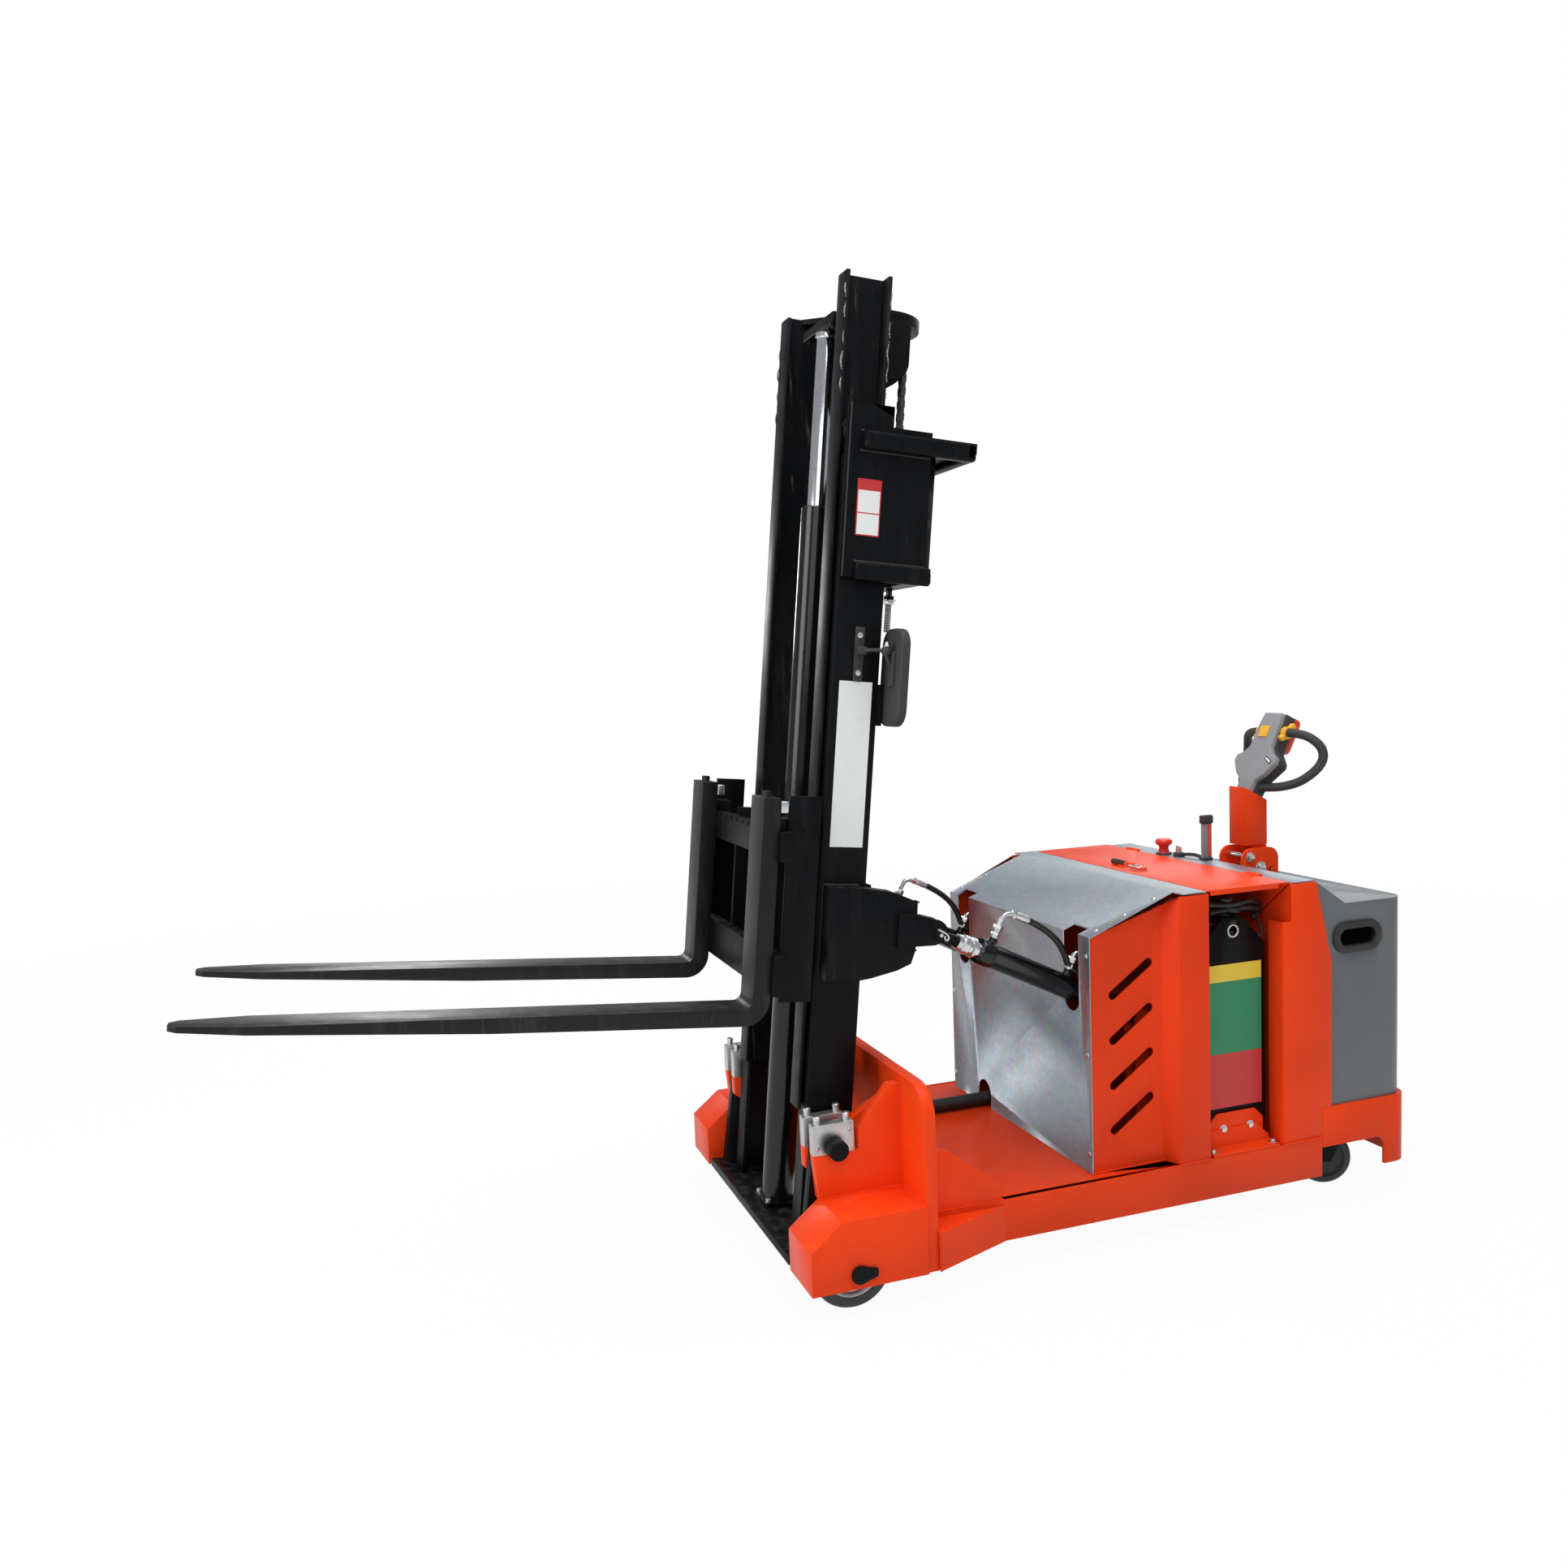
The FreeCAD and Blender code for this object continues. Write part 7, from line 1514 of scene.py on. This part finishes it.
@dataclass
class Panels:
    """The CAD plates and castings, carried over with rounded edges and their finishes."""

    sheet_edge: float = 1.0
    plate_edge: float = 2.0
    box_forward: float = 17.0
    horn_forward: float = 20.0
    beam_web: float = 182.0
    orange: tuple[str, ...] = ("chassis_frame", "mast_pedestals", "tilt_anchors", "wheel_boxes",
                               "rear_bumper",
                               "bay_frame", "tiller_arm", "tiller_base")
    black: tuple[str, ...] = ("outer_mast_channels", "mast_foot", "tilt_brackets", "inner_mast_ties",
                              "carriage_frame", "front_axles", "chain_sheaves", "drive_unit")

    def build(self) -> None:
        """Builds the plates group by group."""
        for node in self.orange:
            SHOP.softened(node, ORANGE, self.plate_edge)
        for node in self.black:
            SHOP.softened(node, BLACK, self.plate_edge)
        for node in ("hood_front_sheet", "control_console"):
            SHOP.softened(node, ZINC, self.sheet_edge)
        SHOP.softened("outer_mast_ties", BLACK, self.plate_edge, reshape=self.head_box)
        SHOP.softened("hood_sides", ORANGE_SHADED_SIDE, self.sheet_edge, reshape=self.louvres)
        SHOP.softened("hood_lid", ORANGE, self.sheet_edge)
        SHOP.softened("rear_cover", GREY_COVER, self.sheet_edge)
        SHOP.softened("inner_mast_channels", BLACK_GREASY, self.plate_edge, reshape=self.front_flange)
        SHOP.softened("forks", BLACK_FORK, 3.0, 3)
        SHOP.softened("battery_pack", PLASTIC_BLACK, 3.0)
        SHOP.softened("counterweight", CAST, 6.0, 3)
        SHOP.softened("cover_grommets", RUBBER, 3.0, 4)
        SHOP.softened("drive_wheel", TREAD, 1.0)
        for side in Side:
            SHOP.softened(f"caster_fork_{side.word}", BLACK, 1.2)

    def louvres(self, drawing: Drawing) -> None:
        """Sets the slots of the hood's sides closer together and a little further back.

        Args:
            drawing: the hood's sides, in millimetres of the shared frame.
        """
        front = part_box("hood_front_sheet")[1][0] / MM
        low, step, closer, back = 220.0, 139.0, 21.5, 8.0
        for vert in drawing.bm.verts:
            x, height = vert.co.x - front, vert.co.z - low
            if -195.0 < x < -40.0 and 0.0 < height < 4.0 * step:
                vert.co.x -= back
                vert.co.z += 35.0 - closer * int(height / step)

    def mast_frame(self) -> tuple[Matrix, Matrix]:
        """The mast's frame to millimetres of the shared frame, and back."""
        out = Matrix.Scale(1.0 / MM, 4) @ MAST.matrix
        return out, out.inverted()

    def head_box(self, drawing: Drawing) -> None:
        """Sets the head box's rear and its horn's rear edge further forward.

        Args:
            drawing: the ties, in millimetres of the shared frame.
        """
        out, back = self.mast_frame()
        for vert in drawing.bm.verts:
            at = back @ vert.co
            if at.z > 1300.0 and -215.0 < at.x < -195.0:
                at.x += self.box_forward
            elif at.z > 1700.0 and abs(at.x + 100.0) < 1.0:
                at.x += self.horn_forward
            vert.co = out @ at

    def front_flange(self, drawing: Drawing) -> None:
        """Takes the inner beams' front flanges back to the web on the side that faces the cylinder.

        Args:
            drawing: the beams, in millimetres of the shared frame.
        """
        out, back = self.mast_frame()
        for vert in drawing.bm.verts:
            at = back @ vert.co
            if at.x > 38.0 and abs(at.y) < 187.0:
                at.y = math.copysign(self.beam_web, at.y)
                vert.co = out @ at


@dataclass
class Studio:
    """White floor, soft lamps and the camera at the photograph's place."""

    spot: Point = (1.7224, 3.1025, 1.4836)
    yaw: float = -108.924
    pitch: float = -5.123
    roll: float = -2.223
    focal_px: float = 1562.2
    world_light: float = 0.36
    floor_white: float = 0.95
    floor_half: float = 30.0
    fade: Point = (2.0, 7.0)

    def build(self) -> None:
        """Builds the studio."""
        self.camera()
        self.floor()
        self.world()
        lamps = (
            ("key_lamp", (2.2, 4.2, 3.4), (-0.2, 0.0, 0.8), 3.2, 50.0),
            ("front_lamp", (4.6, 0.8, 2.6), (0.2, 0.0, 0.9), 2.6, 98.0),
            ("top_lamp", (-0.4, 0.6, 5.0), (-0.2, 0.0, 0.6), 4.0, 185.0),
            ("back_lamp", (-4.0, -3.0, 3.2), (0.0, 0.0, 0.9), 3.0, 45.0),
            ("edge_lamp", (0.9, -4.2, 2.2), (0.6, 0.0, 1.3), 0.7, 26.0),
        )
        for name, at, aim, size, power in lamps:
            self.lamp(name, at, aim, size, power)

    def camera(self) -> None:
        """Places the camera from its solved pose."""
        yaw, pitch, roll = (math.radians(a) for a in (self.yaw, self.pitch, self.roll))
        ahead = Vector((math.cos(pitch) * math.cos(yaw), math.cos(pitch) * math.sin(yaw), math.sin(pitch)))
        right = ahead.cross(Vector((0, 0, 1))).normalized()
        up = right.cross(ahead)
        side = math.cos(roll) * right + math.sin(roll) * up
        top = math.cos(roll) * up - math.sin(roll) * right
        data = bpy.data.cameras.new("photo_camera")
        data.sensor_width = SENSOR
        data.lens = self.focal_px * SENSOR / IMAGE_SIDE
        data.dof.use_dof = False
        holder = shown("photo_camera", data)
        place = Matrix((side, top, -ahead)).transposed().to_4x4()
        place.translation = Vector(self.spot) + Vector((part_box("hood_front_sheet")[1][0], 0, 0))
        holder.matrix_world = place
        bpy.context.scene.camera = holder

    def floor(self) -> None:
        """Lays the white floor, which keeps a faint shadow near the machine and fades to pure white."""
        bm = bmesh.new()
        bmesh.ops.create_grid(bm, x_segments=1, y_segments=1, size=self.floor_half)
        mesh = bpy.data.meshes.new("studio_floor")
        bm.to_mesh(mesh)
        bm.free()
        made = shown("studio_floor", mesh)
        material = bpy.data.materials.new("studio_white")
        material.use_nodes = True
        graph = Graph(material.node_tree)
        path = graph.node("ShaderNodeLightPath", {}, {})
        seen = Signal(graph, path.outputs["Is Camera Ray"]).at_least(Signal(graph,
                                                                            path.outputs["Is Glossy Ray"]))
        seen = seen.at_least(Signal(graph, path.outputs["Is Transmission Ray"]))
        matt = graph.node("ShaderNodeBsdfDiffuse", {}, {"Color": (0.85, 0.85, 0.85, 1.0)})
        glow = graph.node("ShaderNodeEmission", {}, {"Color": WHITE, "Strength": 1.0})
        reach = graph.node("ShaderNodeVectorMath", {"operation": "LENGTH"}, {0: graph.place()})
        away = Signal(graph, reach.outputs["Value"]).spread(*self.fade)
        share = seen * (self.floor_white + (1.0 - self.floor_white) * away)
        mixed = graph.node("ShaderNodeMixShader", {}, {0: share, 1: matt.outputs[0], 2: glow.outputs[0]})
        graph.node("ShaderNodeOutputMaterial", {}, {0: mixed.outputs[0]})
        mesh.materials.append(material)

    def world(self) -> None:
        """Lights softly from all round, white where it is seen."""
        world = bpy.data.worlds.new("studio_sky")
        world.use_nodes = True
        bpy.context.scene.world = world
        graph = Graph(world.node_tree)
        path = graph.node("ShaderNodeLightPath", {}, {})
        seen = Signal(graph, path.outputs["Is Camera Ray"])
        soft = graph.node("ShaderNodeBackground", {}, {"Color": (0.92, 0.96, 1.0, 1.0),
                                                       "Strength": self.world_light})
        white = graph.node("ShaderNodeBackground", {}, {"Color": WHITE, "Strength": 1.0})
        mixed = graph.node("ShaderNodeMixShader", {}, {0: seen, 1: soft.outputs[0], 2: white.outputs[0]})
        graph.node("ShaderNodeOutputWorld", {}, {0: mixed.outputs[0]})

    def lamp(self, name: str, at: Point, aim: Point, size: float, power: float) -> None:
        """Adds one square soft lamp.

        Args:
            name: its name.
            at: its place in metres.
            aim: what it looks at.
            size: its side in metres.
            power: its power in watts.
        """
        data = bpy.data.lights.new(name, "AREA")
        data.shape = "SQUARE"
        data.size = size
        data.energy = power
        holder = shown(name, data)
        holder.location = at
        holder.rotation_euler = (Vector(aim) - Vector(at)).to_track_quat("-Z", "Y").to_euler()


def main() -> None:
    """Builds the sub-assemblies in order."""
    logging.basicConfig(level=logging.INFO, format="%(message)s")
    cylinders = [TiltCylinder(side) for side in Side]
    parts = (Studio(), Panels(), Chains(), MastTrim(), BearingBlocks(), LiftRod(), *cylinders, TiltPins(),
             HoodTrim(), BatteryTrim(), ConsoleControls(), Tiller(), Wheels())
    for part in parts:
        LOG.info("building %s", type(part).__name__)
        part.build()
    bpy.context.scene.view_settings.view_transform = "Standard"


if __name__ == "__main__":
    main()
